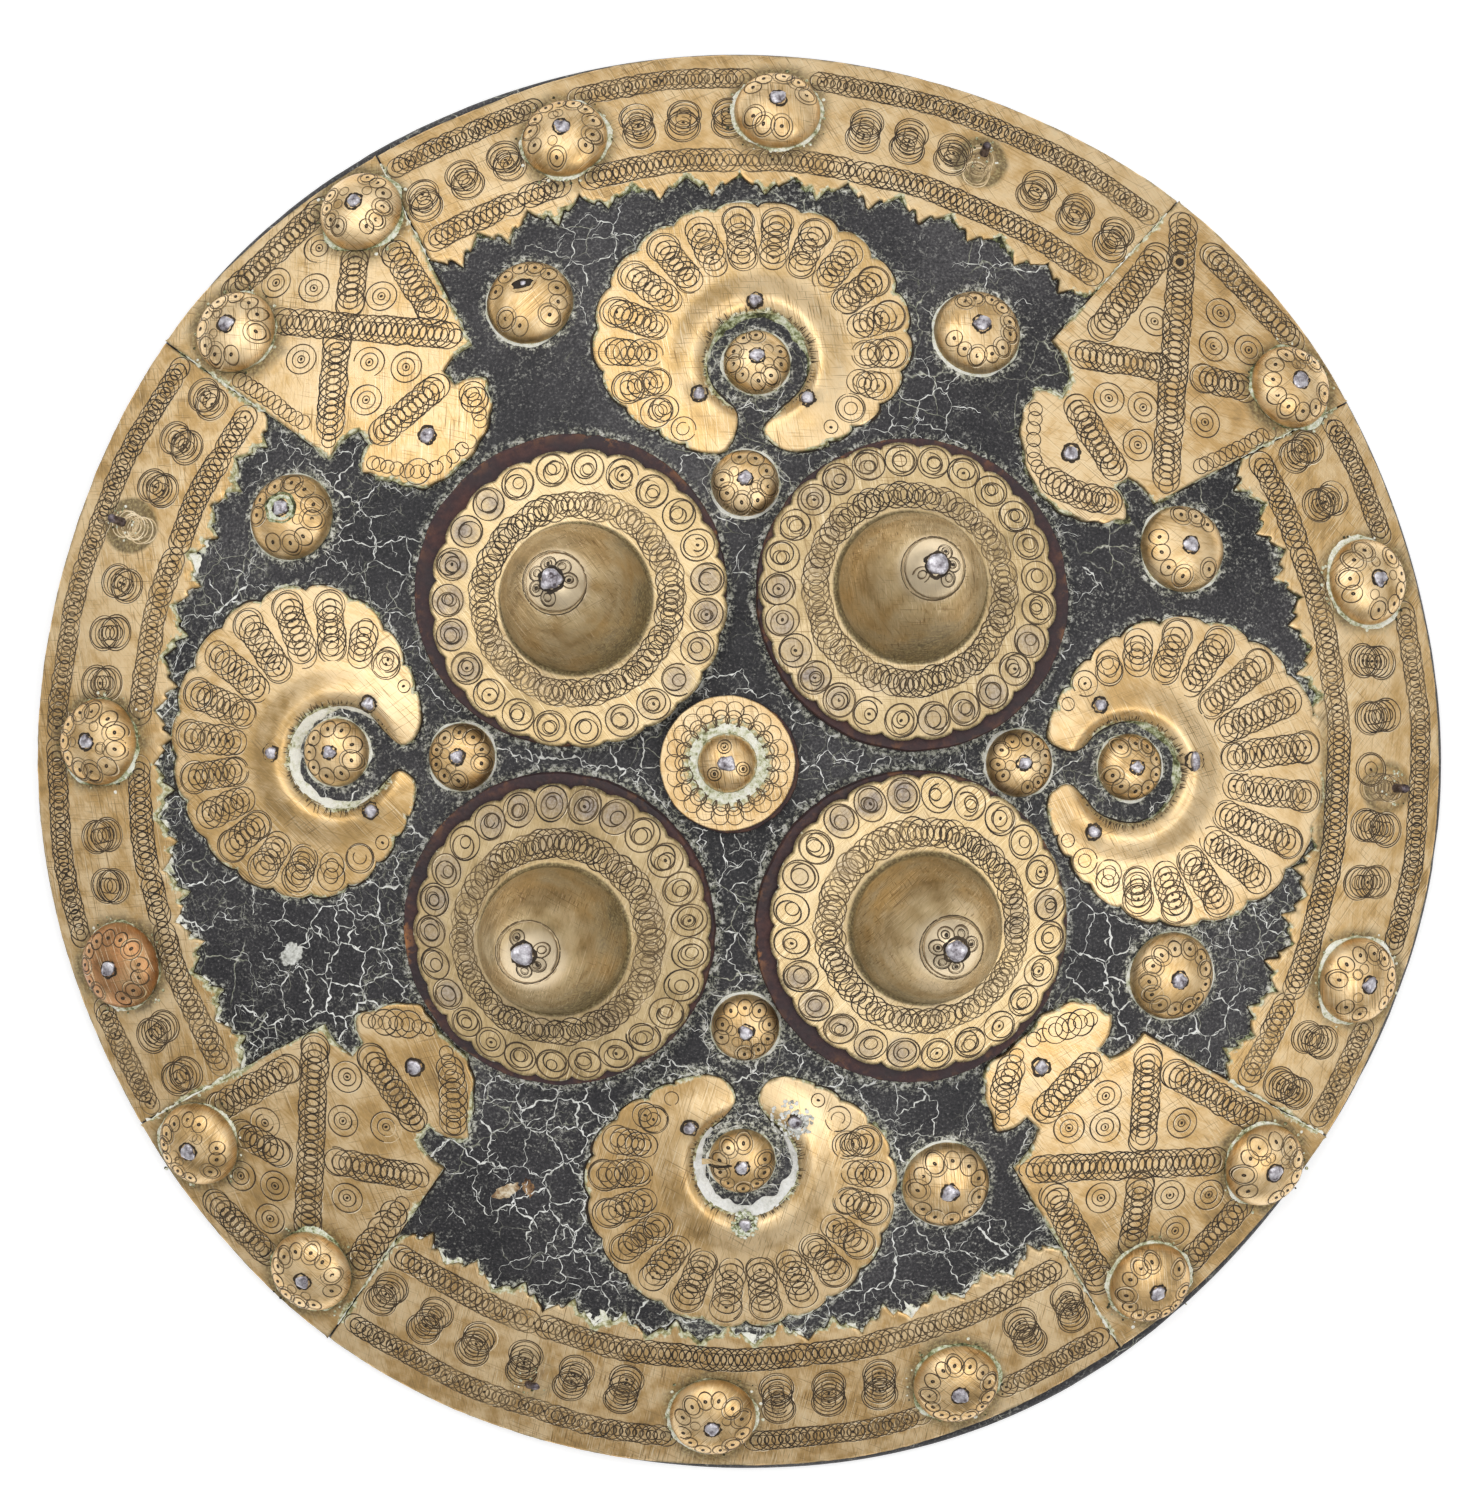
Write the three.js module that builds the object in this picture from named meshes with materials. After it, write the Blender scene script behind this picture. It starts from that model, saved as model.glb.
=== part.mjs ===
// Round buckler: a domed, black lacquered hide body with brass mounts riveted to its face.
// Millimetres, +Z up. The shield lies face up on its rim, so the rim's foot is z = 0,
// +Y is the top of the shield, and the origin is under the middle of its outline.
import * as THREE from 'three';

// ---------------------------------------------------------------- driving dimensions
const DOME_R = 370;              // radius of the outer face of the dome
const RIM_R = 190;               // plan radius where the outer face is RIM_TOP high
const RIM_TOP = 5;               // height of the outer face at the rim
const MID = { x: -0.16, y: 0.89 };            // middle of the dome in plan
const HIDE_T = 5;                // thickness of the hide
const FOOT_IN = 184;             // inner radius of the flat foot under the rim
const HIDE_SEG = 44;
// outline of the hide: mean radius and the small out-of-round of the second, third and fourth order
const OUT = { r: 190.8, c2: -1.13, s2: 0.03, c3: 0.17, s3: 0.90, c4: -0.36 };

const GAP = 0.35;                // clearance under each sheet and between neighbours
const SHEET = 1.0;               // brass sheet of the border arcs and the crescents
const CORNER_TOP = 1.85;         // top face of a corner plate over the hide
const SIDE_GAP = 0.45;           // joint between a corner plate and a border arc

// border arcs
const ARC_ROWS = [172, 160.5];   // inner rows of the arc
const TEETH = 13;                // bites along one arc, with a point between neighbours
const TOOTH = [156.3, 153.3, 150.6, 153.3];   // deepest point of a bite, shoulder, point, shoulder
const TOOTH_AT = [0, 0.3, 0.5, 0.7];          // and where they lie along one bite

// corner plates, in their own frame: s runs out from the middle along the axis, w is to its left
const CORNERS = {
  upper_right: { axis: 41.3, bulge: 0.5, rim: [[185.8, -35.6], [188.3, 34.4]], tip: [[127.5, -21.8], [136.0, 28.5]],
    notch: [[126.8, -12.0], [132.4, 16.9]], neck: [[122.4, -11.6], [127.6, 15.2]],
    tail: [[118.9, -19.7], [112.6, -15.6], [106.9, -6.6], [107.1, 5.2], [114.6, 17.4], [123.0, 21.2]] },
  upper_left: { axis: 132.5, bulge: 0.8, rim: [[181.3, -36.5], [182.0, 36.6]], tip: [[128.8, -22.0], [132.3, 25.9]],
    notch: [[128.7, -11.6], [132.4, 15.2]], neck: [[123.6, -11.6], [127.6, 15.6]],
    tail: [[119.4, -18.7], [111.7, -13.6], [106.8, -2.0], [108.1, 11.1], [115.1, 17.4], [123.2, 21.6]] },
  lower_left: { axis: 222.8, bulge: 1.1, rim: [[181.7, -36.3], [184.1, 38.6]], tip: [[128.4, -23.1], [131.1, 26.5]],
    notch: [[128.5, -11.7], [130.9, 16.3]], neck: [[123.6, -12.4], [126.1, 15.6]],
    tail: [[120.2, -18.9], [108.8, -12.9], [103.7, -3.6], [105.4, 6.7], [110.4, 16.2], [120.6, 24.6]] },
  lower_right: { axis: 315.2, bulge: -1.6, rim: [[183.2, -39.5], [179.6, 38.2]], tip: [[128.0, -25.4], [127.5, 24.2]],
    notch: [[125.4, -13.4], [125.6, 13.0]], neck: [[120.8, -13.5], [121.7, 12.6]],
    tail: [[117.8, -21.5], [107.5, -16.1], [102.3, -8.4], [103.3, 5.2], [108.9, 18.0], [117.6, 21.2]] },
};

// crescents: axis, hole centre, horn points, then the outline as half ellipses about (u, v)
const CRESCENTS = {
  top: { axis: 90, hole: [5.0, 105.4], tips: [[4.8, 87.8], [0.0, 87.8]], mid: [111.5, -3.5], half: 42.3, out: 149.3, inn: 80.0, lobes: 18 },
  left: { axis: 180, hole: [-105.0, 1.5], tips: [[-88.4, 3.3], [-89.8, -0.9]], mid: [113.3, -5.6], half: 41.6, out: 151.1, inn: 83.0, lobes: 18 },
  bottom: { axis: 270, hole: [1.8, -105.9], tips: [[0.3, -88.0], [4.2, -88.0]], mid: [110.2, 0.5], half: 41.4, out: 150.4, inn: 81.0, lobes: 18 },
  right: { axis: 0, hole: [102.6, -2.5], tips: [[86.8, -4.3], [86.6, 2.3]], mid: [116.5, -2.35], half: 41.0, out: 156.6, inn: 79.6, lobes: 18 },
};
const HOLE_R = 13.5;             // round window of a crescent
const SMOOTH_R = 24;             // foot of the raised ring round the window
const RIDGE_H = 2.0;             // height of that ring at the window's edge
const LOBE = 1.5;                // depth of the notches between lobes
const LOBE_SPAN = 140;           // lobes run this far either side of the axis, in degrees

// four tall bosses: flange middle, foot of the bell, point of the bell, leather washer
const BOSSES = {
  upper_left: { flange: [-41.9, 42.9], base: [-42.4, 42.7], tip: [-48.0, 46.7], washer: [-43.9, 45.1], lobes: 23 },
  upper_right: { flange: [44.1, 44.7], base: [44.7, 45.6], tip: [50.6, 50.5], washer: [45.2, 43.8], lobes: 25 },
  lower_left: { flange: [-46.1, -44.4], base: [-48.0, -46.1], tip: [-55.2, -48.7], washer: [-46.9, -43.3], lobes: 25 },
  lower_right: { flange: [46.8, -41.7], base: [48.4, -43.1], tip: [55.5, -47.9], washer: [44.9, -42.7], lobes: 24 },
};
const FLANGE_R = 39.4, FLANGE_NOTCH = 38.2, FLANGE_T = 1.0;
const BELL_R = 19.4, BELL_H = 40, BELL_WALL = 1.2, BELL_POWER = 1.63;
const WASHER_R = 41.3, WASHER_T = 2.6;

// middle boss
const MIDDLE = { at: [-3.0, -0.1], washer: [-2.1, -0.6], washer_r: 17.9, washer_t: 1.8, flange_r: 17.6, dome_r: 7.7, dome_h: 5.2 };

// domed studs: position, radius, height, and what they sit on
const ON_HIDE = GAP, ON_ARC = GAP + SHEET + GAP, ON_CORNER = CORNER_TOP + GAP;
const STUDS = [
  ['stud_small_top', 1.6, 73.2, 8.9, 5.8, ON_HIDE], ['stud_small_left', -72.5, 1.5, 8.9, 5.8, ON_HIDE],
  ['stud_small_bottom', 1.6, -69.2, 8.9, 5.8, ON_HIDE], ['stud_small_right', 73.3, -0.1, 8.9, 5.8, ON_HIDE],
  ['stud_window_top', 4.7, 105.2, 8.8, 6.2, ON_HIDE], ['stud_window_left', -105.8, 2.7, 9.0, 6.2, ON_HIDE],
  ['stud_window_bottom', 0.8, -104.7, 8.8, 6.2, ON_HIDE], ['stud_window_right', 102.7, -1.2, 8.8, 6.2, ON_HIDE],
  ['stud_field_upper_right', 62.9, 113.6, 11.6, 6.8, ON_HIDE], ['stud_field_upper_left', -55.3, 121.6, 11.6, 6.8, ON_HIDE],
  ['stud_field_left', -118.4, 65.0, 11.6, 6.8, ON_HIDE], ['stud_field_lower_right', 54.6, -111.3, 11.7, 6.8, ON_HIDE],
  ['stud_field_right_low', 114.2, -56.3, 11.7, 6.8, ON_HIDE], ['stud_field_right_high', 117.1, 56.5, 11.6, 6.8, ON_HIDE],
  ['stud_rim_top', 10.2, 174.1, 11.6, 7.0, ON_ARC], ['stud_rim_top_left', -46.6, 166.6, 11.6, 7.0, ON_ARC],
  ['stud_rim_left', -171.0, 5.5, 11.6, 7.0, ON_ARC], ['stud_rim_left_low', -165.2, -54.2, 11.6, 7.0, ON_ARC],
  ['stud_rim_bottom', -7.0, -174.9, 11.6, 7.0, ON_ARC], ['stud_rim_bottom_right', 58.1, -166.1, 11.6, 7.0, ON_ARC],
  ['stud_rim_right_low', 165.3, -58.3, 11.6, 7.0, ON_ARC], ['stud_rim_right_high', 167.9, 48.3, 11.6, 7.0, ON_ARC],
  ['stud_corner_top_left', -101.1, 147.3, 11.4, 7.0, ON_CORNER], ['stud_corner_left_top', -134.5, 115.1, 11.4, 7.0, ON_CORNER],
  ['stud_corner_left_bottom', -144.5, -102.0, 11.4, 7.0, ON_CORNER], ['stud_corner_bottom_left', -114.5, -136.1, 11.4, 7.0, ON_CORNER],
  ['stud_corner_bottom_right', 109.9, -139.1, 11.4, 7.0, ON_CORNER], ['stud_corner_right_bottom', 140.5, -107.7, 11.4, 7.0, ON_CORNER],
  ['stud_corner_right_top', 147.5, 100.4, 11.4, 7.0, ON_CORNER],
];
const STUD_SEG = 10, STUD_POWER = 2.2;

// hand straps behind the hide, each fixed at two of the boss rivets
const STRAPS = { left: ['upper_left', 'lower_left'], right: ['upper_right', 'lower_right'] };
const STRAP_W = 22, STRAP_T = 3, STRAP_END = 13, STRAP_TAB = 9, STRAP_DROP = 28, STRAP_STEPS = 11;
const STRAP_TOP = HIDE_T + 1.6;  // depth of the strap's upper face at its tabs
const ROVE_R = 7.5, ROVE_T = 1.6; // iron washers under the clenched rivets

// ---------------------------------------------------------------- materials
const mat = (color, roughness, metalness) => new THREE.MeshStandardMaterial({ color, roughness, metalness });
const brass = mat(0xc9a66b, 0.38, 0.9);
const hide = mat(0x2e2c2d, 0.55, 0.0);
const leather = mat(0x35201f, 0.8, 0.0);
const strapLeather = mat(0x4a3325, 0.75, 0.0);
const iron = mat(0x77727a, 0.5, 0.8);

// ---------------------------------------------------------------- surface of the dome
const CAP_Z = RIM_TOP - Math.sqrt(DOME_R ** 2 - RIM_R ** 2);   // height of the sphere's centre
const rad = (d) => d * Math.PI / 180;

// plan point (x, y), taken on the face lifted by ref, moved along the normal to the face lifted by lift
function onDome(x, y, lift, ref = lift) {
  const q = DOME_R + ref;
  const nx = (x - MID.x) / q, ny = (y - MID.y) / q;
  const nz = Math.sqrt(1 - nx * nx - ny * ny);
  const h = DOME_R + lift;
  return [MID.x + nx * h, MID.y + ny * h, CAP_Z + nz * h];
}
const outline = (t) => OUT.r + OUT.c2 * Math.cos(2 * t) + OUT.s2 * Math.sin(2 * t)
  + OUT.c3 * Math.cos(3 * t) + OUT.s3 * Math.sin(3 * t) + OUT.c4 * Math.cos(4 * t);
// bare hide outside the brass: widest at the lower right, almost none at the left
function bareEdge(t) {
  const near = Math.atan2(Math.sin(t - rad(125)), Math.cos(t - rad(125)));
  return Math.max(0.3, 1.1 + 0.9 * Math.cos(t + rad(25)) + 0.5 * Math.exp(-((near / rad(25)) ** 2)));
}
const polar = (r, t) => [MID.x + r * Math.cos(t), MID.y + r * Math.sin(t)];

// ---------------------------------------------------------------- mesh helpers
function toGeometry(points, faces) {
  const g = new THREE.BufferGeometry();
  g.setAttribute('position', new THREE.Float32BufferAttribute(points.flat(), 3));
  g.setIndex(faces.flat());
  g.computeVertexNormals();
  return g;
}
// closed sheet over plan points: faces are counter-clockwise from above, lo and hi are lifts per point
function sheet(plan, faces, lo, hi, ref) {
  const n = plan.length;
  const pts = plan.map(([x, y], i) => onDome(x, y, hi(i), ref)).concat(plan.map(([x, y], i) => onDome(x, y, lo(i), ref)));
  const out = faces.map((f) => [...f]);
  const edges = new Map();
  for (const [a, b, c] of faces) {
    out.push([c + n, b + n, a + n]);
    for (const [p, q] of [[a, b], [b, c], [c, a]]) edges.set(p + '_' + q, [p, q]);
  }
  for (const [p, q] of edges.values()) {
    if (!edges.has(q + '_' + p)) out.push([p + n, q + n, q], [p + n, q, p]);
  }
  return toGeometry(pts, out);
}
// two rows of equal length as triangles; row a is outside row b when columns run counter-clockwise
function band(a, b) {
  const f = [];
  for (let i = 0; i + 1 < a.length; i++) f.push([a[i], a[i + 1], b[i + 1]], [a[i], b[i + 1], b[i]]);
  return f;
}
// row b has k points for each cell of row a
function fanBand(a, b, k) {
  const f = [];
  const h = Math.floor(k / 2);
  for (let i = 0; i + 1 < a.length; i++) {
    const s = i * k;
    for (let j = 0; j < h; j++) f.push([a[i], b[s + j + 1], b[s + j]]);
    f.push([a[i], a[i + 1], b[s + h]]);
    for (let j = h; j < k; j++) f.push([a[i + 1], b[s + j + 1], b[s + j]]);
  }
  return f;
}
// solid of revolution about a leaning axis: rings of equal count, closed by a point at each end
function rings(rows, top, bottom) {
  const pts = rows.flat();
  const n = rows[0].length;
  const f = [];
  for (let r = 0; r + 1 < rows.length; r++) {
    for (let i = 0; i < n; i++) {
      const a = r * n + i, b = r * n + (i + 1) % n, c = a + n, d = b + n;
      f.push([a, b, d], [a, d, c]);
    }
  }
  pts.push(top, bottom);
  const last = (rows.length - 1) * n;
  for (let i = 0; i < n; i++) {
    f.push([last + i, last + (i + 1) % n, pts.length - 2]);
    f.push([(i + 1) % n, i, pts.length - 1]);
  }
  return toGeometry(pts, f);
}
// frame that lies on the dome at a plan point: origin, two tangents and the normal
function tangentFrame(x, y, lift) {
  const o = new THREE.Vector3(...onDome(x, y, lift));
  const n = o.clone().sub(new THREE.Vector3(MID.x, MID.y, CAP_Z)).normalize();
  const e1 = new THREE.Vector3(1, 0, 0).addScaledVector(n, -n.x).normalize();
  const e2 = n.clone().cross(e1);
  return { o, n, e1, e2 };
}
const ringAt = (centre, e1, e2, r, n, turn = 0) => Array.from({ length: n }, (_, i) => {
  const t = turn + 2 * Math.PI * i / n;
  return centre.clone().addScaledVector(e1, r * Math.cos(t)).addScaledVector(e2, r * Math.sin(t)).toArray();
});

// ---------------------------------------------------------------- hide
function hideBody() {
  const outer = [46, 88, 122, 150, 172];
  const inner = [182, 160, 120, 68];
  const angles = Array.from({ length: HIDE_SEG }, (_, i) => 2 * Math.PI * i / HIDE_SEG);
  const rows = [];
  const sphere = (r, depth) => angles.map((t) => {
    const [x, y] = polar(r, t);
    return [x, y, CAP_Z + Math.sqrt((DOME_R - depth) ** 2 - r * r)];
  });
  for (const r of [...inner].reverse()) rows.push(sphere(r, HIDE_T).reverse());
  rows.push(angles.map((t) => [...polar(FOOT_IN, t), 0]).reverse());
  rows.push(angles.map((t) => [...polar(outline(t), t), 0]).reverse());
  rows.push(angles.map((t) => [...polar(outline(t), t), CAP_Z + Math.sqrt(DOME_R ** 2 - outline(t) ** 2)]).reverse());
  for (const r of [...outer].reverse()) rows.push(sphere(r, 0).reverse());
  // the rows run from the middle of the inner face out to the rim and back over the outer face
  const topPoint = [MID.x, MID.y, CAP_Z + DOME_R];
  const lowPoint = [MID.x, MID.y, CAP_Z + DOME_R - HIDE_T];
  const flipped = rows.map((r) => [...r].reverse());
  return rings(flipped, topPoint, lowPoint);
}

// ---------------------------------------------------------------- corner plates
function cornerPoint(c, [s, w]) {
  const a = rad(c.axis);
  return [MID.x + s * Math.cos(a) - w * Math.sin(a), MID.y + s * Math.sin(a) + w * Math.cos(a)];
}
// where the straight side of a plate crosses a circle of radius r about the middle of the dome
function sideAngle(c, side, r, away = 0) {
  const p = cornerPoint(c, c.rim[side]), q = cornerPoint(c, c.tip[side]);
  const dx = q[0] - p[0], dy = q[1] - p[1], len = Math.hypot(dx, dy);
  const sgn = side === 0 ? -1 : 1;
  const ox = p[0] - MID.x + sgn * away * (dy / len), oy = p[1] - MID.y - sgn * away * (dx / len);
  const b = (ox * dx + oy * dy) / (len * len), k = (ox * ox + oy * oy - r * r) / (len * len);
  const t = -b - Math.sqrt(Math.max(0, b * b - k));
  return Math.atan2(oy + t * dy, ox + t * dx);
}
function spline(pts, u) {
  const i = Math.min(pts.length - 2, Math.floor(u)), t = u - i;
  const p = [pts[Math.max(0, i - 1)], pts[i], pts[i + 1], pts[Math.min(pts.length - 1, i + 2)]];
  return [0, 1].map((k) => 0.5 * (2 * p[1][k] + (p[2][k] - p[0][k]) * t + (2 * p[0][k] - 5 * p[1][k] + 4 * p[2][k] - p[3][k]) * t * t
    + (3 * p[1][k] - p[0][k] - 3 * p[2][k] + p[3][k]) * t ** 3));
}
const mix = (p, q, t) => p.map((v, k) => v + (q[k] - v) * t);
function clearOfWashers([x, y]) {
  for (const b of Object.values(BOSSES)) {
    const dx = x - b.washer[0], dy = y - b.washer[1], d = Math.hypot(dx, dy), need = WASHER_R + 0.9;
    if (d < need) return [b.washer[0] + dx * need / d, b.washer[1] + dy * need / d];
  }
  return [x, y];
}
function cornerPlate(c) {
  const cols = [0, 0.16, 0.33, 0.5, 0.67, 0.84, 1];
  const edge = (t) => outline(t);
  const a0 = sideAngle(c, 0, 189.4), a1raw = sideAngle(c, 1, 189.4);
  const a1 = a1raw < a0 ? a1raw + 2 * Math.PI : a1raw;
  const rimRow = cols.map((t) => {
    const a = a0 + (a1 - a0) * t;
    return polar(Math.max(189.4, edge(a)) + c.bulge * Math.min(1, 4 * t * (1 - t) + 0.25) + (c.bulge < 0 ? -0.2 : 0), a);
  });
  const at = (p) => cornerPoint(c, p);
  const nL = at(c.notch[0]), nR = at(c.notch[1]);
  const tipRow = [at(c.tip[0]), nL, mix(nL, nR, 0.25), mix(nL, nR, 0.5), mix(nL, nR, 0.75), nR, at(c.tip[1])];
  const rows = [rimRow];
  for (const t of [1 / 3, 2 / 3]) rows.push(rimRow.map((p, i) => mix(p, tipRow[i], t)));
  rows.push(tipRow);
  const five = (l, r) => [0, 0.25, 0.5, 0.75, 1].map((t) => mix(l, r, t));
  const tail = [five(at(c.neck[0]), at(c.neck[1])), five(at(c.tail[0]), at(c.tail[5])),
    [1, 1.75, 2.5, 3.25, 4].map((u) => clearOfWashers(at(spline(c.tail, u))))];
  const plan = [...rows.flat(), ...tail.flat()];
  const idx = rows.map((r, j) => r.map((_, i) => j * 7 + i));
  const tIdx = tail.map((r, j) => r.map((_, i) => rows.length * 7 + j * 5 + i));
  const faces = [];
  for (let j = 0; j + 1 < idx.length; j++) faces.push(...band(idx[j], idx[j + 1]));
  faces.push(...band(idx[idx.length - 1].slice(1, 6), tIdx[0]), ...band(tIdx[0], tIdx[1]), ...band(tIdx[1], tIdx[2]));
  return sheet(plan, faces, () => GAP, () => CORNER_TOP, CORNER_TOP);
}

// ---------------------------------------------------------------- crescents
function crescentFrame(c) {
  const a = rad(c.axis), e = [Math.cos(a), Math.sin(a)];
  const toLocal = ([x, y]) => [x * e[0] + y * e[1], -x * e[1] + y * e[0]];
  const toPlan = ([u, v]) => [u * e[0] - v * e[1], u * e[1] + v * e[0]];
  return { toLocal, toPlan };
}
function crescentInside(c, u, v) {
  const half = u > c.mid[0] ? c.out - c.mid[0] : c.mid[0] - c.inn;
  return ((v - c.mid[1]) / c.half) ** 2 + ((u - c.mid[0]) / half) ** 2 <= 1;
}
function rayOut(c, from, phi, far = 90) {
  let lo = 0, hi = far;
  for (let i = 0; i < 40; i++) {
    const m = (lo + hi) / 2;
    if (crescentInside(c, from[0] + m * Math.cos(phi), from[1] + m * Math.sin(phi))) lo = m; else hi = m;
  }
  return lo;
}
// outermost reach of a crescent from the middle of the dome, or 0 where it isn't met
function crescentReach(t) {
  let best = 0;
  for (const c of Object.values(CRESCENTS)) {
    const { toLocal } = crescentFrame(c);
    for (let r = 158; r > 145; r -= 0.1) {
      const [u, v] = toLocal(polar(r, t));
      if (crescentInside(c, u, v)) { best = Math.max(best, r); break; }
    }
  }
  return best;
}
function crescent(c) {
  const { toLocal, toPlan } = crescentFrame(c);
  const hole = toLocal(c.hole);
  const tips = c.tips.map(toLocal).map(([u, v]) => ({ r: Math.hypot(u - hole[0], v - hole[1]), phi: Math.atan2(v - hole[1], u - hole[0]) }));
  const span = rad(LOBE_SPAN);
  const outerRow = [], columns = [];      // columns: angle, radii of the inner rows, share of the ridge's height
  const column = (phi, rin, rout, h) => {
    columns.push({ phi, r: [rin, Math.min(SMOOTH_R, rin + 0.7 * (rout - rin))], h });
    outerRow.push([[phi, rout]]);
  };
  // one horn's columns, from the first lobe down to its point
  const horn = (tip, sgn) => {
    const tipDelta = Math.PI - Math.abs(tip.phi);
    const list = [];
    for (const [delta, rin, cut, h] of [[40, HOLE_R, 1, 0.9], [31, HOLE_R + 0.1, 1, 0.75], [23, HOLE_R + 0.7, 0.985, 0.6], [15.5, HOLE_R + 1.9, 0.93, 0.4]]) {
      const d = Math.max(rad(delta), tipDelta + rad(3));
      const phi = sgn * (Math.PI - d);
      list.push([phi, rin, cut * rayOut(c, hole, phi), h]);
    }
    list.push([sgn * (Math.PI - tipDelta), tip.r - 0.5, tip.r + 1.0, 0.1]);
    return list;
  };
  for (const k of horn(tips[0], -1).reverse()) column(...k);
  const step = 2 * span / c.lobes;
  for (let i = 1; i < c.lobes; i++) {
    const phi = -span + i * step;
    column(phi, HOLE_R, rayOut(c, hole, phi) - LOBE, 1);
  }
  for (const k of horn(tips[1], 1)) column(...k);
  // lobes: two shoulders between neighbouring notches
  const first = 4, lastCol = columns.length - 5;
  const plan = [], height = [];
  const put = (phi, r, h) => { plan.push(toPlan([hole[0] + r * Math.cos(phi), hole[1] + r * Math.sin(phi)])); height.push(h); return plan.length - 1; };
  const rowIdx = [0, 1].map((k) => columns.map((q) => put(q.phi, q.r[k], k === 0 ? RIDGE_H * q.h : 0)));
  const outIdx = columns.map((q, i) => put(q.phi, outerRow[i][0][1], 0));
  const faces = [];
  faces.push(...band(rowIdx[1], rowIdx[0]));
  faces.push(...band(outIdx.slice(0, first + 1), rowIdx[1].slice(0, first + 1)));
  faces.push(...band(outIdx.slice(lastCol), rowIdx[1].slice(lastCol)));
  for (let i = first; i < lastCol; i++) {
    const p = columns[i].phi, q = columns[i + 1].phi;
    const s1 = p + (q - p) * 0.28, s2 = p + (q - p) * 0.72;
    const m1 = put(s1, rayOut(c, hole, s1) - 0.15, 0), m2 = put(s2, rayOut(c, hole, s2) - 0.15, 0);
    const [a, b, o1, o2] = [rowIdx[1][i], rowIdx[1][i + 1], outIdx[i], outIdx[i + 1]];
    faces.push([o1, m1, a], [m1, m2, a], [m2, b, a], [m2, o2, b]);
  }
  return sheet(plan, faces, (i) => GAP + height[i], (i) => GAP + SHEET + height[i], GAP + SHEET);
}

// ---------------------------------------------------------------- border arcs
function borderArc(from, to) {
  const ends = (r) => {
    const a = sideAngle(from, 1, r, SIDE_GAP);
    let b = sideAngle(to, 0, r, SIDE_GAP);
    while (b < a) b += 2 * Math.PI;
    return [a, b];
  };
  const plan = [];
  const put = (r, t) => { plan.push(polar(r, t)); return plan.length - 1; };
  const [o0, o1] = ends(188.6);
  const outer = Array.from({ length: TEETH + 1 }, (_, i) => {
    const t = o0 + (o1 - o0) * i / TEETH;
    return put(outline(t) - bareEdge(t), t);
  });
  const rows = [outer];
  for (const r of ARC_ROWS) {
    const [a, b] = ends(r);
    rows.push(Array.from({ length: TEETH + 1 }, (_, i) => put(r, a + (b - a) * i / TEETH)));
  }
  const inner = [];
  for (let i = 0; i <= 4 * TEETH; i++) {
    const tooth = TOOTH[i % 4];
    const [a, b] = ends(tooth);
    const t = a + (b - a) * (Math.floor(i / 4) + TOOTH_AT[i % 4]) / TEETH;
    const reach = crescentReach(t);
    inner.push(put(reach > tooth - 0.7 ? Math.max(tooth, reach + 0.7) : tooth, t));
  }
  const faces = [];
  for (let j = 0; j + 1 < rows.length; j++) faces.push(...band(rows[j], rows[j + 1]));
  faces.push(...fanBand(rows[rows.length - 1], inner, 4));
  return sheet(plan, faces, () => GAP, () => GAP + SHEET, GAP + SHEET);
}

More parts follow.
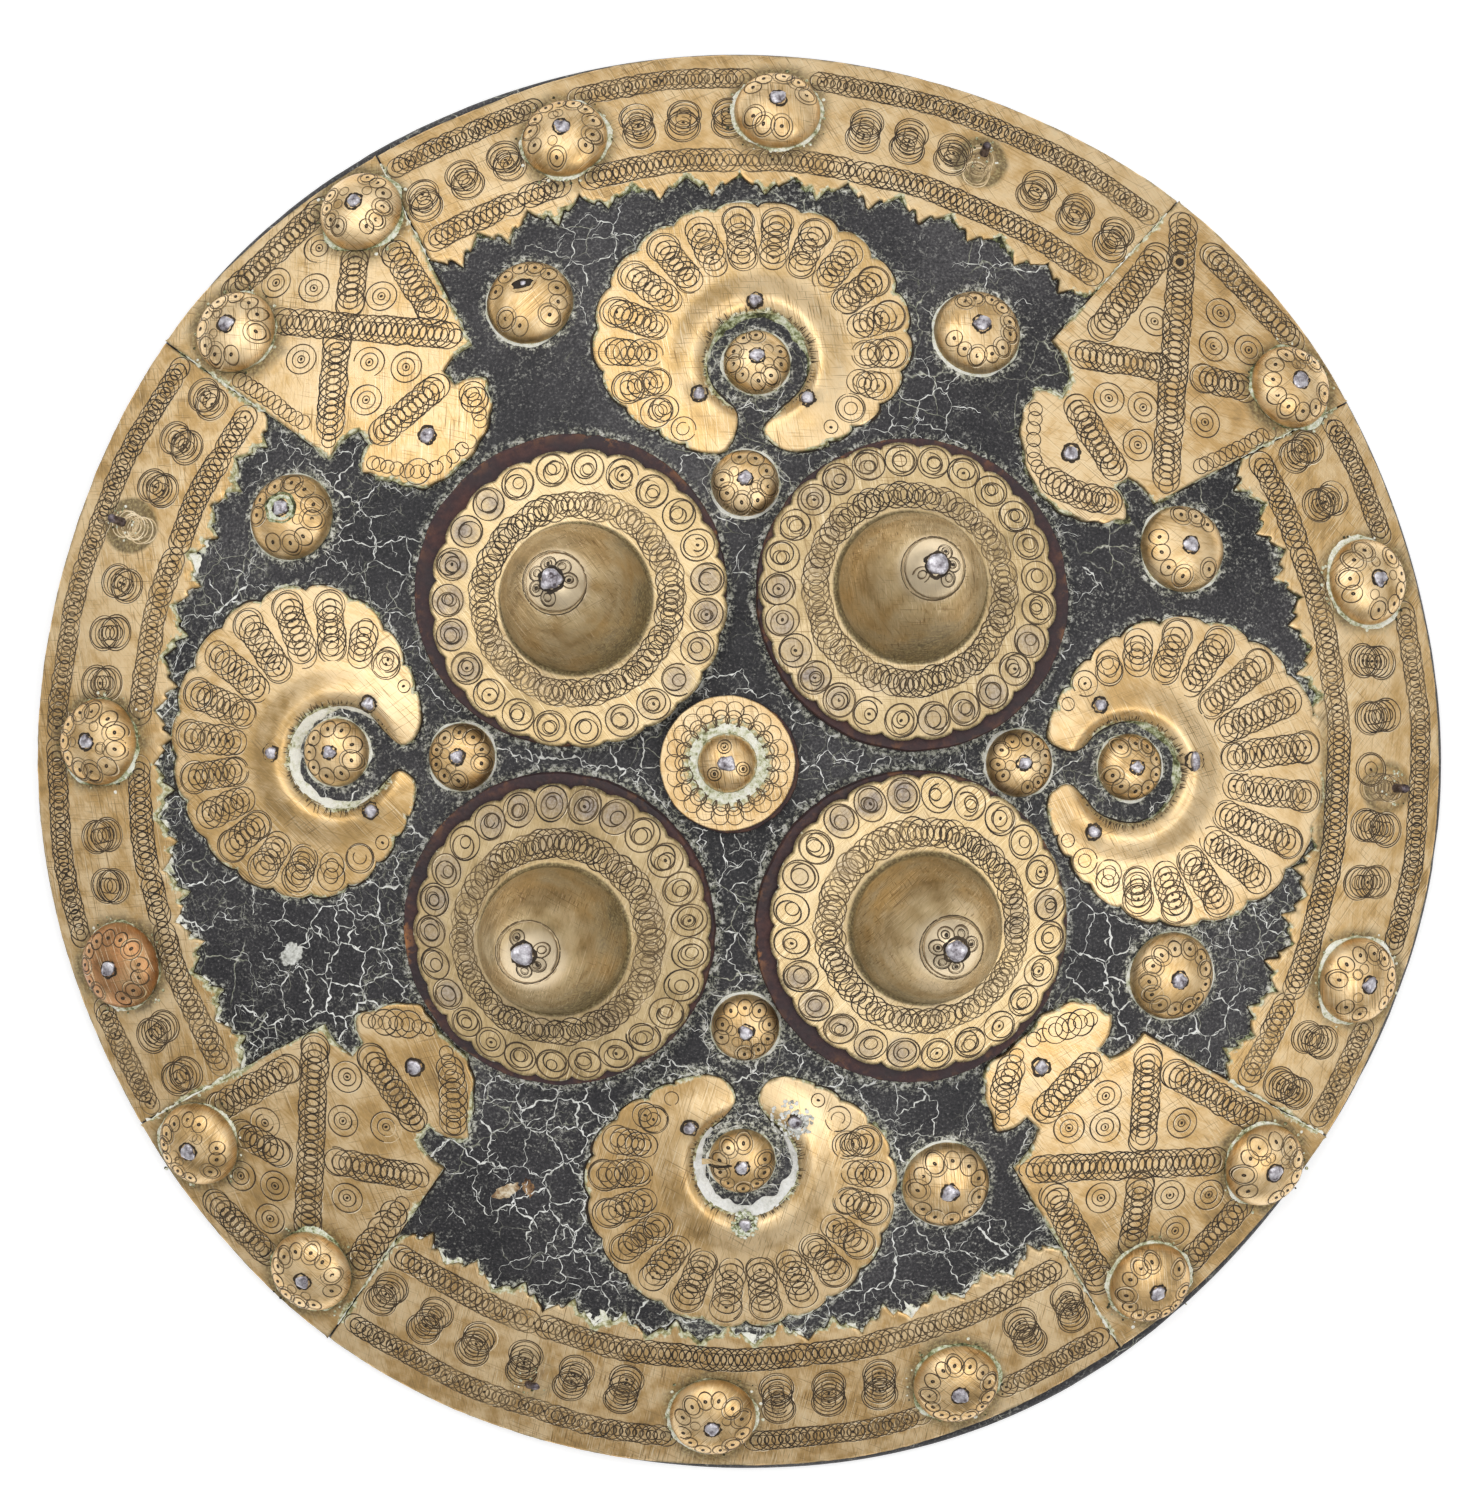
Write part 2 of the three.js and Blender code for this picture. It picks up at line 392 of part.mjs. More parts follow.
// ---------------------------------------------------------------- bosses, washers, studs
function washer(x, y, r, t, segments, lift = GAP) {
  const fr = tangentFrame(x, y, lift);
  const up = fr.o.clone().addScaledVector(fr.n, t);
  const rows = [];
  for (const k of [0.5, 1]) {
    rows.push(ringAt(fr.o, fr.e1, fr.e2, r * k, segments).map((p) => onDome(p[0], p[1], lift)));
  }
  rows.push(ringAt(up, fr.e1, fr.e2, r, segments));
  return rings(rows, up.toArray(), fr.o.toArray());
}
function boss(b) {
  const lift = GAP + WASHER_T + GAP;
  const fr = tangentFrame(b.base[0], b.base[1], lift);
  const flangeMid = new THREE.Vector3(...onDome(b.flange[0], b.flange[1], lift));
  flangeMid.addScaledVector(fr.n, -flangeMid.clone().sub(fr.o).dot(fr.n));   // into the flange's plane
  const top = fr.o.clone().addScaledVector(fr.n, FLANGE_T);
  const tipZ = top.z + BELL_H * fr.n.z;
  const lean = new THREE.Vector3(b.tip[0], b.tip[1], tipZ).sub(top).divideScalar(BELL_H);
  const n = b.lobes;
  const bell = (r0, h0, start, k) => {             // radius at fraction k of the height
    const h = h0 * k;
    const r = r0 * Math.pow(Math.max(0, 1 - k ** BELL_POWER), 1 / BELL_POWER);
    return ringAt(start.clone().addScaledVector(lean, h), fr.e1, fr.e2, r, n);
  };
  const scallop = (centre) => {
    const ring = [];
    for (let i = 0; i < 2 * n; i++) {
      const t = 2 * Math.PI * (i / (2 * n));
      const r = i % 2 ? FLANGE_R : FLANGE_NOTCH;
      ring.push(centre.clone().addScaledVector(fr.e1, r * Math.cos(t)).addScaledVector(fr.e2, r * Math.sin(t)).toArray());
    }
    return ring;
  };
  const pts = [], faces = [];
  const add = (ring) => { const s = pts.length; pts.push(...ring); return s; };
  const lowMid = flangeMid, topMid = flangeMid.clone().addScaledVector(fr.n, FLANGE_T);
  const outTop = add(scallop(topMid)), outLow = add(scallop(lowMid));
  const outerRows = [add(ringAt(top, fr.e1, fr.e2, BELL_R, n))];
  for (const k of [0.3, 0.64, 0.9]) outerRows.push(add(bell(BELL_R, BELL_H, top, k)));
  const apex = pts.push(top.clone().addScaledVector(lean, BELL_H).toArray()) - 1;
  const innerR = BELL_R - BELL_WALL, innerH = BELL_H + FLANGE_T - 2.0;
  const innerRows = [add(ringAt(fr.o, fr.e1, fr.e2, innerR, n))];
  for (const k of [0.66]) innerRows.push(add(bell(innerR, innerH, fr.o, k)));
  const innerApex = pts.push(fr.o.clone().addScaledVector(lean, innerH).toArray()) - 1;
  for (let i = 0; i < n; i++) {
    const j = (i + 1) % n, a = 2 * i, m = 2 * i + 1, b2 = (2 * i + 2) % (2 * n);
    const s = outerRows[0], q = innerRows[0];
    // upper face of the flange, its edge, and its under face
    faces.push([outTop + a, outTop + m, s + i], [outTop + m, s + j, s + i], [outTop + m, outTop + b2, s + j]);
    faces.push([outLow + m, outLow + a, q + i], [outLow + m, q + i, q + j], [outLow + b2, outLow + m, q + j]);
    faces.push([outLow + a, outLow + m, outTop + m], [outLow + a, outTop + m, outTop + a]);
    faces.push([outLow + m, outLow + b2, outTop + b2], [outLow + m, outTop + b2, outTop + m]);
    for (let r = 0; r + 1 < outerRows.length; r++) {
      const u = outerRows[r], v = outerRows[r + 1];
      faces.push([u + i, u + j, v + j], [u + i, v + j, v + i]);
    }
    faces.push([outerRows[outerRows.length - 1] + i, outerRows[outerRows.length - 1] + j, apex]);
    for (let r = 0; r + 1 < innerRows.length; r++) {
      const u = innerRows[r], v = innerRows[r + 1];
      faces.push([u + j, u + i, v + j], [v + j, u + i, v + i]);
    }
    faces.push([innerRows[innerRows.length - 1] + j, innerRows[innerRows.length - 1] + i, innerApex]);
  }
  return toGeometry(pts, faces);
}
function middleBoss(m) {
  const fr = tangentFrame(m.at[0], m.at[1], GAP + m.washer_t + GAP);
  const at = (r, h) => ringAt(fr.o.clone().addScaledVector(fr.n, h), fr.e1, fr.e2, r, 16);
  const rows = [at(m.flange_r, 0), at(m.flange_r, 0.9), at(m.dome_r, 0.9)];
  for (const k of [0.5, 0.85]) rows.push(at(m.dome_r * Math.sqrt(1 - k * k), 0.9 + m.dome_h * k));
  return rings(rows, fr.o.clone().addScaledVector(fr.n, 0.9 + m.dome_h).toArray(), fr.o.toArray());
}
function stud(x, y, r, h, lift) {
  const fr = tangentFrame(x, y, lift);
  const at = (k) => ringAt(fr.o.clone().addScaledVector(fr.n, h * k), fr.e1, fr.e2,
    r * Math.pow(1 - k ** STUD_POWER, 1 / STUD_POWER), STUD_SEG);
  const levels = r > 10 ? [0, 0.5, 0.86] : [0, 0.68];
  return rings(levels.map(at), fr.o.clone().addScaledVector(fr.n, h).toArray(), fr.o.toArray());
}

// ---------------------------------------------------------------- hand straps
function strap([from, to]) {
  const p = BOSSES[from].base, q = BOSSES[to].base;
  const len = Math.hypot(q[0] - p[0], q[1] - p[1]), d = [(q[0] - p[0]) / len, (q[1] - p[1]) / len];
  const plan = [], lift = [];
  const rows = [[], []];
  const stations = [-STRAP_END, -STRAP_TAB / 2, STRAP_TAB];
  for (let i = 1; i < STRAP_STEPS - 3; i++) stations.push(STRAP_TAB + (len - 2 * STRAP_TAB) * i / (STRAP_STEPS - 3));
  stations.push(len - STRAP_TAB, len + STRAP_TAB / 2, len + STRAP_END);
  for (const s of stations) {
    const k = Math.min(1, Math.max(0, (s - STRAP_TAB) / (len - 2 * STRAP_TAB)));
    const drop = STRAP_DROP * Math.sin(Math.PI * k) ** 0.8;
    for (const side of [0, 1]) {
      const w = (side ? 1 : -1) * STRAP_W / 2;
      plan.push([p[0] + d[0] * s - d[1] * w, p[1] + d[1] * s + d[0] * w]);
      lift.push(-STRAP_TOP - drop);
      rows[side].push(plan.length - 1);
    }
  }
  return sheet(plan, band(rows[0], rows[1]), (i) => lift[i] - STRAP_T, (i) => lift[i], -STRAP_TOP);
}
function rove([x, y]) {
  const fr = tangentFrame(x, y, -(STRAP_TOP + STRAP_T + GAP));
  const low = fr.o.clone().addScaledVector(fr.n, -ROVE_T);
  return rings([ringAt(low, fr.e1, fr.e2, ROVE_R, 12), ringAt(fr.o, fr.e1, fr.e2, ROVE_R, 12)], fr.o.toArray(), low.toArray());
}

// ---------------------------------------------------------------- assembly
const shield = new THREE.Group();
function add(name, geometry, material) {
  const m = new THREE.Mesh(geometry, material.clone());
  m.name = name;
  shield.add(m);
}
add('hide_body', hideBody(), hide);
const order = ['upper_right', 'upper_left', 'lower_left', 'lower_right'];
const arcNames = ['top', 'left', 'bottom', 'right'];
order.forEach((from, i) => {
  const to = order[(i + 1) % 4];
  add('border_arc_' + arcNames[i], borderArc(CORNERS[from], CORNERS[to]), brass);
});
for (const [k, c] of Object.entries(CORNERS)) add('corner_plate_' + k, cornerPlate(c), brass);
for (const [k, c] of Object.entries(CRESCENTS)) add('crescent_' + k, crescent(c), brass);
for (const [k, b] of Object.entries(BOSSES)) {
  add('washer_' + k, washer(b.washer[0], b.washer[1], WASHER_R, WASHER_T, 24), leather);
  add('boss_' + k, boss(b), brass);
}
add('washer_middle', washer(MIDDLE.washer[0], MIDDLE.washer[1], MIDDLE.washer_r, MIDDLE.washer_t, 16), leather);
add('boss_middle', middleBoss(MIDDLE), brass);
for (const [name, x, y, r, h, lift] of STUDS) add(name, stud(x, y, r, h, lift), brass);
for (const [k, pair] of Object.entries(STRAPS)) {
  add('hand_strap_' + k, strap(pair), strapLeather);
  for (const b of pair) add('strap_rove_' + b, rove(BOSSES[b].base), iron);
}

export default shield;
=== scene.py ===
import math

import bpy
import numpy as np
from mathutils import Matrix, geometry


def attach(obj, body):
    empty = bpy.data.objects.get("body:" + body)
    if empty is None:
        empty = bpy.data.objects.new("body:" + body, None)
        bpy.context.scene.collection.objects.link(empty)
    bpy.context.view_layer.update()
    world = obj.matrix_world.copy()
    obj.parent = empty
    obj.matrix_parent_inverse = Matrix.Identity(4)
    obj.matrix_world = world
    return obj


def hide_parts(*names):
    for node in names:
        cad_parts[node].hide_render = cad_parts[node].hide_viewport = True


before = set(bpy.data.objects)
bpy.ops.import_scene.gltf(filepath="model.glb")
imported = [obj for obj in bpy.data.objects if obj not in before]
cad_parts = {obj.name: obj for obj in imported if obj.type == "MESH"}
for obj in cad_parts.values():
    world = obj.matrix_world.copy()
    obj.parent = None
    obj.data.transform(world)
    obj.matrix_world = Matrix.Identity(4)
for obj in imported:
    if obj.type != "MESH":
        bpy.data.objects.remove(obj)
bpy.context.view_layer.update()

# ------------------------------------------------------------------ camera: straight above, as the photograph
cam_data = bpy.data.cameras.new("camera")
cam = bpy.data.objects.new("camera", cam_data)
bpy.context.scene.collection.objects.link(cam)
cam.location = (0.000514, 0.003327, 1.620)
cam_data.sensor_fit = 'HORIZONTAL'
cam_data.sensor_width = 36.0
cam_data.lens = 36.0 * 5989.0 / 1482.0
cam_data.clip_start = 0.02
cam_data.clip_end = 30.0
bpy.context.scene.camera = cam
bpy.context.scene.view_settings.view_transform = 'Standard'
bpy.context.scene.view_settings.look = 'None'

# ------------------------------------------------------------------ dimensions, in millimetres, as in the CAD
DOME_R, RIM_R, RIM_TOP = 370.0, 190.0, 5.0
MID = np.array([-0.16, 0.89])
CAP_Z = RIM_TOP - math.sqrt(DOME_R ** 2 - RIM_R ** 2)
CENTRE = np.array([MID[0], MID[1], CAP_Z])
HIDE_T, FOOT_IN = 5.0, 184.0
GAP, SHEET, CORNER_TOP, SIDE_GAP = 0.35, 1.0, 1.85, 0.45
TEETH = 13
HOLE_R, LOBE, LOBE_SPAN = 13.5, 1.5, 140.0
FLANGE_R, FLANGE_NOTCH, FLANGE_T = 39.4, 38.2, 1.0
BELL_R, BELL_H, BELL_POWER = 19.4, 40.0, 1.63
WASHER_R, WASHER_T = 41.3, 2.6
ON_HIDE, ON_ARC, ON_CORNER = GAP, GAP + SHEET + GAP, CORNER_TOP + GAP
CORNERS = {
    'upper_right': dict(axis=41.3, bulge=0.5, rim=[(185.8, -35.6), (188.3, 34.4)], tip=[(127.5, -21.8), (136.0, 28.5)],
                        notch=[(126.8, -12.0), (132.4, 16.9)], neck=[(122.4, -11.6), (127.6, 15.2)],
                        tail=[(118.9, -19.7), (112.6, -15.6), (106.9, -6.6), (107.1, 5.2), (114.6, 17.4), (123.0, 21.2)]),
    'upper_left': dict(axis=132.5, bulge=0.8, rim=[(181.3, -36.5), (182.0, 36.6)], tip=[(128.8, -22.0), (132.3, 25.9)],
                       notch=[(128.7, -11.6), (132.4, 15.2)], neck=[(123.6, -11.6), (127.6, 15.6)],
                       tail=[(119.4, -18.7), (111.7, -13.6), (106.8, -2.0), (108.1, 11.1), (115.1, 17.4), (123.2, 21.6)]),
    'lower_left': dict(axis=222.8, bulge=1.1, rim=[(181.7, -36.3), (184.1, 38.6)], tip=[(128.4, -23.1), (131.1, 26.5)],
                       notch=[(128.5, -11.7), (130.9, 16.3)], neck=[(123.6, -12.4), (126.1, 15.6)],
                       tail=[(120.2, -18.9), (108.8, -12.9), (103.7, -3.6), (105.4, 6.7), (110.4, 16.2), (120.6, 24.6)]),
    'lower_right': dict(axis=315.2, bulge=-1.6, rim=[(183.2, -39.5), (179.6, 38.2)], tip=[(128.0, -25.4), (127.5, 24.2)],
                        notch=[(125.4, -13.4), (125.6, 13.0)], neck=[(120.8, -13.5), (121.7, 12.6)],
                        tail=[(117.8, -21.5), (107.5, -16.1), (102.3, -8.4), (103.3, 5.2), (108.9, 18.0), (117.6, 21.2)]),
}
CRESCENTS = {
    'top': dict(axis=90, hole=(5.0, 105.4), tips=[(4.8, 87.8), (0.0, 87.8)], mid=(111.5, -3.5), half=42.3, out=149.3, inn=80.0),
    'left': dict(axis=180, hole=(-105.0, 1.5), tips=[(-88.4, 3.3), (-89.8, -0.9)], mid=(113.3, -5.6), half=41.6, out=151.1, inn=83.0),
    'bottom': dict(axis=270, hole=(1.8, -105.9), tips=[(0.3, -88.0), (4.2, -88.0)], mid=(110.2, 0.5), half=41.4, out=150.4, inn=81.0),
    'right': dict(axis=0, hole=(102.6, -2.5), tips=[(86.8, -4.3), (86.6, 2.3)], mid=(116.5, -2.35), half=41.0, out=156.6, inn=79.6),
}
LOBES = 18
BOSSES = {
    'upper_left': dict(flange=(-41.9, 42.9), base=(-42.4, 42.7), tip=(-48.0, 46.7), washer=(-43.9, 45.1), lobes=23),
    'upper_right': dict(flange=(44.1, 44.7), base=(44.7, 45.6), tip=(50.6, 50.5), washer=(45.2, 43.8), lobes=25),
    'lower_left': dict(flange=(-46.1, -44.4), base=(-48.0, -46.1), tip=(-55.2, -48.7), washer=(-46.9, -43.3), lobes=25),
    'lower_right': dict(flange=(46.8, -41.7), base=(48.4, -43.1), tip=(55.5, -47.9), washer=(44.9, -42.7), lobes=24),
}
MIDDLE = dict(at=(-3.0, -0.1), washer=(-2.1, -0.6), washer_r=17.9, washer_t=1.8, flange_r=17.6, dome_r=7.7, dome_h=5.2)
STUDS = [
    ('stud_small_top', 1.6, 73.2, 8.9, 5.8, ON_HIDE), ('stud_small_left', -72.5, 1.5, 8.9, 5.8, ON_HIDE),
    ('stud_small_bottom', 1.6, -69.2, 8.9, 5.8, ON_HIDE), ('stud_small_right', 73.3, -0.1, 8.9, 5.8, ON_HIDE),
    ('stud_window_top', 4.7, 105.2, 8.8, 6.2, ON_HIDE), ('stud_window_left', -105.8, 2.7, 9.0, 6.2, ON_HIDE),
    ('stud_window_bottom', 0.8, -104.7, 8.8, 6.2, ON_HIDE), ('stud_window_right', 102.7, -1.2, 8.8, 6.2, ON_HIDE),
    ('stud_field_upper_right', 62.9, 113.6, 11.6, 6.8, ON_HIDE), ('stud_field_upper_left', -55.3, 121.6, 11.6, 6.8, ON_HIDE),
    ('stud_field_left', -118.4, 65.0, 11.6, 6.8, ON_HIDE), ('stud_field_lower_right', 54.6, -111.3, 11.7, 6.8, ON_HIDE),
    ('stud_field_right_low', 114.2, -56.3, 11.7, 6.8, ON_HIDE), ('stud_field_right_high', 117.1, 56.5, 11.6, 6.8, ON_HIDE),
    ('stud_rim_top', 10.2, 174.1, 11.6, 7.0, ON_ARC), ('stud_rim_top_left', -46.6, 166.6, 11.6, 7.0, ON_ARC),
    ('stud_rim_left', -171.0, 5.5, 11.6, 7.0, ON_ARC), ('stud_rim_left_low', -165.2, -54.2, 11.6, 7.0, ON_ARC),
    ('stud_rim_bottom', -7.0, -174.9, 11.6, 7.0, ON_ARC), ('stud_rim_bottom_right', 58.1, -166.1, 11.6, 7.0, ON_ARC),
    ('stud_rim_right_low', 165.3, -58.3, 11.6, 7.0, ON_ARC), ('stud_rim_right_high', 167.9, 48.3, 11.6, 7.0, ON_ARC),
    ('stud_corner_top_left', -101.1, 147.3, 11.4, 7.0, ON_CORNER), ('stud_corner_left_top', -134.5, 115.1, 11.4, 7.0, ON_CORNER),
    ('stud_corner_left_bottom', -144.5, -102.0, 11.4, 7.0, ON_CORNER), ('stud_corner_bottom_left', -114.5, -136.1, 11.4, 7.0, ON_CORNER),
    ('stud_corner_bottom_right', 109.9, -139.1, 11.4, 7.0, ON_CORNER), ('stud_corner_right_bottom', 140.5, -107.7, 11.4, 7.0, ON_CORNER),
    ('stud_corner_right_top', 147.5, 100.4, 11.4, 7.0, ON_CORNER),
]
STUD_POWER = 2.2
STRAPS = {'left': ('upper_left', 'lower_left'), 'right': ('upper_right', 'lower_right')}
STRAP_W, STRAP_T, STRAP_END, STRAP_TAB, STRAP_DROP, STRAP_TOP = 22.0, 3.0, 13.0, 9.0, 28.0, HIDE_T + 1.6
ROVE_R, ROVE_T = 7.5, 1.6
# rivets through the brass, by plan position; their radius and the lift of what they stand on are set where they are
# made
CRESCENT_RIVETS = [(4.2, 121.9), (-10.5, 96.9), (17.9, 95.8), (-97.3, 15.4), (-123.6, 2.5), (-96.7, -12.7),
                   (94.8, 15.2), (120.1, 0.4), (93.0, -18.2), (-12.9, -95.8), (14.7, -94.4), (1.6, -121.9)]
TAIL_RIVETS = [(-82.3, 86.4), (-85.7, -80.3), (87.6, 81.7), (79.6, -80.2)]
POSTS = [(65.6, 163.2, 0.0), (-165.4, 64.4, 0.2), (176.0, -6.9, 0.1), (-56.6, -166.9, 0.9)]   # last: how far it leans
PLATE_ORNAMENT = {
    'upper_left': dict(
        chains=[((-122.8, 118.0), (-73.3, 112.9)), ((-102.5, 137.1), (-103.7, 122.8)), ((-93.3, 138.8), (-81.5, 119.8)), ((-133.4, 102.2), (-116.1, 90.4)), ((-107.0, 111.9), (-108.9, 85.2)), ((-78.5, 100.6), (-95.7, 86.3)), ((-135.0, 127.5), (-113.2, 148.0))],
        tail=[(-70.7, 98.3), (-68.8, 87.6), (-81.4, 77.1), (-96.7, 79.1)],
        circles=[(-112.6, 137.9), (-124.2, 128.6), (-113.7, 126.9), (-95.3, 124.2), (-116.7, 107.5), (-98.2, 106.3), (-88.2, 104.8), (-98.8, 96.1)]),
    'lower_left': dict(
        chains=[((-112.3, -76.1), (-115.3, -123.7)), ((-120.3, -81.6), (-138.1, -91.5)), ((-123.5, -103.9), (-132.0, -99.5)), ((-96.7, -78.6), (-85.1, -95.3)), ((-106.4, -106.2), (-84.1, -110.4)), ((-89.6, -117.0), (-101.6, -133.8)), ((-140.0, -118.9), (-124.4, -134.5))],
        tail=[(-97.9, -68.2), (-81.1, -70.6), (-75.9, -82.0), (-75.5, -96.5)],
        circles=[(-103.8, -83.2), (-105.1, -95.1), (-93.5, -96.5), (-104.4, -116.0), (-126.4, -96.1), (-124.1, -113.2), (-125.7, -122.3), (-133.4, -110.7)]),
    'upper_right': dict(
        chains=[((119.7, 146.2), (112.8, 73.2)), ((111.9, 135.1), (97.0, 116.1)), ((87.7, 108.8), (111.2, 105.2)), ((128.2, 135.6), (149.0, 113.6)), ((124.5, 102.3), (136.6, 99.8)), ((122.6, 78.5), (141.6, 88.0)), ((89.4, 93.8), (99.1, 78.1))],
        tail=[(78.4, 95.0), (78.2, 79.2), (87.2, 71.6), (97.6, 69.0)],
        circles=[(110.9, 117.7), (98.0, 96.6), (107.2, 94.3), (105.6, 84.1), (129.1, 120.4), (126.9, 111.3), (136.6, 110.5), (124.0, 90.6)]),
    'lower_right': dict(
        chains=[((75.9, -107.8), (132.7, -106.3)), ((108.3, -79.0), (107.3, -99.7)), ((116.2, -82.9), (140.4, -96.7)), ((83.8, -115.3), (96.2, -138.1)), ((106.8, -113.1), (105.2, -127.8)), ((137.1, -116.6), (120.0, -134.9)), ((93.7, -78.8), (78.4, -94.1))],
        tail=[(94.9, -67.1), (76.8, -73.3), (70.6, -83.6), (69.4, -95.3)],
        circles=[(97.1, -88.2), (87.3, -96.7), (97.0, -96.6), (117.8, -95.9), (96.3, -115.8), (115.0, -115.5), (125.7, -115.7), (116.7, -125.4)]),
}
rad = math.radians


# ------------------------------------------------------------------ seeded smooth noise
def _hash(a, b, seed):
    n = (a * 374761393 + b * 668265263 + seed * 144665) & 0xffffffff
    n = ((n ^ (n >> 13)) * 1274126177) & 0xffffffff
    return ((n ^ (n >> 16)) & 0xffff) / 32767.5 - 1.0


def noise(x, y, seed=0):
    x, y = np.asarray(x, float), np.asarray(y, float)
    xi, yi = np.floor(x).astype(np.int64), np.floor(y).astype(np.int64)
    u, v = x - xi, y - yi
    u, v = u * u * (3 - 2 * u), v * v * (3 - 2 * v)
    a, b = _hash(xi, yi, seed), _hash(xi + 1, yi, seed)
    c, d = _hash(xi, yi + 1, seed), _hash(xi + 1, yi + 1, seed)
    return (a + (b - a) * u) * (1 - v) + (c + (d - c) * u) * v


def fbm(x, y, seed=0, octaves=3):
    return sum(noise(x * 2 ** k, y * 2 ** k, seed + k * 17) / 2 ** k for k in range(octaves)) / 1.6


# ------------------------------------------------------------------ surface of the dome
def on_dome(xy, lift, ref=None):
    xy = np.asarray(xy, float).reshape(-1, 2)
    lift = np.broadcast_to(np.asarray(lift, float), (len(xy),))
    ref = lift if ref is None else np.broadcast_to(np.asarray(ref, float), (len(xy),))
    n = (xy - MID) / (DOME_R + ref)[:, None]
    nz = np.sqrt(np.maximum(1e-9, 1 - (n ** 2).sum(1)))
    return CENTRE + np.column_stack([n, nz]) * (DOME_R + lift)[:, None]


EDGE = [190.19, 0.03, -0.03, -1.13, -0.01, 0.16, 0.89, -0.31, 0.07, 0.21, -0.11, 0.39, -0.21, -0.09, -0.35, 0.14, 0.02]
BARE = [(0, .95), (10, .7), (20, .55), (30, .35), (40, .15), (55, .0), (62, .25), (100, .4), (107, 1.1), (112, 1.8),
        (124, 1.8), (132, 1.1), (140, .25), (150, .12), (260, .15), (268, 1.1), (280, 1.1), (290, 2.0), (300, 2.6),
        (310, 1.7), (320, 1.0), (328, .3), (336, .8), (350, .75), (360, .95)]


def outline(t):
    """The hand-cut edge of the hide: a circle with slow waves in it."""
    r = EDGE[0] + 0 * t
    for k in range(1, 9):
        r = r + EDGE[2 * k - 1] * np.cos(k * t) + EDGE[2 * k] * np.sin(k * t)
    return r


def bare_edge(t):
    """How far the brass stops short of the hide's edge."""
    return np.interp(np.degrees(t) % 360, [b[0] for b in BARE], [b[1] for b in BARE])


def polar(r, t):
    return np.column_stack([MID[0] + r * np.cos(t), MID[1] + r * np.sin(t)])


def tangent_frame(x, y, lift):
    o = on_dome([(x, y)], lift)[0]
    n = (o - CENTRE) / np.linalg.norm(o - CENTRE)
    e1 = np.array([1.0, 0, 0]) - n * n[0]
    e1 /= np.linalg.norm(e1)
    return o, n, e1, np.cross(n, e1)


# ------------------------------------------------------------------ mesh building
def make(name, verts, faces, material, slot, replaces=(), attrs=None, sharp=38, closed=True, index=None):
    V = np.asarray(verts, float)
    faces = [np.asarray(f, np.int64) for f in faces if len(f)]
    if closed:
        vol = 0.0
        for f in faces:
            for k in range(1, f.shape[1] - 1):
                a, b, c = V[f[:, 0]], V[f[:, k]], V[f[:, k + 1]]
                vol += np.einsum('ij,ij->i', a, np.cross(b, c)).sum()
        if vol < 0:
            faces = [f[:, ::-1] for f in faces]
    me = bpy.data.meshes.new(name)
    me.vertices.add(len(V))
    me.vertices.foreach_set('co', (V * 0.001).astype(np.float32).ravel())
    loops = np.concatenate([f.ravel() for f in faces]).astype(np.int32)
    sizes = np.concatenate([np.full(len(f), f.shape[1]) for f in faces])
    starts = np.concatenate([[0], np.cumsum(sizes)[:-1]]).astype(np.int32)
    me.loops.add(len(loops))
    me.loops.foreach_set('vertex_index', loops)
    me.polygons.add(len(sizes))
    me.polygons.foreach_set('loop_start', starts)
    me.update(calc_edges=True)
    me.validate()
    me.polygons.foreach_set('use_smooth', np.ones(len(me.polygons), bool))
    if sharp:
        me.set_sharp_from_angle(angle=rad(sharp))
    for k, a in (attrs or {}).items():
        at = me.attributes.new(name=k, type='FLOAT', domain='POINT')
        at.data.foreach_set('value', np.asarray(a, np.float32))
    mats = material if isinstance(material, (list, tuple)) else [material]
    for m in mats:
        me.materials.append(m)
    if index is not None:
        me.polygons.foreach_set('material_index', np.asarray(index, np.int32))
    me.update()
    ob = bpy.data.objects.new(name, me)
    bpy.context.scene.collection.objects.link(ob)
    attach(ob, "root")
    if replaces:
        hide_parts(*replaces)
    return ob


class Bag:
    """Gathers several small meshes into one object."""

    def __init__(self):
        self.v, self.f, self.n, self.a = [], {}, 0, {}

    def add(self, verts, faces, **attrs):
        verts = np.asarray(verts, float)
        for f in faces:
            f = np.asarray(f, np.int64)
            if len(f):
                self.f.setdefault(f.shape[1], []).append(f + self.n)
        self.v.append(verts)
        self.n += len(verts)
        for k, a in attrs.items():
            self.a.setdefault(k, []).append(np.broadcast_to(np.asarray(a, float), (len(verts),)))

    def build(self, name, material, slot, **kw):
        faces = [np.vstack(v) for v in self.f.values()]
        return make(name, np.vstack(self.v), faces, material, slot,
                    attrs={k: np.concatenate(a) for k, a in self.a.items()}, **kw)


def lathe(rows, top=None, bottom=None):
    """Rings of equal count, from the bottom up, closed by a point at each end."""
    n = len(rows[0])
    V = np.vstack(rows)
    i = np.arange(n)
    j = (i + 1) % n
    quads = [np.column_stack([r * n + i, r * n + j, (r + 1) * n + j, (r + 1) * n + i]) for r in range(len(rows) - 1)]
    tris = []
    if top is not None:
        V = np.vstack([V, top])
        last = (len(rows) - 1) * n
        tris.append(np.column_stack([last + i, last + j, np.full(n, len(V) - 1)]))
    if bottom is not None:
        V = np.vstack([V, bottom])
        tris.append(np.column_stack([j, i, np.full(n, len(V) - 1)]))
    return V, [np.vstack(quads)] + ([np.vstack(tris)] if tris else [])


def ring(o, e1, e2, r, t):
    r = np.broadcast_to(r, t.shape)
    return o + (r * np.cos(t))[:, None] * e1 + (r * np.sin(t))[:, None] * e2


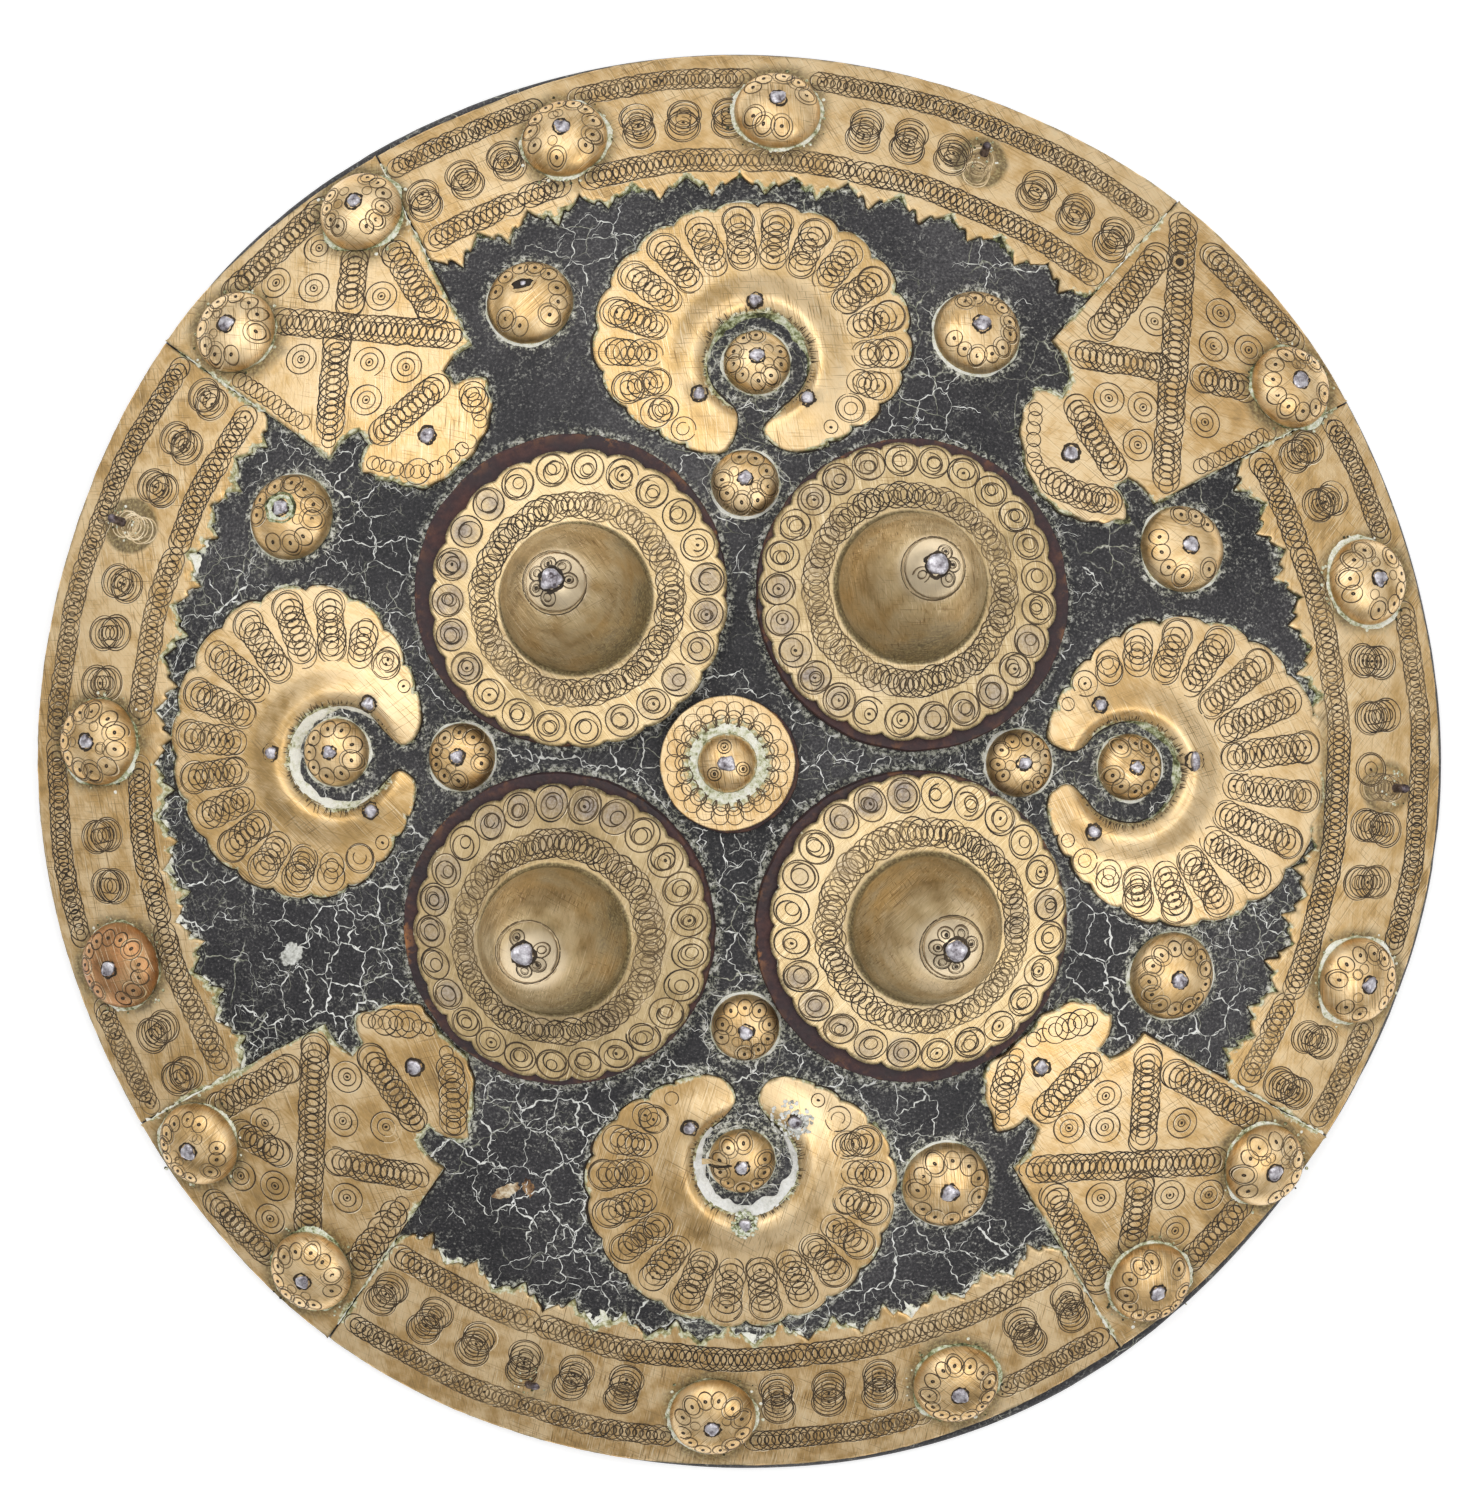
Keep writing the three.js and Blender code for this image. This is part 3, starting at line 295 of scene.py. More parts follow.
# ------------------------------------------------------------------ plane figures
def refine(poly, step):
    """The same outline with its long edges cut up."""
    poly = np.asarray(poly, float)
    out = []
    for a, b in zip(poly, np.roll(poly, -1, 0)):
        k = max(1, int(math.ceil(np.hypot(*(b - a)) / step)))
        out += [a + (b - a) * i / k for i in range(k)]
    return np.array(out)


def area(poly):
    x, y = poly.T
    return 0.5 * float(np.sum(x * np.roll(y, -1) - np.roll(x, -1) * y))


def inside(poly, pts):
    x0, y0 = poly.T
    x1, y1 = np.roll(poly, -1, 0).T
    out = np.zeros(len(pts), bool)
    for s in range(0, len(pts), 2000):
        x, y = pts[s:s + 2000, 0][:, None], pts[s:s + 2000, 1][:, None]
        cross = ((y0 > y) != (y1 > y)) & (x < (x1 - x0) * (y - y0) / (y1 - y0 + 1e-30) + x0)
        out[s:s + 2000] = cross.sum(1) % 2 == 1
    return out


def distance(poly, pts, closed=True):
    a = poly if closed else poly[:-1]
    b = np.roll(poly, -1, 0) if closed else poly[1:]
    d = b - a
    l2 = (d ** 2).sum(1) + 1e-12
    out = np.empty(len(pts))
    for s in range(0, len(pts), 1500):
        p = pts[s:s + 1500]
        ap = p[:, None, :] - a[None]
        t = np.clip((ap * d).sum(2) / l2, 0, 1)
        q = ap - t[..., None] * d
        out[s:s + 1500] = np.sqrt((q ** 2).sum(2).min(1))
    return out


def normals_out(poly, closed=True, smooth=1):
    """Unit normals to the right of the direction of travel: outwards on a counter-clockwise outline."""
    t = (np.roll(poly, -1, 0) - np.roll(poly, 1, 0)) if closed else np.gradient(poly, axis=0)
    for _ in range(smooth):
        t = t + 0.6 * (np.roll(t, 1, 0) + np.roll(t, -1, 0)) if closed else t
    n = np.column_stack([t[:, 1], -t[:, 0]])
    return n / (np.linalg.norm(n, axis=1)[:, None] + 1e-9)


def spline(pts, u):
    pts = np.asarray(pts, float)
    i = int(min(len(pts) - 2, math.floor(u)))
    t = u - i
    p = [pts[max(0, i - 1)], pts[i], pts[i + 1], pts[min(len(pts) - 1, i + 2)]]
    return 0.5 * (2 * p[1] + (p[2] - p[0]) * t + (2 * p[0] - 5 * p[1] + 4 * p[2] - p[3]) * t * t
                  + (3 * p[1] - p[0] - 3 * p[2] + p[3]) * t ** 3)


def sector(P, centre, width):
    """One in the direction asked for, seen from the middle of the shield, and falling off to the sides."""
    a = np.degrees(np.arctan2(P[:, 1] - MID[1], P[:, 0] - MID[0]))
    d = (a - centre + 180) % 360 - 180
    return np.exp(-(d / width) ** 2)


# the marks left by the lost studs lie a little inwards of the shanks, which lean out
POST_MARKS = [(x - 2.6 * x / math.hypot(x, y), y - 2.6 * y / math.hypot(x, y)) for x, y, _ in POSTS]


def soot(P):
    """Darkened brass round the lost studs; painted shade round the feet of the studs that stand on the brass and of the
    crescents' rivets; darker brass round the crescents' windows; and a dark band near the inner edge of the right-hand
    arc.
    """
    out = np.zeros(len(P))
    for (x, y), w in zip(POST_MARKS, (1.2, 1.45, 0.8, 0.5)):
        d = np.hypot(P[:, 0] - x, P[:, 1] - y)
        out = np.maximum(out, w * (0.50 * np.exp(-(d / 6.8) ** 8) + 0.62 * np.exp(-((d - 6.2) / 1.3) ** 2)))
    for s in STUDS:
        if s[5] != ON_HIDE:
            d = np.hypot(P[:, 0] - s[1], P[:, 1] - s[2]) - s[3]
            out = np.maximum(out, 0.85 * np.exp(-(np.clip(d, 0, None) / 2.6) ** 2))
    for c in CRESCENTS.values():
        d = np.hypot(P[:, 0] - c['hole'][0], P[:, 1] - c['hole'][1]) - HOLE_R
        out = np.maximum(out, 0.8 * np.exp(-(np.clip(d, 0, None) / 1.6) ** 2))
    for x, y in CRESCENT_RIVETS:
        out = np.maximum(out, 0.55 * np.exp(-(np.hypot(P[:, 0] - x, P[:, 1] - y) / 3.4) ** 2))
    band = np.exp(-((np.hypot(*(P - MID).T) - 156.8) / 1.9) ** 2) * sector(P, -4, 9)
    return np.maximum(out, 1.0 * band)


def plate(name, poly, top, material, height=None, dents=0.10, seed=0, rough=0.07, grid=2.6, extra=None, stain=None,
          replaces=()):
    """A closed sheet of brass over an outline, on the dome, with a worn edge and a slightly dented face."""
    poly = refine(poly, 0.75)
    if area(poly) < 0:
        poly = poly[::-1]
    nrm = normals_out(poly)
    poly = poly + nrm * (rough * fbm(poly[:, 0] * 0.9, poly[:, 1] * 0.9, seed + 3))[:, None]
    pts = [poly]
    for d in (0.28, 0.9, 2.0):
        cand = (poly - nrm * d)[:: (1 if d < 0.5 else 2)]
        cand = cand[inside(poly, cand)]
        cand = cand[distance(poly, cand) > 0.82 * d]
        pts.append(cand)
    lo, hi = poly.min(0), poly.max(0)
    gx, gy = np.meshgrid(np.arange(lo[0], hi[0], grid), np.arange(lo[1], hi[1], grid * 0.87))
    gx[1::2] += grid / 2
    g = np.column_stack([gx.ravel(), gy.ravel()])
    g = g[inside(poly, g)]
    g = g[distance(poly, g) > 3.0]
    if extra is not None:
        e = extra[inside(poly, extra)]
        e = e[distance(poly, e) > 0.4]
        far = np.array([np.hypot(*(e - q).T).min() > 0.9 for q in g]) if len(g) else np.zeros(0, bool)
        pts += [g[far], e]
    else:
        pts.append(g)
    allp = np.vstack(pts)
    nb = len(poly)
    res = geometry.delaunay_2d_cdt([tuple(p) for p in allp], [(i, (i + 1) % nb) for i in range(nb)], [], 0, 1e-5)
    P = np.array([tuple(v) for v in res[0]])
    T = np.array([f for f in res[2]], np.int64)
    mid = P[T].mean(1)
    T = T[inside(poly, mid)]
    used = np.unique(T)
    remap = -np.ones(len(P), int)
    remap[used] = np.arange(len(used))
    P, T = P[used], remap[T]
    d = distance(poly, P)
    d[d < 1e-4] = 0
    h = top + (height(P) if height is not None else 0.0)
    face = h + dents * fbm(P[:, 0] / 21.0, P[:, 1] / 21.0, seed) * np.clip(d / 5, 0, 1)
    up = face - 0.2 * np.clip(1 - d / 0.3, 0, 1) ** 2
    n = len(P)
    V = np.vstack([on_dome(P, up, top), on_dome(P, up - (top - GAP) + 0.2 * (d < 0.28), top)])
    e = np.vstack([T[:, [0, 1]], T[:, [1, 2]], T[:, [2, 0]]])
    key = {(a, b) for a, b in e.tolist()}
    rim = np.array([(a, b) for a, b in e.tolist() if (b, a) not in key], np.int64)
    skirt = np.column_stack([rim[:, 1], rim[:, 0], rim[:, 0] + n, rim[:, 1] + n])
    rr = np.hypot(*(P - MID).T)
    st = np.exp(-d / 0.9) * (stain(P) if stain is not None else 1.0) * np.clip((187.0 - rr) / 2.0, 0.12, 1)
    st = st * np.clip(0.50 + 1.3 * fbm(P[:, 0] / 7, P[:, 1] / 7, seed + 40), 0.05, 1.15)
    # painted shade: a dark line along the sheet's own edge, joined to the other darkening
    so = np.maximum(soot(P), 0.85 * np.exp(-(d / 0.42) ** 2) * np.clip(0.75 + 0.8 * noise(P[:, 0] / 3, P[:, 1] / 3, seed + 41), 0.2, 1))
    make(name, V, [T, T[:, ::-1] + n, skirt], material, 'brass', replaces, closed=False,
         attrs={'stain': np.concatenate([st, st]), 'soot': np.concatenate([so, so])})
    return dict(poly=poly, face=lambda q: top + (height(q) if height is not None else 0.0)
                + dents * fbm(q[:, 0] / 21.0, q[:, 1] / 21.0, seed) * np.clip(distance(poly, q) / 5, 0, 1))


# ------------------------------------------------------------------ materials
class Nodes:
    def __init__(self, name):
        self.mat = bpy.data.materials.new(name)
        self.mat.use_nodes = True
        self.tree = self.mat.node_tree
        self.bsdf = self.tree.nodes["Principled BSDF"]
        tc = self.tree.nodes.new('ShaderNodeTexCoord')
        self.obj = tc.outputs['Object']

    def put(self, socket, value):
        if isinstance(value, bpy.types.NodeSocket):
            self.tree.links.new(value, socket)
        else:
            socket.default_value = value

    def mapping(self, vec=None, loc=(0, 0, 0), rot=(0, 0, 0), scale=(1, 1, 1)):
        n = self.tree.nodes.new('ShaderNodeMapping')
        self.put(n.inputs['Vector'], vec or self.obj)
        n.inputs['Location'].default_value = loc
        n.inputs['Rotation'].default_value = rot
        n.inputs['Scale'].default_value = scale
        return n.outputs[0]

    def noise(self, scale, detail=4, rough=0.55, vec=None, distortion=0.0):
        n = self.tree.nodes.new('ShaderNodeTexNoise')
        self.put(n.inputs['Vector'], vec or self.obj)
        n.inputs['Scale'].default_value = scale
        n.inputs['Detail'].default_value = detail
        n.inputs['Roughness'].default_value = rough
        n.inputs['Distortion'].default_value = distortion
        return n.outputs[0]

    def warp(self, amount, scale, vec=None):
        """Coordinates pushed about by a coloured noise."""
        n = self.tree.nodes.new('ShaderNodeTexNoise')
        self.put(n.inputs['Vector'], vec or self.obj)
        n.inputs['Scale'].default_value = scale
        n.inputs['Detail'].default_value = 3
        s = self.tree.nodes.new('ShaderNodeVectorMath')
        s.operation = 'SCALE'
        self.put(s.inputs[0], n.outputs[1])
        s.inputs['Scale'].default_value = amount
        a = self.tree.nodes.new('ShaderNodeVectorMath')
        a.operation = 'ADD'
        self.put(a.inputs[0], vec or self.obj)
        self.put(a.inputs[1], s.outputs[0])
        return a.outputs[0]

    def cells(self, scale, vec=None, feature='DISTANCE_TO_EDGE'):
        n = self.tree.nodes.new('ShaderNodeTexVoronoi')
        n.feature = feature
        self.put(n.inputs['Vector'], vec or self.obj)
        n.inputs['Scale'].default_value = scale
        return n.outputs['Distance']

    def ramp(self, fac, stops, smooth=False):
        n = self.tree.nodes.new('ShaderNodeValToRGB')
        self.put(n.inputs[0], fac)
        cr = n.color_ramp
        cr.interpolation = 'EASE' if smooth else 'LINEAR'
        while len(cr.elements) < len(stops):
            cr.elements.new(0.5)
        for e, (p, c) in zip(cr.elements, stops):
            e.position = p
            e.color = (c, c, c, 1) if isinstance(c, (int, float)) else (*c, 1)
        return n.outputs[0]

    def math(self, op, a, b=0.0, clamp=False):
        n = self.tree.nodes.new('ShaderNodeMath')
        n.operation = op
        n.use_clamp = clamp
        self.put(n.inputs[0], a)
        self.put(n.inputs[1], b)
        return n.outputs[0]

    def mix(self, fac, a, b, blend='MIX'):
        n = self.tree.nodes.new('ShaderNodeMix')
        n.data_type = 'RGBA'
        n.blend_type = blend
        self.put(n.inputs[0], fac)
        for s, v in ((n.inputs[6], a), (n.inputs[7], b)):
            self.put(s, v if isinstance(v, bpy.types.NodeSocket) else (*v, 1))
        return n.outputs[2]

    def attr(self, name):
        n = self.tree.nodes.new('ShaderNodeAttribute')
        n.attribute_name = name
        return n.outputs['Fac']

    def bump(self, height, strength=0.3, dist=0.0004):
        n = self.tree.nodes.new('ShaderNodeBump')
        n.inputs['Strength'].default_value = strength
        n.inputs['Distance'].default_value = dist
        self.put(n.inputs['Height'], height)
        self.put(self.bsdf.inputs['Normal'], n.outputs[0])

    def finish(self, color=None, rough=None, metal=None, spec=None):
        for k, v in (('Base Color', color), ('Roughness', rough), ('Metallic', metal), ('Specular IOR Level', spec)):
            if v is not None:
                self.put(self.bsdf.inputs[k], v)
        return self.mat


def brass(name, seed, dark=(0.45, 0.295, 0.13), mid=(0.60, 0.40, 0.175), light=(0.86, 0.64, 0.36), turn=0.6,
          stained=1.0, blotch=0.8):
    m = Nodes(name)
    p = m.mapping(loc=(seed * 0.37, seed * 0.21, seed * 0.13))
    big = m.noise(18, 2, vec=p)
    med = m.noise(140, 4, 0.6, vec=p)
    fine = m.noise(1300, 2, 0.6, vec=p)
    q = m.warp(0.0022, 26, vec=p)
    s1 = m.noise(260, 2, 0.6, vec=m.mapping(m.mapping(q, rot=(0, 0, turn)), scale=(0.22, 8.0, 1)))
    s2 = m.noise(300, 1, 0.5, vec=m.mapping(m.mapping(q, rot=(0, 0, turn + 0.5)), scale=(0.20, 12.0, 1)))
    s3 = m.noise(280, 1, 0.5, vec=m.mapping(m.mapping(q, rot=(0, 0, turn - 0.9)), scale=(0.28, 12.0, 1)))
    f = m.math('ADD', m.math('MULTIPLY', big, 0.42 * blotch),
               m.math('ADD', m.math('MULTIPLY', med, 0.86 - 0.42 * blotch), m.math('MULTIPLY', s1, 0.14)))
    col = m.ramp(f, [(0.34, dark), (0.45, tuple(1.16 * v for v in mid)), (0.55, light), (0.68, (0.93, 0.74, 0.47))])
    where = m.ramp(m.noise(45, 3, vec=p), [(0.40, 0.25), (0.58, 1.0)])
    col = m.mix(m.math('MULTIPLY', m.ramp(s2, [(0.62, 0.0), (0.68, 0.75)]), where), col, (0.95, 0.79, 0.53))
    col = m.mix(m.math('MULTIPLY', m.ramp(s2, [(0.32, 0.80), (0.38, 0.0)]), where), col, (0.27, 0.165, 0.07))
    col = m.mix(m.math('MULTIPLY', m.ramp(s3, [(0.30, 0.70), (0.36, 0.0)]), where), col, (0.30, 0.19, 0.085))
    col = m.mix(m.ramp(s1, [(0.28, 0.4), (0.35, 0.0)]), col, (0.32, 0.20, 0.09))
    # painted highlight: pale brass at the tips of the tall bosses
    col = m.mix(m.attr('painted_tip_highlight'), col, (0.97, 0.81, 0.57))
    # darkened, dulled brass: real marks round the lost studs, and painted shade at the feet of studs and rivets, along
    # edges and on the bosses' lower walls
    so = m.ramp(m.math('ADD', m.attr('soot'), m.math('SUBTRACT', med, 0.55)), [(0.10, 0.0), (0.75, 0.82)])
    col = m.mix(so, col, m.ramp(fine, [(0.36, (0.055, 0.040, 0.014)), (0.52, (0.16, 0.115, 0.045)), (0.66, (0.33, 0.28, 0.13))]))
    pa = m.math('MULTIPLY', m.attr('patina'), m.ramp(med, [(0.36, 0.25), (0.60, 0.95)]), clamp=True)
    col = m.mix(pa, col, m.ramp(fine, [(0.36, (0.16, 0.125, 0.115)), (0.62, (0.42, 0.375, 0.36))]))
    grain = m.noise(650, 4, 0.65, vec=p)
    st = m.math('ADD', m.math('MULTIPLY', m.attr('stain'), 1.15 * stained), m.math('MULTIPLY', m.math('SUBTRACT', grain, 0.62), 1.6))
    st = m.ramp(st, [(0.20, 0.0), (0.45, 1.0)])
    scum = m.ramp(grain, [(0.34, (0.10, 0.085, 0.028)), (0.46, (0.30, 0.28, 0.12)),
                          (0.56, (0.58, 0.57, 0.38)), (0.68, (0.78, 0.76, 0.60))])
    col = m.mix(st, col, scum)
    dull = m.math('MAXIMUM', st, m.math('MAXIMUM', m.math('MULTIPLY', so, 0.7), m.math('MULTIPLY', pa, 0.6)), clamp=True)
    rough = m.math('ADD', m.ramp(med, [(0.3, 0.33), (0.7, 0.48)]), m.math('MULTIPLY', dull, 0.4), clamp=True)
    metal = m.ramp(dull, [(0.0, 0.90), (1.0, 0.10)])
    h = m.math('ADD', m.math('MULTIPLY', m.math('ADD', s1, m.math('ADD', s2, s3)), 0.16), m.math('ADD', m.math('MULTIPLY', med, 0.55), m.math('MULTIPLY', fine, 0.25)))
    m.bump(h, 0.28, 0.0004)
    return m.finish(col, rough, metal)


def engraved(name, seed):
    m = Nodes(name)
    p = m.mapping(loc=(seed * 0.31, seed * 0.17, 0))
    t = m.math('ADD', m.math('MULTIPLY', m.attr('tone'), 0.5), m.math('MULTIPLY', m.math('SUBTRACT', m.noise(300, 3, vec=p), 0.5), 0.5), clamp=True)
    # the bright end of this ramp colours the painted highlight rings and the cream circles by the lost studs
    col = m.ramp(t, [(0.0, (0.024, 0.015, 0.007)), (0.25, (0.088, 0.055, 0.025)), (0.5, (0.25, 0.175, 0.085)),
                     (0.72, (0.70, 0.53, 0.30)), (1.0, (1.0, 0.86, 0.62))])
    m.bump(m.noise(1500, 2, vec=p), 0.2, 0.0001)
    return m.finish(col, 0.62, 0.25)


def crust(name, seed, ramp):
    m = Nodes(name)
    p = m.mapping(loc=(seed * 0.31, seed * 0.17, 0))
    n = m.math('ADD', m.math('MULTIPLY', m.noise(240, 3, 0.6, vec=p), 0.45), m.math('MULTIPLY', m.noise(1100, 4, 0.65, vec=p), 0.55))
    f = m.math('ADD', n, m.math('MULTIPLY', m.math('SUBTRACT', m.attr('pale'), 0.5), 0.30))
    col = m.ramp(f, ramp)
    m.bump(m.noise(700, 5, 0.7, vec=p), 0.8, 0.0006)
    return m.finish(col, 0.9, 0.0)


CREAM = [(0.36, (0.035, 0.034, 0.016)), (0.43, (0.17, 0.17, 0.075)), (0.49, (0.46, 0.47, 0.29)), (0.55, (0.70, 0.70, 0.54)),
         (0.66, (0.90, 0.89, 0.80))]


def hide_material():
    m = Nodes("lacquered_hide")
    big = m.noise(22, 3)
    med = m.noise(150, 4, 0.65)
    fine = m.noise(1500, 3, 0.65)
    spot = m.noise(620, 4, 0.7)
    col = m.ramp(m.math('ADD', m.math('MULTIPLY', big, 0.4), m.math('MULTIPLY', fine, 0.6)),
                 [(0.38, (0.014, 0.014, 0.016)), (0.52, (0.038, 0.036, 0.039)), (0.64, (0.088, 0.084, 0.087))])
    col = m.mix(m.ramp(fine, [(0.60, 0.0), (0.69, 0.45)]), col, (0.24, 0.235, 0.225))
    c1 = m.cells(88, vec=m.warp(0.007, 110))
    c2 = m.cells(230, vec=m.warp(0.004, 260))
    k1 = m.math('MULTIPLY', m.ramp(c1, [(0.0, 1.0), (0.014, 0.0)]), m.ramp(m.noise(34, 3), [(0.50, 0.0), (0.58, 1.0)]))
    k2 = m.math('MULTIPLY', m.ramp(c2, [(0.0, 0.75), (0.024, 0.0)]), m.ramp(m.noise(48, 3), [(0.54, 0.0), (0.64, 0.9)]))
    crack = m.math('MAXIMUM', k1, k2)
    speck = m.math('ADD', m.math('MULTIPLY', spot, 0.5), m.math('MULTIPLY', fine, 0.5))
    dust = m.math('MULTIPLY', m.ramp(speck, [(0.53, 0.0), (0.63, 0.55)]), m.ramp(m.noise(60, 4, 0.6), [(0.50, 0.06), (0.64, 0.8)]))
    near = m.math('MULTIPLY', m.attr('near'), m.ramp(speck, [(0.45, 0.12), (0.58, 1.0)]))
    near = m.ramp(near, [(0.18, 0.0), (0.62, 0.85)])
    dirt = m.math('MAXIMUM', m.math('MAXIMUM', crack, dust), near, clamp=True)
    pale = m.ramp(spot, [(0.40, (0.20, 0.21, 0.15)), (0.52, (0.50, 0.50, 0.40)), (0.64, (0.82, 0.81, 0.74))])
    col = m.mix(dirt, col, pale)
    rough = m.math('ADD', m.ramp(med, [(0.3, 0.42), (0.7, 0.62)]), m.math('MULTIPLY', dirt, 0.35), clamp=True)
    h = m.math('SUBTRACT', m.math('ADD', m.math('MULTIPLY', med, 0.6), m.math('MULTIPLY', fine, 0.35)),
               m.math('MULTIPLY', crack, 0.4))
    m.bump(h, 0.5, 0.0006)
    return m.finish(col, rough, 0.0, 0.3)


def hide_back_material():
    m = Nodes("hide_underside")
    big = m.noise(14, 4)
    med = m.noise(90, 6, 0.62)
    pores = m.cells(620, vec=m.warp(0.002, 200), feature='F1')
    col = m.ramp(m.math('ADD', m.math('MULTIPLY', big, 0.5), m.math('MULTIPLY', med, 0.5)),
                 [(0.34, (0.030, 0.021, 0.015)), (0.50, (0.070, 0.046, 0.030)), (0.66, (0.14, 0.095, 0.058))])
    wear = m.ramp(m.noise(260, 5, 0.7), [(0.60, 0.0), (0.72, 0.5)])
    col = m.mix(wear, col, (0.26, 0.20, 0.13))
    m.bump(m.math('ADD', m.math('MULTIPLY', pores, 0.5), med), 0.5, 0.0006)
    return m.finish(col, m.ramp(med, [(0.3, 0.55), (0.7, 0.8)]), 0.0)


def leather(name, seed, ramp, fray=(0.36, 0.15, 0.05)):
    m = Nodes(name)
    p = m.mapping(loc=(seed * 0.31, seed * 0.17, 0))
    n = m.noise(90, 6, 0.62, vec=p)
    f = m.noise(700, 4, 0.6, vec=p)
    col = m.ramp(m.math('ADD', m.math('MULTIPLY', n, 0.7), m.math('MULTIPLY', f, 0.3)), ramp)
    fr = m.math('MULTIPLY', m.attr('fray'), m.ramp(m.noise(230, 4, 0.7, vec=p), [(0.50, 0.0), (0.60, 1.0)]), clamp=True)
    col = m.mix(fr, col, fray)
    m.bump(m.math('ADD', m.math('MULTIPLY', m.cells(900, vec=p, feature='F1'), 0.6), n), 0.5, 0.0005)
    return m.finish(col, m.ramp(n, [(0.3, 0.55), (0.7, 0.85)]), 0.0)


def steel(name, seed, ramp, metal=0.75, lo=0.3, hi=0.55):
    m = Nodes(name)
    p = m.mapping(loc=(seed * 0.31, seed * 0.17, 0))
    n = m.noise(520, 5, 0.65, vec=p)
    col = m.ramp(n, ramp)
    m.bump(m.noise(600, 3, 0.6, vec=p), 0.6, 0.0005)
    return m.finish(col, m.ramp(n, [(0.3, hi), (0.7, lo)]), metal)


M_HIDE, M_BACK = hide_material(), hide_back_material()
M_LINE = engraved("engraved_line", 1)
M_CRUST = crust("verdigris_crust", 2, CREAM)
M_GREEN = crust("verdigris_green", 5, [(0.38, (0.030, 0.032, 0.013)), (0.46, (0.13, 0.14, 0.055)), (0.52, (0.33, 0.36, 0.19)),
                                       (0.58, (0.58, 0.61, 0.43)), (0.68, (0.82, 0.83, 0.72))])
M_TORN = crust("torn_hide", 7, [(0.34, (0.10, 0.055, 0.025)), (0.44, (0.30, 0.18, 0.09)), (0.54, (0.52, 0.40, 0.25)),
                                (0.66, (0.80, 0.71, 0.55))])
M_SCAR = crust("torn_hide_scar", 12, [(0.34, (0.04, 0.020, 0.011)), (0.46, (0.13, 0.065, 0.030)), (0.56, (0.30, 0.17, 0.08)),
                                      (0.68, (0.52, 0.38, 0.24))])
M_CHALK = crust("white_deposit", 9, [(0.30, (0.10, 0.10, 0.09)), (0.44, (0.42, 0.42, 0.38)), (0.56, (0.72, 0.72, 0.67)),
                                     (0.72, (0.90, 0.90, 0.87))])
M_WASHER = leather("washer_leather", 3, [(0.34, (0.016, 0.009, 0.011)), (0.52, (0.042, 0.020, 0.022)), (0.68, (0.095, 0.042, 0.036))])
M_STRAP = leather("strap_leather", 6, [(0.34, (0.045, 0.022, 0.010)), (0.52, (0.105, 0.055, 0.026)), (0.68, (0.20, 0.115, 0.058))],
                  fray=(0.34, 0.22, 0.12))
M_STEEL = steel("rivet_steel", 4, [(0.32, (0.07, 0.055, 0.060)), (0.43, (0.30, 0.275, 0.30)), (0.54, (0.56, 0.535, 0.57)),
                                   (0.68, (0.82, 0.80, 0.83))])
M_POST = steel("post_steel", 8, [(0.32, (0.03, 0.022, 0.024)), (0.48, (0.11, 0.085, 0.09)), (0.62, (0.25, 0.21, 0.23)),
                                 (0.76, (0.48, 0.44, 0.48))])
M_IRON = steel("rove_iron", 11, [(0.32, (0.05, 0.035, 0.028)), (0.48, (0.12, 0.085, 0.065)), (0.62, (0.22, 0.18, 0.16)),
                                 (0.76, (0.34, 0.30, 0.28))], 0.6, 0.5, 0.75)


# ------------------------------------------------------------------ small makers
def lump(bag, o, n, e1, e2, r, h, seed, k=18, squash=1.0, lean=(0, 0), wobble=0.12, **attrs):
    """A hammered rivet end: an uneven low dome on the surface."""
    t = np.linspace(0, 2 * math.pi, k, endpoint=False)
    rr = r * (1 + wobble * noise(np.cos(t) * 1.6 + seed, np.sin(t) * 1.6, seed) + 0.05 * np.sin(3 * t + seed))
    rows = []
    for f, z in ((1.0, -0.35), (1.0, 0.25 * h), (0.93, 0.62 * h), (0.74, 0.86 * h), (0.40, 0.97 * h)):
        q = ring(o, e1, e2 * squash, rr * f, t) + n * z + (e1 * lean[0] + e2 * lean[1]) * max(0, z)
        flat = 0.12 * h * noise(np.cos(t) * 2.1 * f + seed * 3.1, np.sin(t) * 2.1 * f, seed + 5)
        rows.append(q + n * flat[:, None] * (z > 0.5 * h))
    V, F = lathe(rows, o + n * h + (e1 * lean[0] + e2 * lean[1]) * h, o - n * 0.35)
    bag.add(V, F, **{a: np.full(len(V), v) for a, v in attrs.items()})


def ribbon(path, width, up, closed, lift=None):
    """A flat strip along a path of points, lying across the direction 'up'."""
    if closed:
        t = np.roll(path, -1, 0) - np.roll(path, 1, 0)
    else:
        t = np.gradient(path, axis=0)
    side = np.cross(up, t)
    side /= np.linalg.norm(side, axis=1)[:, None] + 1e-9
    w = np.asarray(width, float).reshape(-1, 1) / 2
    V = np.vstack([path + side * w, path - side * w])
    k = len(path)
    i = np.arange(k if closed else k - 1)
    j = (i + 1) % k
    return V, [np.column_stack([i, i + k, j + k, j])]


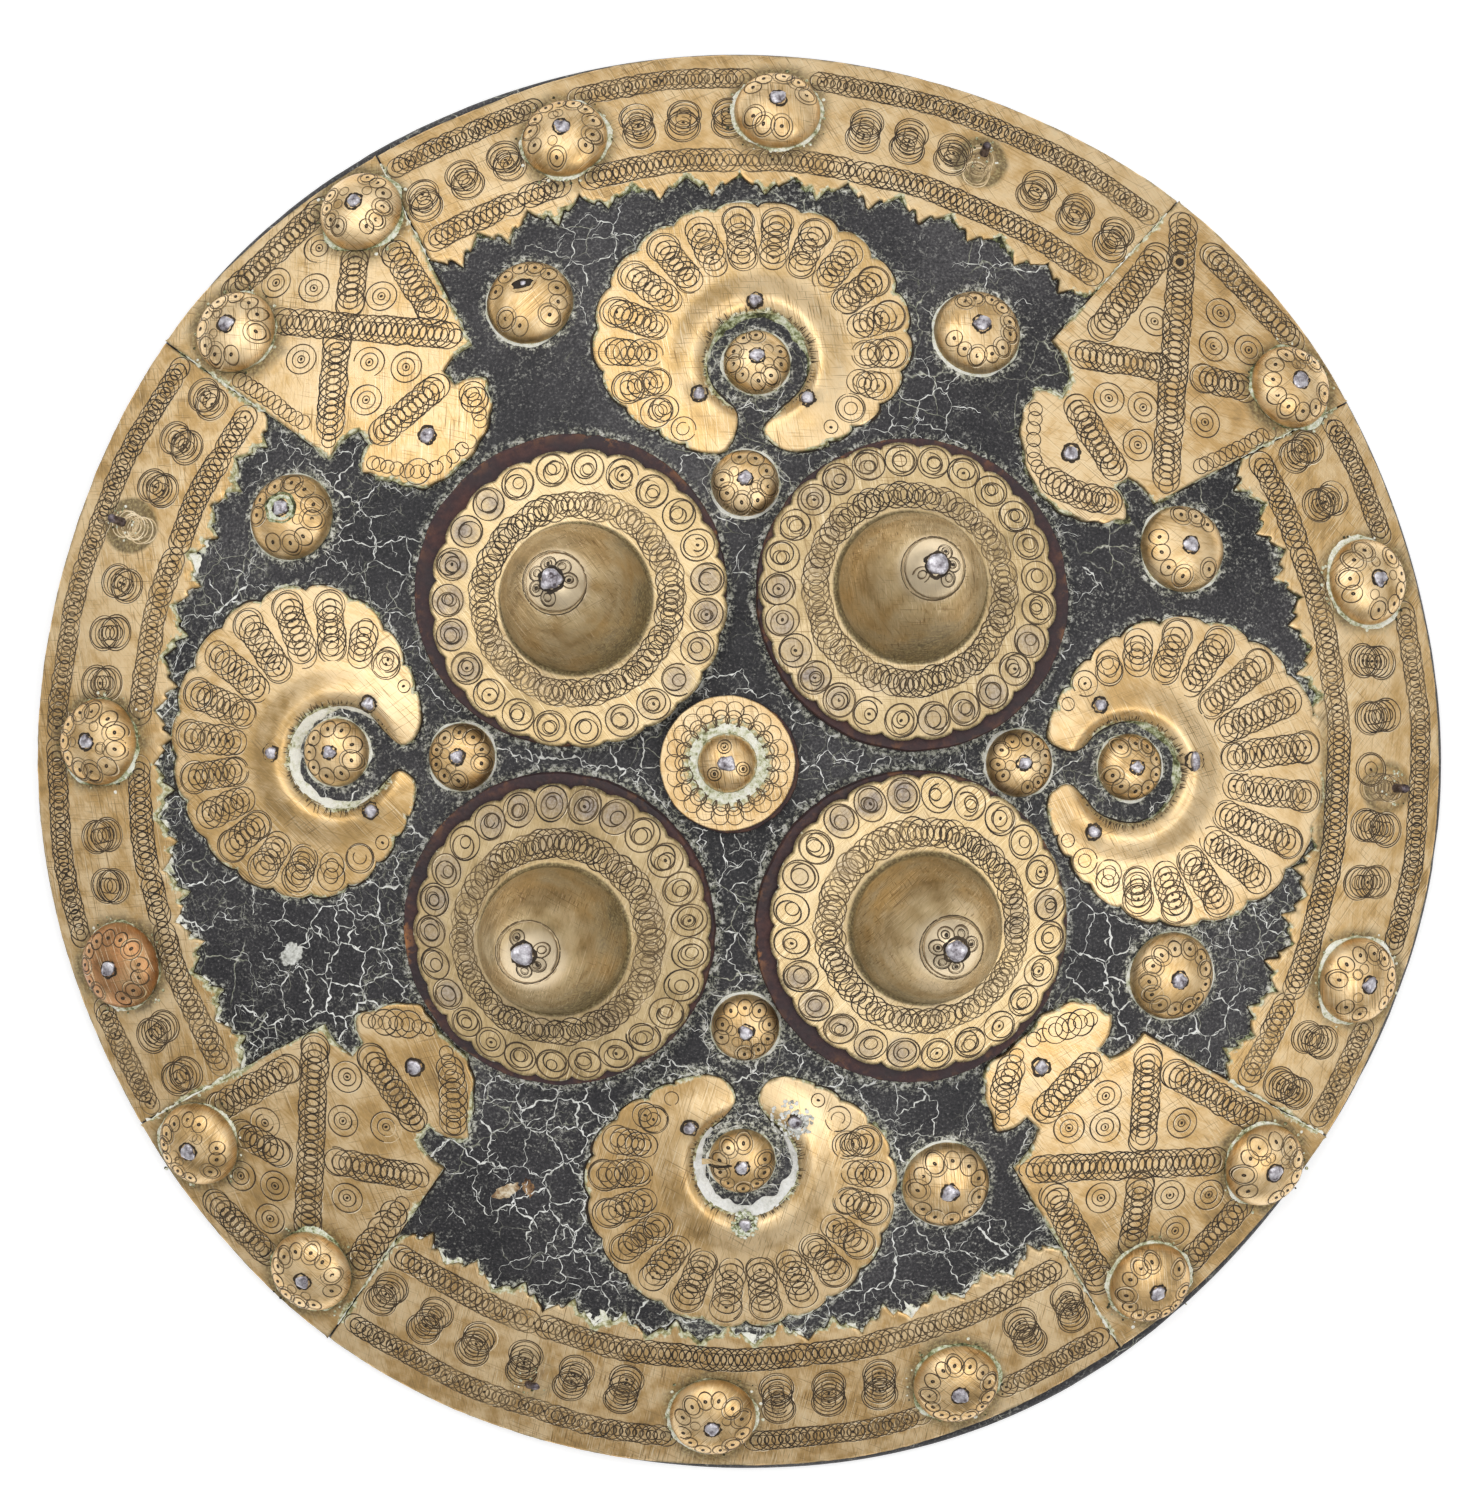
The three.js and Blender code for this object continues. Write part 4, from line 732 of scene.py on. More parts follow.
def circles_mesh(bag, items, place, squash, seed):
    """items: rows of x, y, radius, line width, tone. place(points, lift) puts plan points on the surface."""
    items = np.array(items, float)
    r = np.random.default_rng(seed)
    items[:, 3] *= 1.02
    items[:, 4] -= 0.02
    # painted highlight: a thin bright copy of most circles over 2.4 mm, shifted towards the lower right and laid just
    # under the dark line, for the lit wall of each groove
    painted_highlight_rings = items[items[:, 2] > 2.4]
    painted_highlight_rings = painted_highlight_rings[r.random(len(painted_highlight_rings)) < 0.8]
    painted_highlight_rings[:, 0] += 0.15
    painted_highlight_rings[:, 1] -= 0.17
    painted_highlight_rings[:, 3] = 0.17
    painted_highlight_rings[:, 4] = 1.55 + r.uniform(-0.35, 0.3, len(painted_highlight_rings))
    # the last pass (lo = -1) draws the painted highlight rings, lower than the dark lines
    for lo, hi, seg in ((0, 0.8, 10), (0.8, 2.0, 16), (2.0, 99, 24), (-1, -1, 18)):
        it = painted_highlight_rings if lo < 0 else items[(items[:, 2] >= lo) & (items[:, 2] < hi)]
        if not len(it):
            continue
        t = np.linspace(0, 2 * math.pi, seg, endpoint=False)[None, :] + r.uniform(0, 6.28, (len(it), 1))
        out = []
        wob = 1 + 0.015 * np.sin(2 * t + r.uniform(0, 6.28, (len(it), 1)))
        for s in (1, -1):
            half = it[:, 3:4] / 2 * (1 + 0.35 * np.sin(t * 2 + r.uniform(0, 6.28, (len(it), 1))))
            rr = it[:, 2:3] * wob + s * half
            out.append((rr * np.cos(t), rr * np.sin(t)))
        lift = np.repeat((0.018 if lo < 0 else 0.038) + (0.012 if lo < 0 else 0.035) * r.random(len(it)), seg)
        tone = np.repeat(it[:, 4], seg) + 0.16 * np.sin(t + r.uniform(0, 6.28, (len(it), 1))).ravel()
        pts = []
        for dx, dy in out:
            x, y = it[:, 0:1], it[:, 1:2]
            if squash:
                ex, ey = x - MID[0], y - MID[1]
                d = np.sqrt(ex ** 2 + ey ** 2) + 1e-6
                ex, ey = ex / d, ey / d
                c = np.sqrt(1 - (d / (DOME_R + 2)) ** 2)
                a, b = dx * ex + dy * ey, -dx * ey + dy * ex
                a = a * c
                dx, dy = a * ex - b * ey, a * ey + b * ex
            pts.append(np.column_stack([(x + dx).ravel(), (y + dy).ravel()]))
        A, B = place(pts[0], lift), place(pts[1], lift)
        n = len(it) * seg
        i = np.arange(n)
        j = (i // seg) * seg + (i % seg + 1) % seg
        keep = np.ones(n, bool)
        gap = r.random(len(it)) < 0.07
        keep &= ~(np.repeat(gap, seg) & (i % seg < seg * 0.3))
        i, j = i[keep], j[keep]
        bag.add(np.vstack([A, B]), [np.column_stack([i, j, j + n, i + n])], tone=np.concatenate([tone, tone]))


def triple(x, y, R, rnd, off=0.0, width=0.31, tone=0.40, inner=(0.55,), dot=False):
    """Concentric compass circles, each set a little off the last."""
    out = []
    for k, f in enumerate((1.0,) + tuple(inner)):
        dx, dy = rnd.uniform(-off, off, 2) if k else (0, 0)
        out.append((x + dx, y + dy, R * f, width * (1.0 if k == 0 else 0.9), tone + rnd.uniform(-0.25, 0.3)))
    if dot:
        out.append((x, y, 0.22, 0.42, 0.1))
    return out


def chain(p, q, R, pitch, rnd, ends=0.0, **kw):
    p, q = np.asarray(p, float), np.asarray(q, float)
    L = np.hypot(*(q - p))
    k = max(1, int(round(L / pitch)))
    out = []
    for i in range(k + 1):
        c = p + (q - p) * i / k + rnd.uniform(-0.18, 0.18, 2)
        out += triple(c[0], c[1], R * rnd.uniform(0.95, 1.05), rnd, **kw)
    if ends:
        for c in (p, q):
            out.append((c[0], c[1], R + ends, 0.30, 0.4 + rnd.uniform(-0.2, 0.2)))
    return out


# ------------------------------------------------------------------ outlines of the brass, in plan
def corner_point(c, sw):
    a = rad(c['axis'])
    s, w = sw
    return np.array([MID[0] + s * math.cos(a) - w * math.sin(a), MID[1] + s * math.sin(a) + w * math.cos(a)])


def side_angle(c, side, r, away=0.0):
    p, q = corner_point(c, c['rim'][side]), corner_point(c, c['tip'][side])
    d = q - p
    ln = np.hypot(*d)
    sgn = -1 if side == 0 else 1
    o = p - MID + sgn * away * np.array([d[1], -d[0]]) / ln
    b, k = float(o @ d) / ln ** 2, (float(o @ o) - r * r) / ln ** 2
    t = -b - math.sqrt(max(0, b * b - k))
    return math.atan2(o[1] + t * d[1], o[0] + t * d[0])


def clear_of_washers(p):
    for b in BOSSES.values():
        d = p - np.array(b['washer'])
        if np.hypot(*d) < WASHER_R + 0.9:
            return np.array(b['washer']) + d * (WASHER_R + 0.9) / np.hypot(*d)
    return p


def corner_polygon(c):
    a0, a1 = side_angle(c, 0, 188.6), side_angle(c, 1, 188.6)
    if a1 < a0:
        a1 += 2 * math.pi
    at = lambda p: corner_point(c, p)
    rim = []
    for u in np.linspace(0, 1, 80):
        a = a0 + (a1 - a0) * u
        r = float(outline(a) - bare_edge(a)) + (0.45 if u in (0.0, 1.0) else 0.0)
        rim.append(polar(np.array([r + 0.12 * math.sin(9 * u)]), np.array([a]))[0])
    arc = lambda p, q, bow: [p + (q - p) * u + bow * math.sin(math.pi * u) * np.array([(q - p)[1], -(q - p)[0]]) for u in (0.25, 0.5, 0.75)]
    tail = [clear_of_washers(at(spline(c['tail'], u))) for u in np.linspace(0, 5, 46)]
    tail = [p + 0.35 * math.sin(i * 1.15) * (p - at(c['neck'][0])) / (np.hypot(*(p - at(c['neck'][0]))) + 1) for i, p in enumerate(tail)]
    tipL, notchL, neckL = at(c['tip'][0]), at(c['notch'][0]), at(c['neck'][0])
    tipR, notchR, neckR = at(c['tip'][1]), at(c['notch'][1]), at(c['neck'][1])
    # counter-clockwise: rim from side 0 to side 1, down side 1, round the tail, and back up side 0
    pts = rim + [tipR] + arc(tipR, notchR, -0.10) + [notchR, neckR] + arc(neckR, tail[-1], 0.12) + tail[::-1] \
        + arc(tail[0], neckL, 0.12) + [neckL, notchL] + arc(notchL, tipL, -0.10) + [tipL]
    return np.array(pts)


def crescent_frame(c):
    a = rad(c['axis'])
    e = np.array([math.cos(a), math.sin(a)])
    f = np.array([-e[1], e[0]])
    return (lambda p: np.array([np.dot(p, e), np.dot(p, f)])), (lambda q: q[0] * e + q[1] * f)


def ray_out(c, o, phi, far=90.0):
    lo, hi = 0.0, far
    for _ in range(36):
        m = (lo + hi) / 2
        u, v = o[0] + m * math.cos(phi), o[1] + m * math.sin(phi)
        half = c['out'] - c['mid'][0] if u > c['mid'][0] else c['mid'][0] - c['inn']
        if ((v - c['mid'][1]) / c['half']) ** 2 + ((u - c['mid'][0]) / half) ** 2 <= 1:
            lo = m
        else:
            hi = m
    return lo


def crescent_polygon(c, seed):
    loc, plan = crescent_frame(c)
    hole = loc(c['hole'])
    tips = []
    for t in c['tips']:
        d = loc(t) - hole
        tips.append((np.hypot(*d), math.atan2(d[1], d[0])))
    span = rad(LOBE_SPAN)
    rnd = np.random.default_rng(seed)
    outer, inner = [], []

    def horn(tip, sgn):
        td = math.pi - abs(tip[1])
        cols = []
        for delta, rin, cut in ((40, HOLE_R, 1), (31, HOLE_R + 0.1, 1), (23, HOLE_R + 0.7, .985), (15.5, HOLE_R + 1.9, .93)):
            d = max(rad(delta), td + rad(3))
            cols.append((sgn * (math.pi - d), rin, cut * ray_out(c, hole, sgn * (math.pi - d))))
        cols.append((sgn * (math.pi - td), tip[0] - 0.5, tip[0] + 1.0))
        return cols

    cols = horn(tips[0], -1)[::-1]
    ph, ri, ro = zip(*cols)
    us = np.linspace(0, 1, 26)
    for phi in ph[0] + (ph[-1] - ph[0]) * us:
        outer.append((phi, np.interp(phi, ph, ro)))
        inner.append((phi, np.interp(phi, ph, ri)))
    step = 2 * span / LOBES
    for i in range(LOBES):
        depth = LOBE * rnd.uniform(0.75, 1.25)
        for k in np.linspace(0, 1, 13)[(1 if i == 0 else 0):12]:
            phi = -span + (i + k) * step
            outer.append((phi, ray_out(c, hole, phi) - 0.1 - depth * abs(2 * k - 1) ** 3.0))
    outer.append((span, ray_out(c, hole, span)))
    for phi in np.linspace(-span, span, 130)[1:-1]:
        inner.append((phi, HOLE_R + 0.12 * math.sin(phi * 5 + seed)))
    cols = horn(tips[1], 1)
    ph, ri, ro = zip(*cols)
    for phi in ph[0] + (ph[-1] - ph[0]) * us:
        outer.append((phi, np.interp(phi, ph, ro)))
        inner.append((phi, np.interp(phi, ph, ri)))
    pts = np.array([plan(hole + r * np.array([math.cos(p), math.sin(p)])) for p, r in outer]
                   + [plan(hole + r * np.array([math.cos(p), math.sin(p)])) for p, r in inner[::-1]])
    pts = refine(pts, 0.5)
    # the horns end in a round lobe: each point near a tip is relaxed towards its neighbours
    w = np.zeros(len(pts))
    for t in c['tips']:
        w = np.maximum(w, np.exp(-(np.hypot(*(pts - np.array(t)).T) / 5.0) ** 4))
    for _ in range(70):
        mid = 0.5 * (np.roll(pts, 1, 0) + np.roll(pts, -1, 0))
        pts = pts + (mid - pts) * (0.8 * w)[:, None]
    return pts


def ridge(c):
    """Height of the embossed ring round a crescent's window."""
    loc, plan = crescent_frame(c)
    hole, e = np.array(c['hole']), plan(np.array([1.0, 0.0]))

    def h(P):
        d = P - hole
        r = np.hypot(d[:, 0], d[:, 1])
        phi = np.arccos(np.clip((d @ e) / (r + 1e-6), -1, 1))
        share = np.interp(np.degrees(phi), [0, 140, 152, 165, 180], [1, 1, 0.8, 0.45, 0.1])
        up = np.clip((r - HOLE_R) / 3.4, 0, 1)
        down = np.clip((r - 16.6) / 8.6, 0, 1)
        s = lambda x: x * x * (3 - 2 * x)
        return share * (0.35 + 1.65 * s(up)) * (1 - s(down))
    return h


def arc_polygon(frm, to, seed):
    rnd = np.random.default_rng(seed)

    def ends(r):
        a, b = side_angle(frm, 1, r, SIDE_GAP), side_angle(to, 0, r, SIDE_GAP)
        while b < a:
            b += 2 * math.pi
        return a, b
    o0, o1 = ends(188.6)
    t = np.linspace(o0, o1, 300)
    pts = list(polar(outline(t) - bare_edge(t) + 0.10 * fbm(t * 40, t * 0, seed), t))
    for r in np.linspace(187.2, 157.6, 26):
        pts.append(polar(np.array([r]), np.array([ends(r)[1]]))[0])
    prof = [(0.0, 156.4), (0.05, 155.5), (0.13, 154.5), (0.20, 153.7), (0.26, 153.2), (0.30, 153.8), (0.35, 153.7),
            (0.40, 152.6), (0.455, 151.3), (0.5, 150.5), (0.545, 151.4), (0.60, 152.8), (0.65, 153.8), (0.70, 153.7),
            (0.74, 153.1), (0.80, 153.8), (0.88, 154.7), (0.95, 155.7)]
    inner = []
    for i in range(TEETH):
        js = rnd.uniform(0.85, 1.12)
        for u, r in prof:
            rr = 153.3 + (r - 153.3) * js + rnd.uniform(-0.16, 0.16)
            a, b = ends(rr)
            inner.append(polar(np.array([rr]), np.array([a + (b - a) * (i + u + rnd.uniform(-0.008, 0.008)) / TEETH]))[0])
    a, b = ends(156.4)
    inner[0] = polar(np.array([156.4]), np.array([a]))[0]
    inner.append(polar(np.array([156.4]), np.array([b]))[0])
    pts += inner[::-1]
    for r in np.linspace(157.6, 187.2, 26):
        pts.append(polar(np.array([r]), np.array([ends(r)[0]]))[0])
    return np.array(pts)


# ------------------------------------------------------------------ border arcs, corner plates, crescents
order = ['upper_right', 'upper_left', 'lower_left', 'lower_right']
sheets = {}


def arc_stain(P):
    return 0.75 + 0.6 * sector(P, 180, 60) + 0.4 * sector(P, 265, 40) + 0.4 * fbm(P[:, 0] / 9, P[:, 1] / 9, 77)


for i, (frm, side) in enumerate(zip(order, ('top', 'left', 'bottom', 'right'))):
    to = order[(i + 1) % 4]
    mat = brass("brass_arc_" + side, 3 + i, turn=0.5 + 0.4 * i, mid=[(0.62, 0.41, 0.18), (0.58, 0.375, 0.155), (0.56, 0.36, 0.15), (0.61, 0.40, 0.17)][i])
    name = 'border_arc_' + side
    tt = np.linspace(0, 2 * math.pi, 40, endpoint=False)
    extra = np.vstack([np.array(q) + np.column_stack([r * np.cos(tt + r), r * np.sin(tt + r)]) for q in POST_MARKS for r in np.arange(2.0, 9.2, 1.0)])
    sheets[name] = plate('brass_' + name, arc_polygon(CORNERS[frm], CORNERS[to], 11 + i), GAP + SHEET, mat,
                         seed=31 + i, stain=arc_stain, replaces=(name,), extra=extra)
for i, (k, c) in enumerate(CORNERS.items()):
    mat = brass("brass_corner_" + k, 9 + i, turn=[0.2, 1.1, 0.7, 0.4][i], mid=[(0.59, 0.38, 0.16), (0.61, 0.41, 0.18), (0.55, 0.355, 0.145), (0.60, 0.39, 0.165)][i])
    name = 'corner_plate_' + k
    sheets[name] = plate('brass_' + name, corner_polygon(c), CORNER_TOP, mat, seed=51 + i, stain=arc_stain, replaces=(name,))
for i, (k, c) in enumerate(CRESCENTS.items()):
    mat = brass("brass_crescent_" + k, 15 + i, turn=[0.9, 0.3, 1.4, 0.6][i], blotch=1.1,
                mid=[(0.60, 0.40, 0.17), (0.56, 0.365, 0.15), (0.54, 0.35, 0.145), (0.60, 0.39, 0.165)][i])
    hole = np.array(c['hole'])
    tt = np.linspace(0, 2 * math.pi, 72, endpoint=False)
    extra = np.vstack([hole + np.column_stack([r * np.cos(tt + r), r * np.sin(tt + r)]) for r in np.arange(14.3, 24, 0.95)])
    name = 'crescent_' + k
    sheets[name] = plate('brass_' + name, crescent_polygon(c, 61 + i), GAP + SHEET, mat, height=ridge(c), seed=71 + i,
                         extra=extra, replaces=(name,),
                         stain=lambda P, hole=hole: 0.65 + 0.5 * np.exp(-((np.hypot(*(P - hole).T) - 14) / 3) ** 2)
                         + 0.4 * fbm(P[:, 0] / 7, P[:, 1] / 7, 78))


# ------------------------------------------------------------------ hide
def hide():
    n = 320
    t = np.linspace(0, 2 * math.pi, n, endpoint=False)
    R = outline(t)
    rows, mats = [], []
    top_r = [np.full(n, r) for r in np.linspace(2.2, 160, 90)] + [160 + (R - 2.6 - 160) * f for f in np.linspace(0, 1, 10)[1:]]
    relief = lambda P, r: -0.06 + 0.16 * fbm(P[:, 0] / 17, P[:, 1] / 17, 5) + 0.05 * fbm(P[:, 0] / 3.2, P[:, 1] / 3.2, 6) \
        - 0.03 * np.abs(fbm(P[:, 0] / 6, P[:, 1] / 6, 8))
    for r in top_r:
        P = polar(r, t)
        rows.append(on_dome(P, np.minimum(relief(P, r), 0.18), 0))
    # worn rim: rounded shoulder, nicked side, flat foot
    nick = 0.35 * np.clip(fbm(t * 26, t * 0, 12) - 0.25, 0, 1)
    for dr, dz in ((1.9, 0.0), (0.9, -0.12), (0.25, -0.5), (0.0, -1.2)):
        P = polar(R - dr - nick * (dr < 1), t)
        z = on_dome(polar(R, t), 0)[:, 2] if dr == 0 else on_dome(P, 0)[:, 2]
        rows.append(np.column_stack([P, z + dz - nick]))
    for z, dr in ((2.6, 0.0), (1.2, 0.02), (0.35, 0.12), (0.0, 0.5)):
        P = polar(R - dr - 0.12 * np.abs(fbm(t * 30, t * 0 + z, 13)) * (z > 0.4), t)
        rows.append(np.column_stack([P, np.full(n, z)]))
    top_rows = len(rows) - 1
    for r, z in ((R - 1.7, 0.0), (np.full(n, FOOT_IN + 0.5), 0.0), (np.full(n, FOOT_IN), 0.35)):
        P = polar(r, t)
        rows.append(np.column_stack([P, np.full(n, z)]))
    for r in np.concatenate([[183.2, 182], np.linspace(176, 4, 44)]):
        P = polar(np.full(n, r), t)
        d = 0.22 * fbm(P[:, 0] / 22, P[:, 1] / 22, 15) + 0.07 * fbm(P[:, 0] / 5, P[:, 1] / 5, 16)
        z = CAP_Z + np.sqrt((DOME_R - HIDE_T) ** 2 - r * r)
        if r > 182.5:
            z = 1.6
        rows.append(np.column_stack([P, z + d * (r < 180)]))
    V, F = lathe(rows, rows[-1].mean(0), on_dome([MID], 0)[0])
    idx = np.zeros(sum(len(f) for f in F), int)
    idx[top_rows * n:len(F[0])] = 1
    idx[len(F[0]):len(F[0]) + n] = 1
    # how close each point of the face is to brass or a washer
    P = V[:, :2]
    near = np.zeros(len(V))
    free = np.hypot(*(P - MID).T) < 160
    free[top_rows * n:] = False
    Q = P[free]
    d = np.full(len(Q), 99.0)
    for s in sheets.values():
        d = np.minimum(d, distance(s['poly'][::3], Q))
    for b in BOSSES.values():
        d = np.minimum(d, np.abs(np.hypot(*(Q - np.array(b['washer'])).T) - WASHER_R))
    for s in STUDS:
        d = np.minimum(d, np.abs(np.hypot(Q[:, 0] - s[1], Q[:, 1] - s[2]) - s[3]))
    lee = 1.0 + 0.5 * fbm(Q[:, 0] / 14, Q[:, 1] / 14, 19)
    low = np.exp(-((Q[:, 0] - 0) ** 2 + (Q[:, 1] + 78) ** 2) / 52.0 ** 2)
    near[free] = np.exp(-(d / ((1.5 + 1.3 * low) * lee)) ** 1.3)
    make('hide_shell', V, F, [M_HIDE, M_BACK], 'lacquered_hide', ('hide_body',), attrs={'near': near}, index=idx, sharp=50)


hide()


# ------------------------------------------------------------------ crackle in the lacquer, as thin pale lines
def crackle():
    r = np.random.default_rng(207)
    pts = []
    pitch = 8.2
    for gx in np.arange(-160, 160, pitch):
        for gy in np.arange(-160, 160, pitch):
            p = np.array([gx, gy]) + r.uniform(-0.48, 0.48, 2) * pitch
            if np.hypot(*p) < 160:
                pts.append(p)
    res = geometry.delaunay_2d_cdt([tuple(p) for p in pts], [], [], 0, 1e-5)
    P = np.array([tuple(v) for v in res[0]])
    T = np.array([f for f in res[2]])
    a, b, c = P[T[:, 0]], P[T[:, 1]], P[T[:, 2]]
    d = 2 * (a[:, 0] * (b[:, 1] - c[:, 1]) + b[:, 0] * (c[:, 1] - a[:, 1]) + c[:, 0] * (a[:, 1] - b[:, 1]))
    sa, sb, sc = (a ** 2).sum(1), (b ** 2).sum(1), (c ** 2).sum(1)
    ux = (sa * (b[:, 1] - c[:, 1]) + sb * (c[:, 1] - a[:, 1]) + sc * (a[:, 1] - b[:, 1])) / d
    uy = (sa * (c[:, 0] - b[:, 0]) + sb * (a[:, 0] - c[:, 0]) + sc * (b[:, 0] - a[:, 0])) / d
    C = np.column_stack([ux, uy])
    owner = {}
    pairs = []
    for i, t in enumerate(T.tolist()):
        for e in ((t[0], t[1]), (t[1], t[2]), (t[2], t[0])):
            k = (min(e), max(e))
            if k in owner:
                pairs.append((owner[k], i))
            else:
                owner[k] = i
    bag = Bag()
    blocked = [(np.array(b['washer']), WASHER_R + 0.3) for b in BOSSES.values()] \
        + [(np.array([s[1], s[2]]), s[3] + 0.2) for s in STUDS if s[0].startswith(('stud_small', 'stud_field', 'stud_window'))] \
        + [(np.array(MIDDLE['washer']), MIDDLE['washer_r'])]
    polys = [s['poly'] for s in sheets.values()]

    def line(p, q, width, steps):
        u = np.linspace(0, 1, steps)
        L = np.hypot(*(q - p))
        side = np.array([-(q - p)[1], (q - p)[0]]) / (L + 1e-6)
        x = p + (q - p) * u[:, None]
        off = (0.9 * noise(x[:, 0] * 0.42, x[:, 1] * 0.42, 31) + 0.6 * noise(x[:, 0] * 1.2, x[:, 1] * 1.2, 32) + 0.35 * noise(x[:, 0] * 3.1, x[:, 1] * 3.1, 34)) * np.sin(np.pi * u) ** 0.5
        x = x + off[:, None] * side
        w = width * (0.35 + 1.15 * np.clip(0.5 + noise(x[:, 0] * 1.6, x[:, 1] * 1.6, 33), 0, 1) ** 1.5)
        return x, w

    jobs = []
    for i, j in pairs:
        p, q = C[i], C[j]
        L = np.hypot(*(q - p))
        if L < 1.0 or L > 22:
            continue
        m = (p + q) / 2
        thick = fbm(m[0] / 34, m[1] / 34, 40)
        upper = float(np.clip((m[1] - 20) / 30, 0, 1))
        lower = float(np.clip((-m[1] - 55) / 25, 0, 1))
        if float(thick) < -0.34 + 0.35 * r.random() + 0.26 * upper - 0.30 * lower:
            continue
        width = float(np.clip((0.14 + 0.22 * (thick + 0.25) + 0.34 * (r.random() ** 5)) * (1 - 0.25 * upper) + 0.07 * lower, 0.10, 0.62))
        jobs.append(line(p, q, width, max(5, int(L / 0.7))))
        for _ in range(int(r.integers(0, 3))):      # side branches
            s = p + (q - p) * r.uniform(0.2, 0.8)
            a2 = r.uniform(0, 2 * math.pi)
            ln = r.uniform(1.8, 5.0)
            jobs.append(line(s, s + ln * np.array([math.cos(a2), math.sin(a2)]), width * 0.6, 6))
    for x, w in jobs:
        ok = np.hypot(*(x - MID).T) < 156.5
        for c0, rr in blocked:
            ok &= np.hypot(*(x - c0).T) > rr
        if ok.sum() < 3:
            continue
        m = x.mean(0)[None]
        if any(inside(pl, m)[0] for pl in polys):
            continue
        ok &= ~np.any([inside(pl, x) for pl in polys], axis=0)
        # the longest unbroken run
        run, best, start = 0, (0, 0), 0
        for k, g in enumerate(list(ok) + [False]):
            if g:
                if run == 0:
                    start = k
                run += 1
            else:
                if run > best[1] - best[0]:
                    best = (start, start + run)
                run = 0
        x, w = x[best[0]:best[1]], w[best[0]:best[1]]
        if len(x) < 3:
            continue
        w = w.copy()
        w[0] *= 0.3
        w[-1] *= 0.3
        path = on_dome(x, np.minimum(-0.06 + 0.16 * fbm(x[:, 0] / 17, x[:, 1] / 17, 5), 0.18) + 0.09)
        up = (path - CENTRE) / np.linalg.norm(path - CENTRE, axis=1)[:, None]
        V, F = ribbon(path, w, up, False)
        bag.add(V, F, pale=np.full(len(V), 0.55 + 0.5 * r.random()))
    bag.build('crackle_lines', M_CHALK, 'lacquered_hide', closed=False, sharp=0)


crackle()


# ------------------------------------------------------------------ engraving on the sheets
rnd = np.random.default_rng(99)


def clear_discs(items, discs):
    it = np.asarray(items)
    keep = np.ones(len(it), bool)
    for x, y, r in discs:
        keep &= np.hypot(it[:, 0] - x, it[:, 1] - y) > r
    return it[keep]


def engrave(name, items, face, within=None):
    items = np.asarray(items, float)
    if within is not None:
        ok = inside(within, items[:, :2]) & (distance(within, items[:, :2]) > items[:, 2] + 0.1)
        items = items[ok]
    bag = Bag()
    circles_mesh(bag, items, lambda P, lift: on_dome(P, face(P) + lift), True, len(items))
    bag.build(name, M_LINE, 'brass', closed=False, sharp=0)


discs = [(s[1], s[2], s[3] - 0.5) for s in STUDS]
arc_angles = {}
for i, (frm, side) in enumerate(zip(order, ('top', 'left', 'bottom', 'right'))):
    to = order[(i + 1) % 4]
    s = sheets['border_arc_' + side]
    items = []

    def ends(r, pad):
        a, b = side_angle(CORNERS[frm], 1, r), side_angle(CORNERS[to], 0, r)
        while b < a:
            b += 2 * math.pi
        return a + pad / r, b - pad / r
    for R, rad_c, pitch in ((183.2, 3.2, 1.85), (160.1, 3.55, 1.85)):
        a, b = ends(R, rad_c + 0.7)
        k = int((b - a) * R / pitch)
        for t in np.linspace(a, b, k):
            c = polar(np.array([R + 0.25 * math.sin(t * 31) + rnd.uniform(-0.12, 0.12)]), np.array([t]))[0]
            items += triple(c[0], c[1], rad_c * rnd.uniform(0.95, 1.04), rnd, off=0.15, inner=(0.50,), width=0.29,
                            tone=0.40 + 0.25 * math.sin(t * 9), dot=rnd.random() < 0.2)
    a, b = ends(171.4, 6.2)
    apart, least_n, most_n, shift_u = {'top': (11.3, 4, 5, 1.15), 'left': (12.6, 3, 5, 1.1), 'bottom': (13.2, 5, 6, 1.2), 'right': (13.4, 5, 6, 1.2)}[side]
    k = int(round((b - a) * 171.4 / apart))
    for t in np.linspace(a, b, k):
        n = int(rnd.integers(least_n, most_n + 1))
        skew = rnd.uniform(-0.25, 0.25)
        for q in range(n):
            u = (q - (n - 1) / 2) * shift_u
            c = polar(np.array([171.6 + u]), np.array([t + skew * u / 171]))[0]
            R_ = 4.1 * rnd.uniform(0.96, 1.04)
            items += triple(c[0], c[1], R_, rnd, off=0.15, inner=(0.48,), width=0.28,
                            tone=0.30, dot=rnd.random() < 0.4)
            if q in (0, n - 1):
                items.append((c[0], c[1], R_ + 0.55, 0.27, 0.45))
    items = clear_discs(items, [(x, y, r + 1.6) for x, y, r in discs] + [(p[0], p[1], 2.6) for p in POSTS] + [(q[0], q[1], 6.0) for q in POST_MARKS[:3]])
    items = list(map(tuple, items))
    for (px_, py_), (qx_, qy_), w in zip([p[:2] for p in POSTS[:3]], POST_MARKS, (0.8, 1.0, 0.45)):
        e_ = np.array([qx_ - px_, qy_ - py_]) / 2.6
        for q in range(7):
            c = np.array([px_, py_]) + e_ * (0.6 + 1.05 * q) + rnd.uniform(-0.2, 0.2, 2)
            tn_ = 0.45 + 1.35 * w * rnd.uniform(0.6, 1.1)
            items += [(c[0], c[1], 3.5 * rnd.uniform(0.9, 1.05), 0.27, tn_), (c[0] + 0.2, c[1], 1.9, 0.24, tn_ * 0.8)]
    engrave('engraving_arc_' + side, items, s['face'], s['poly'])

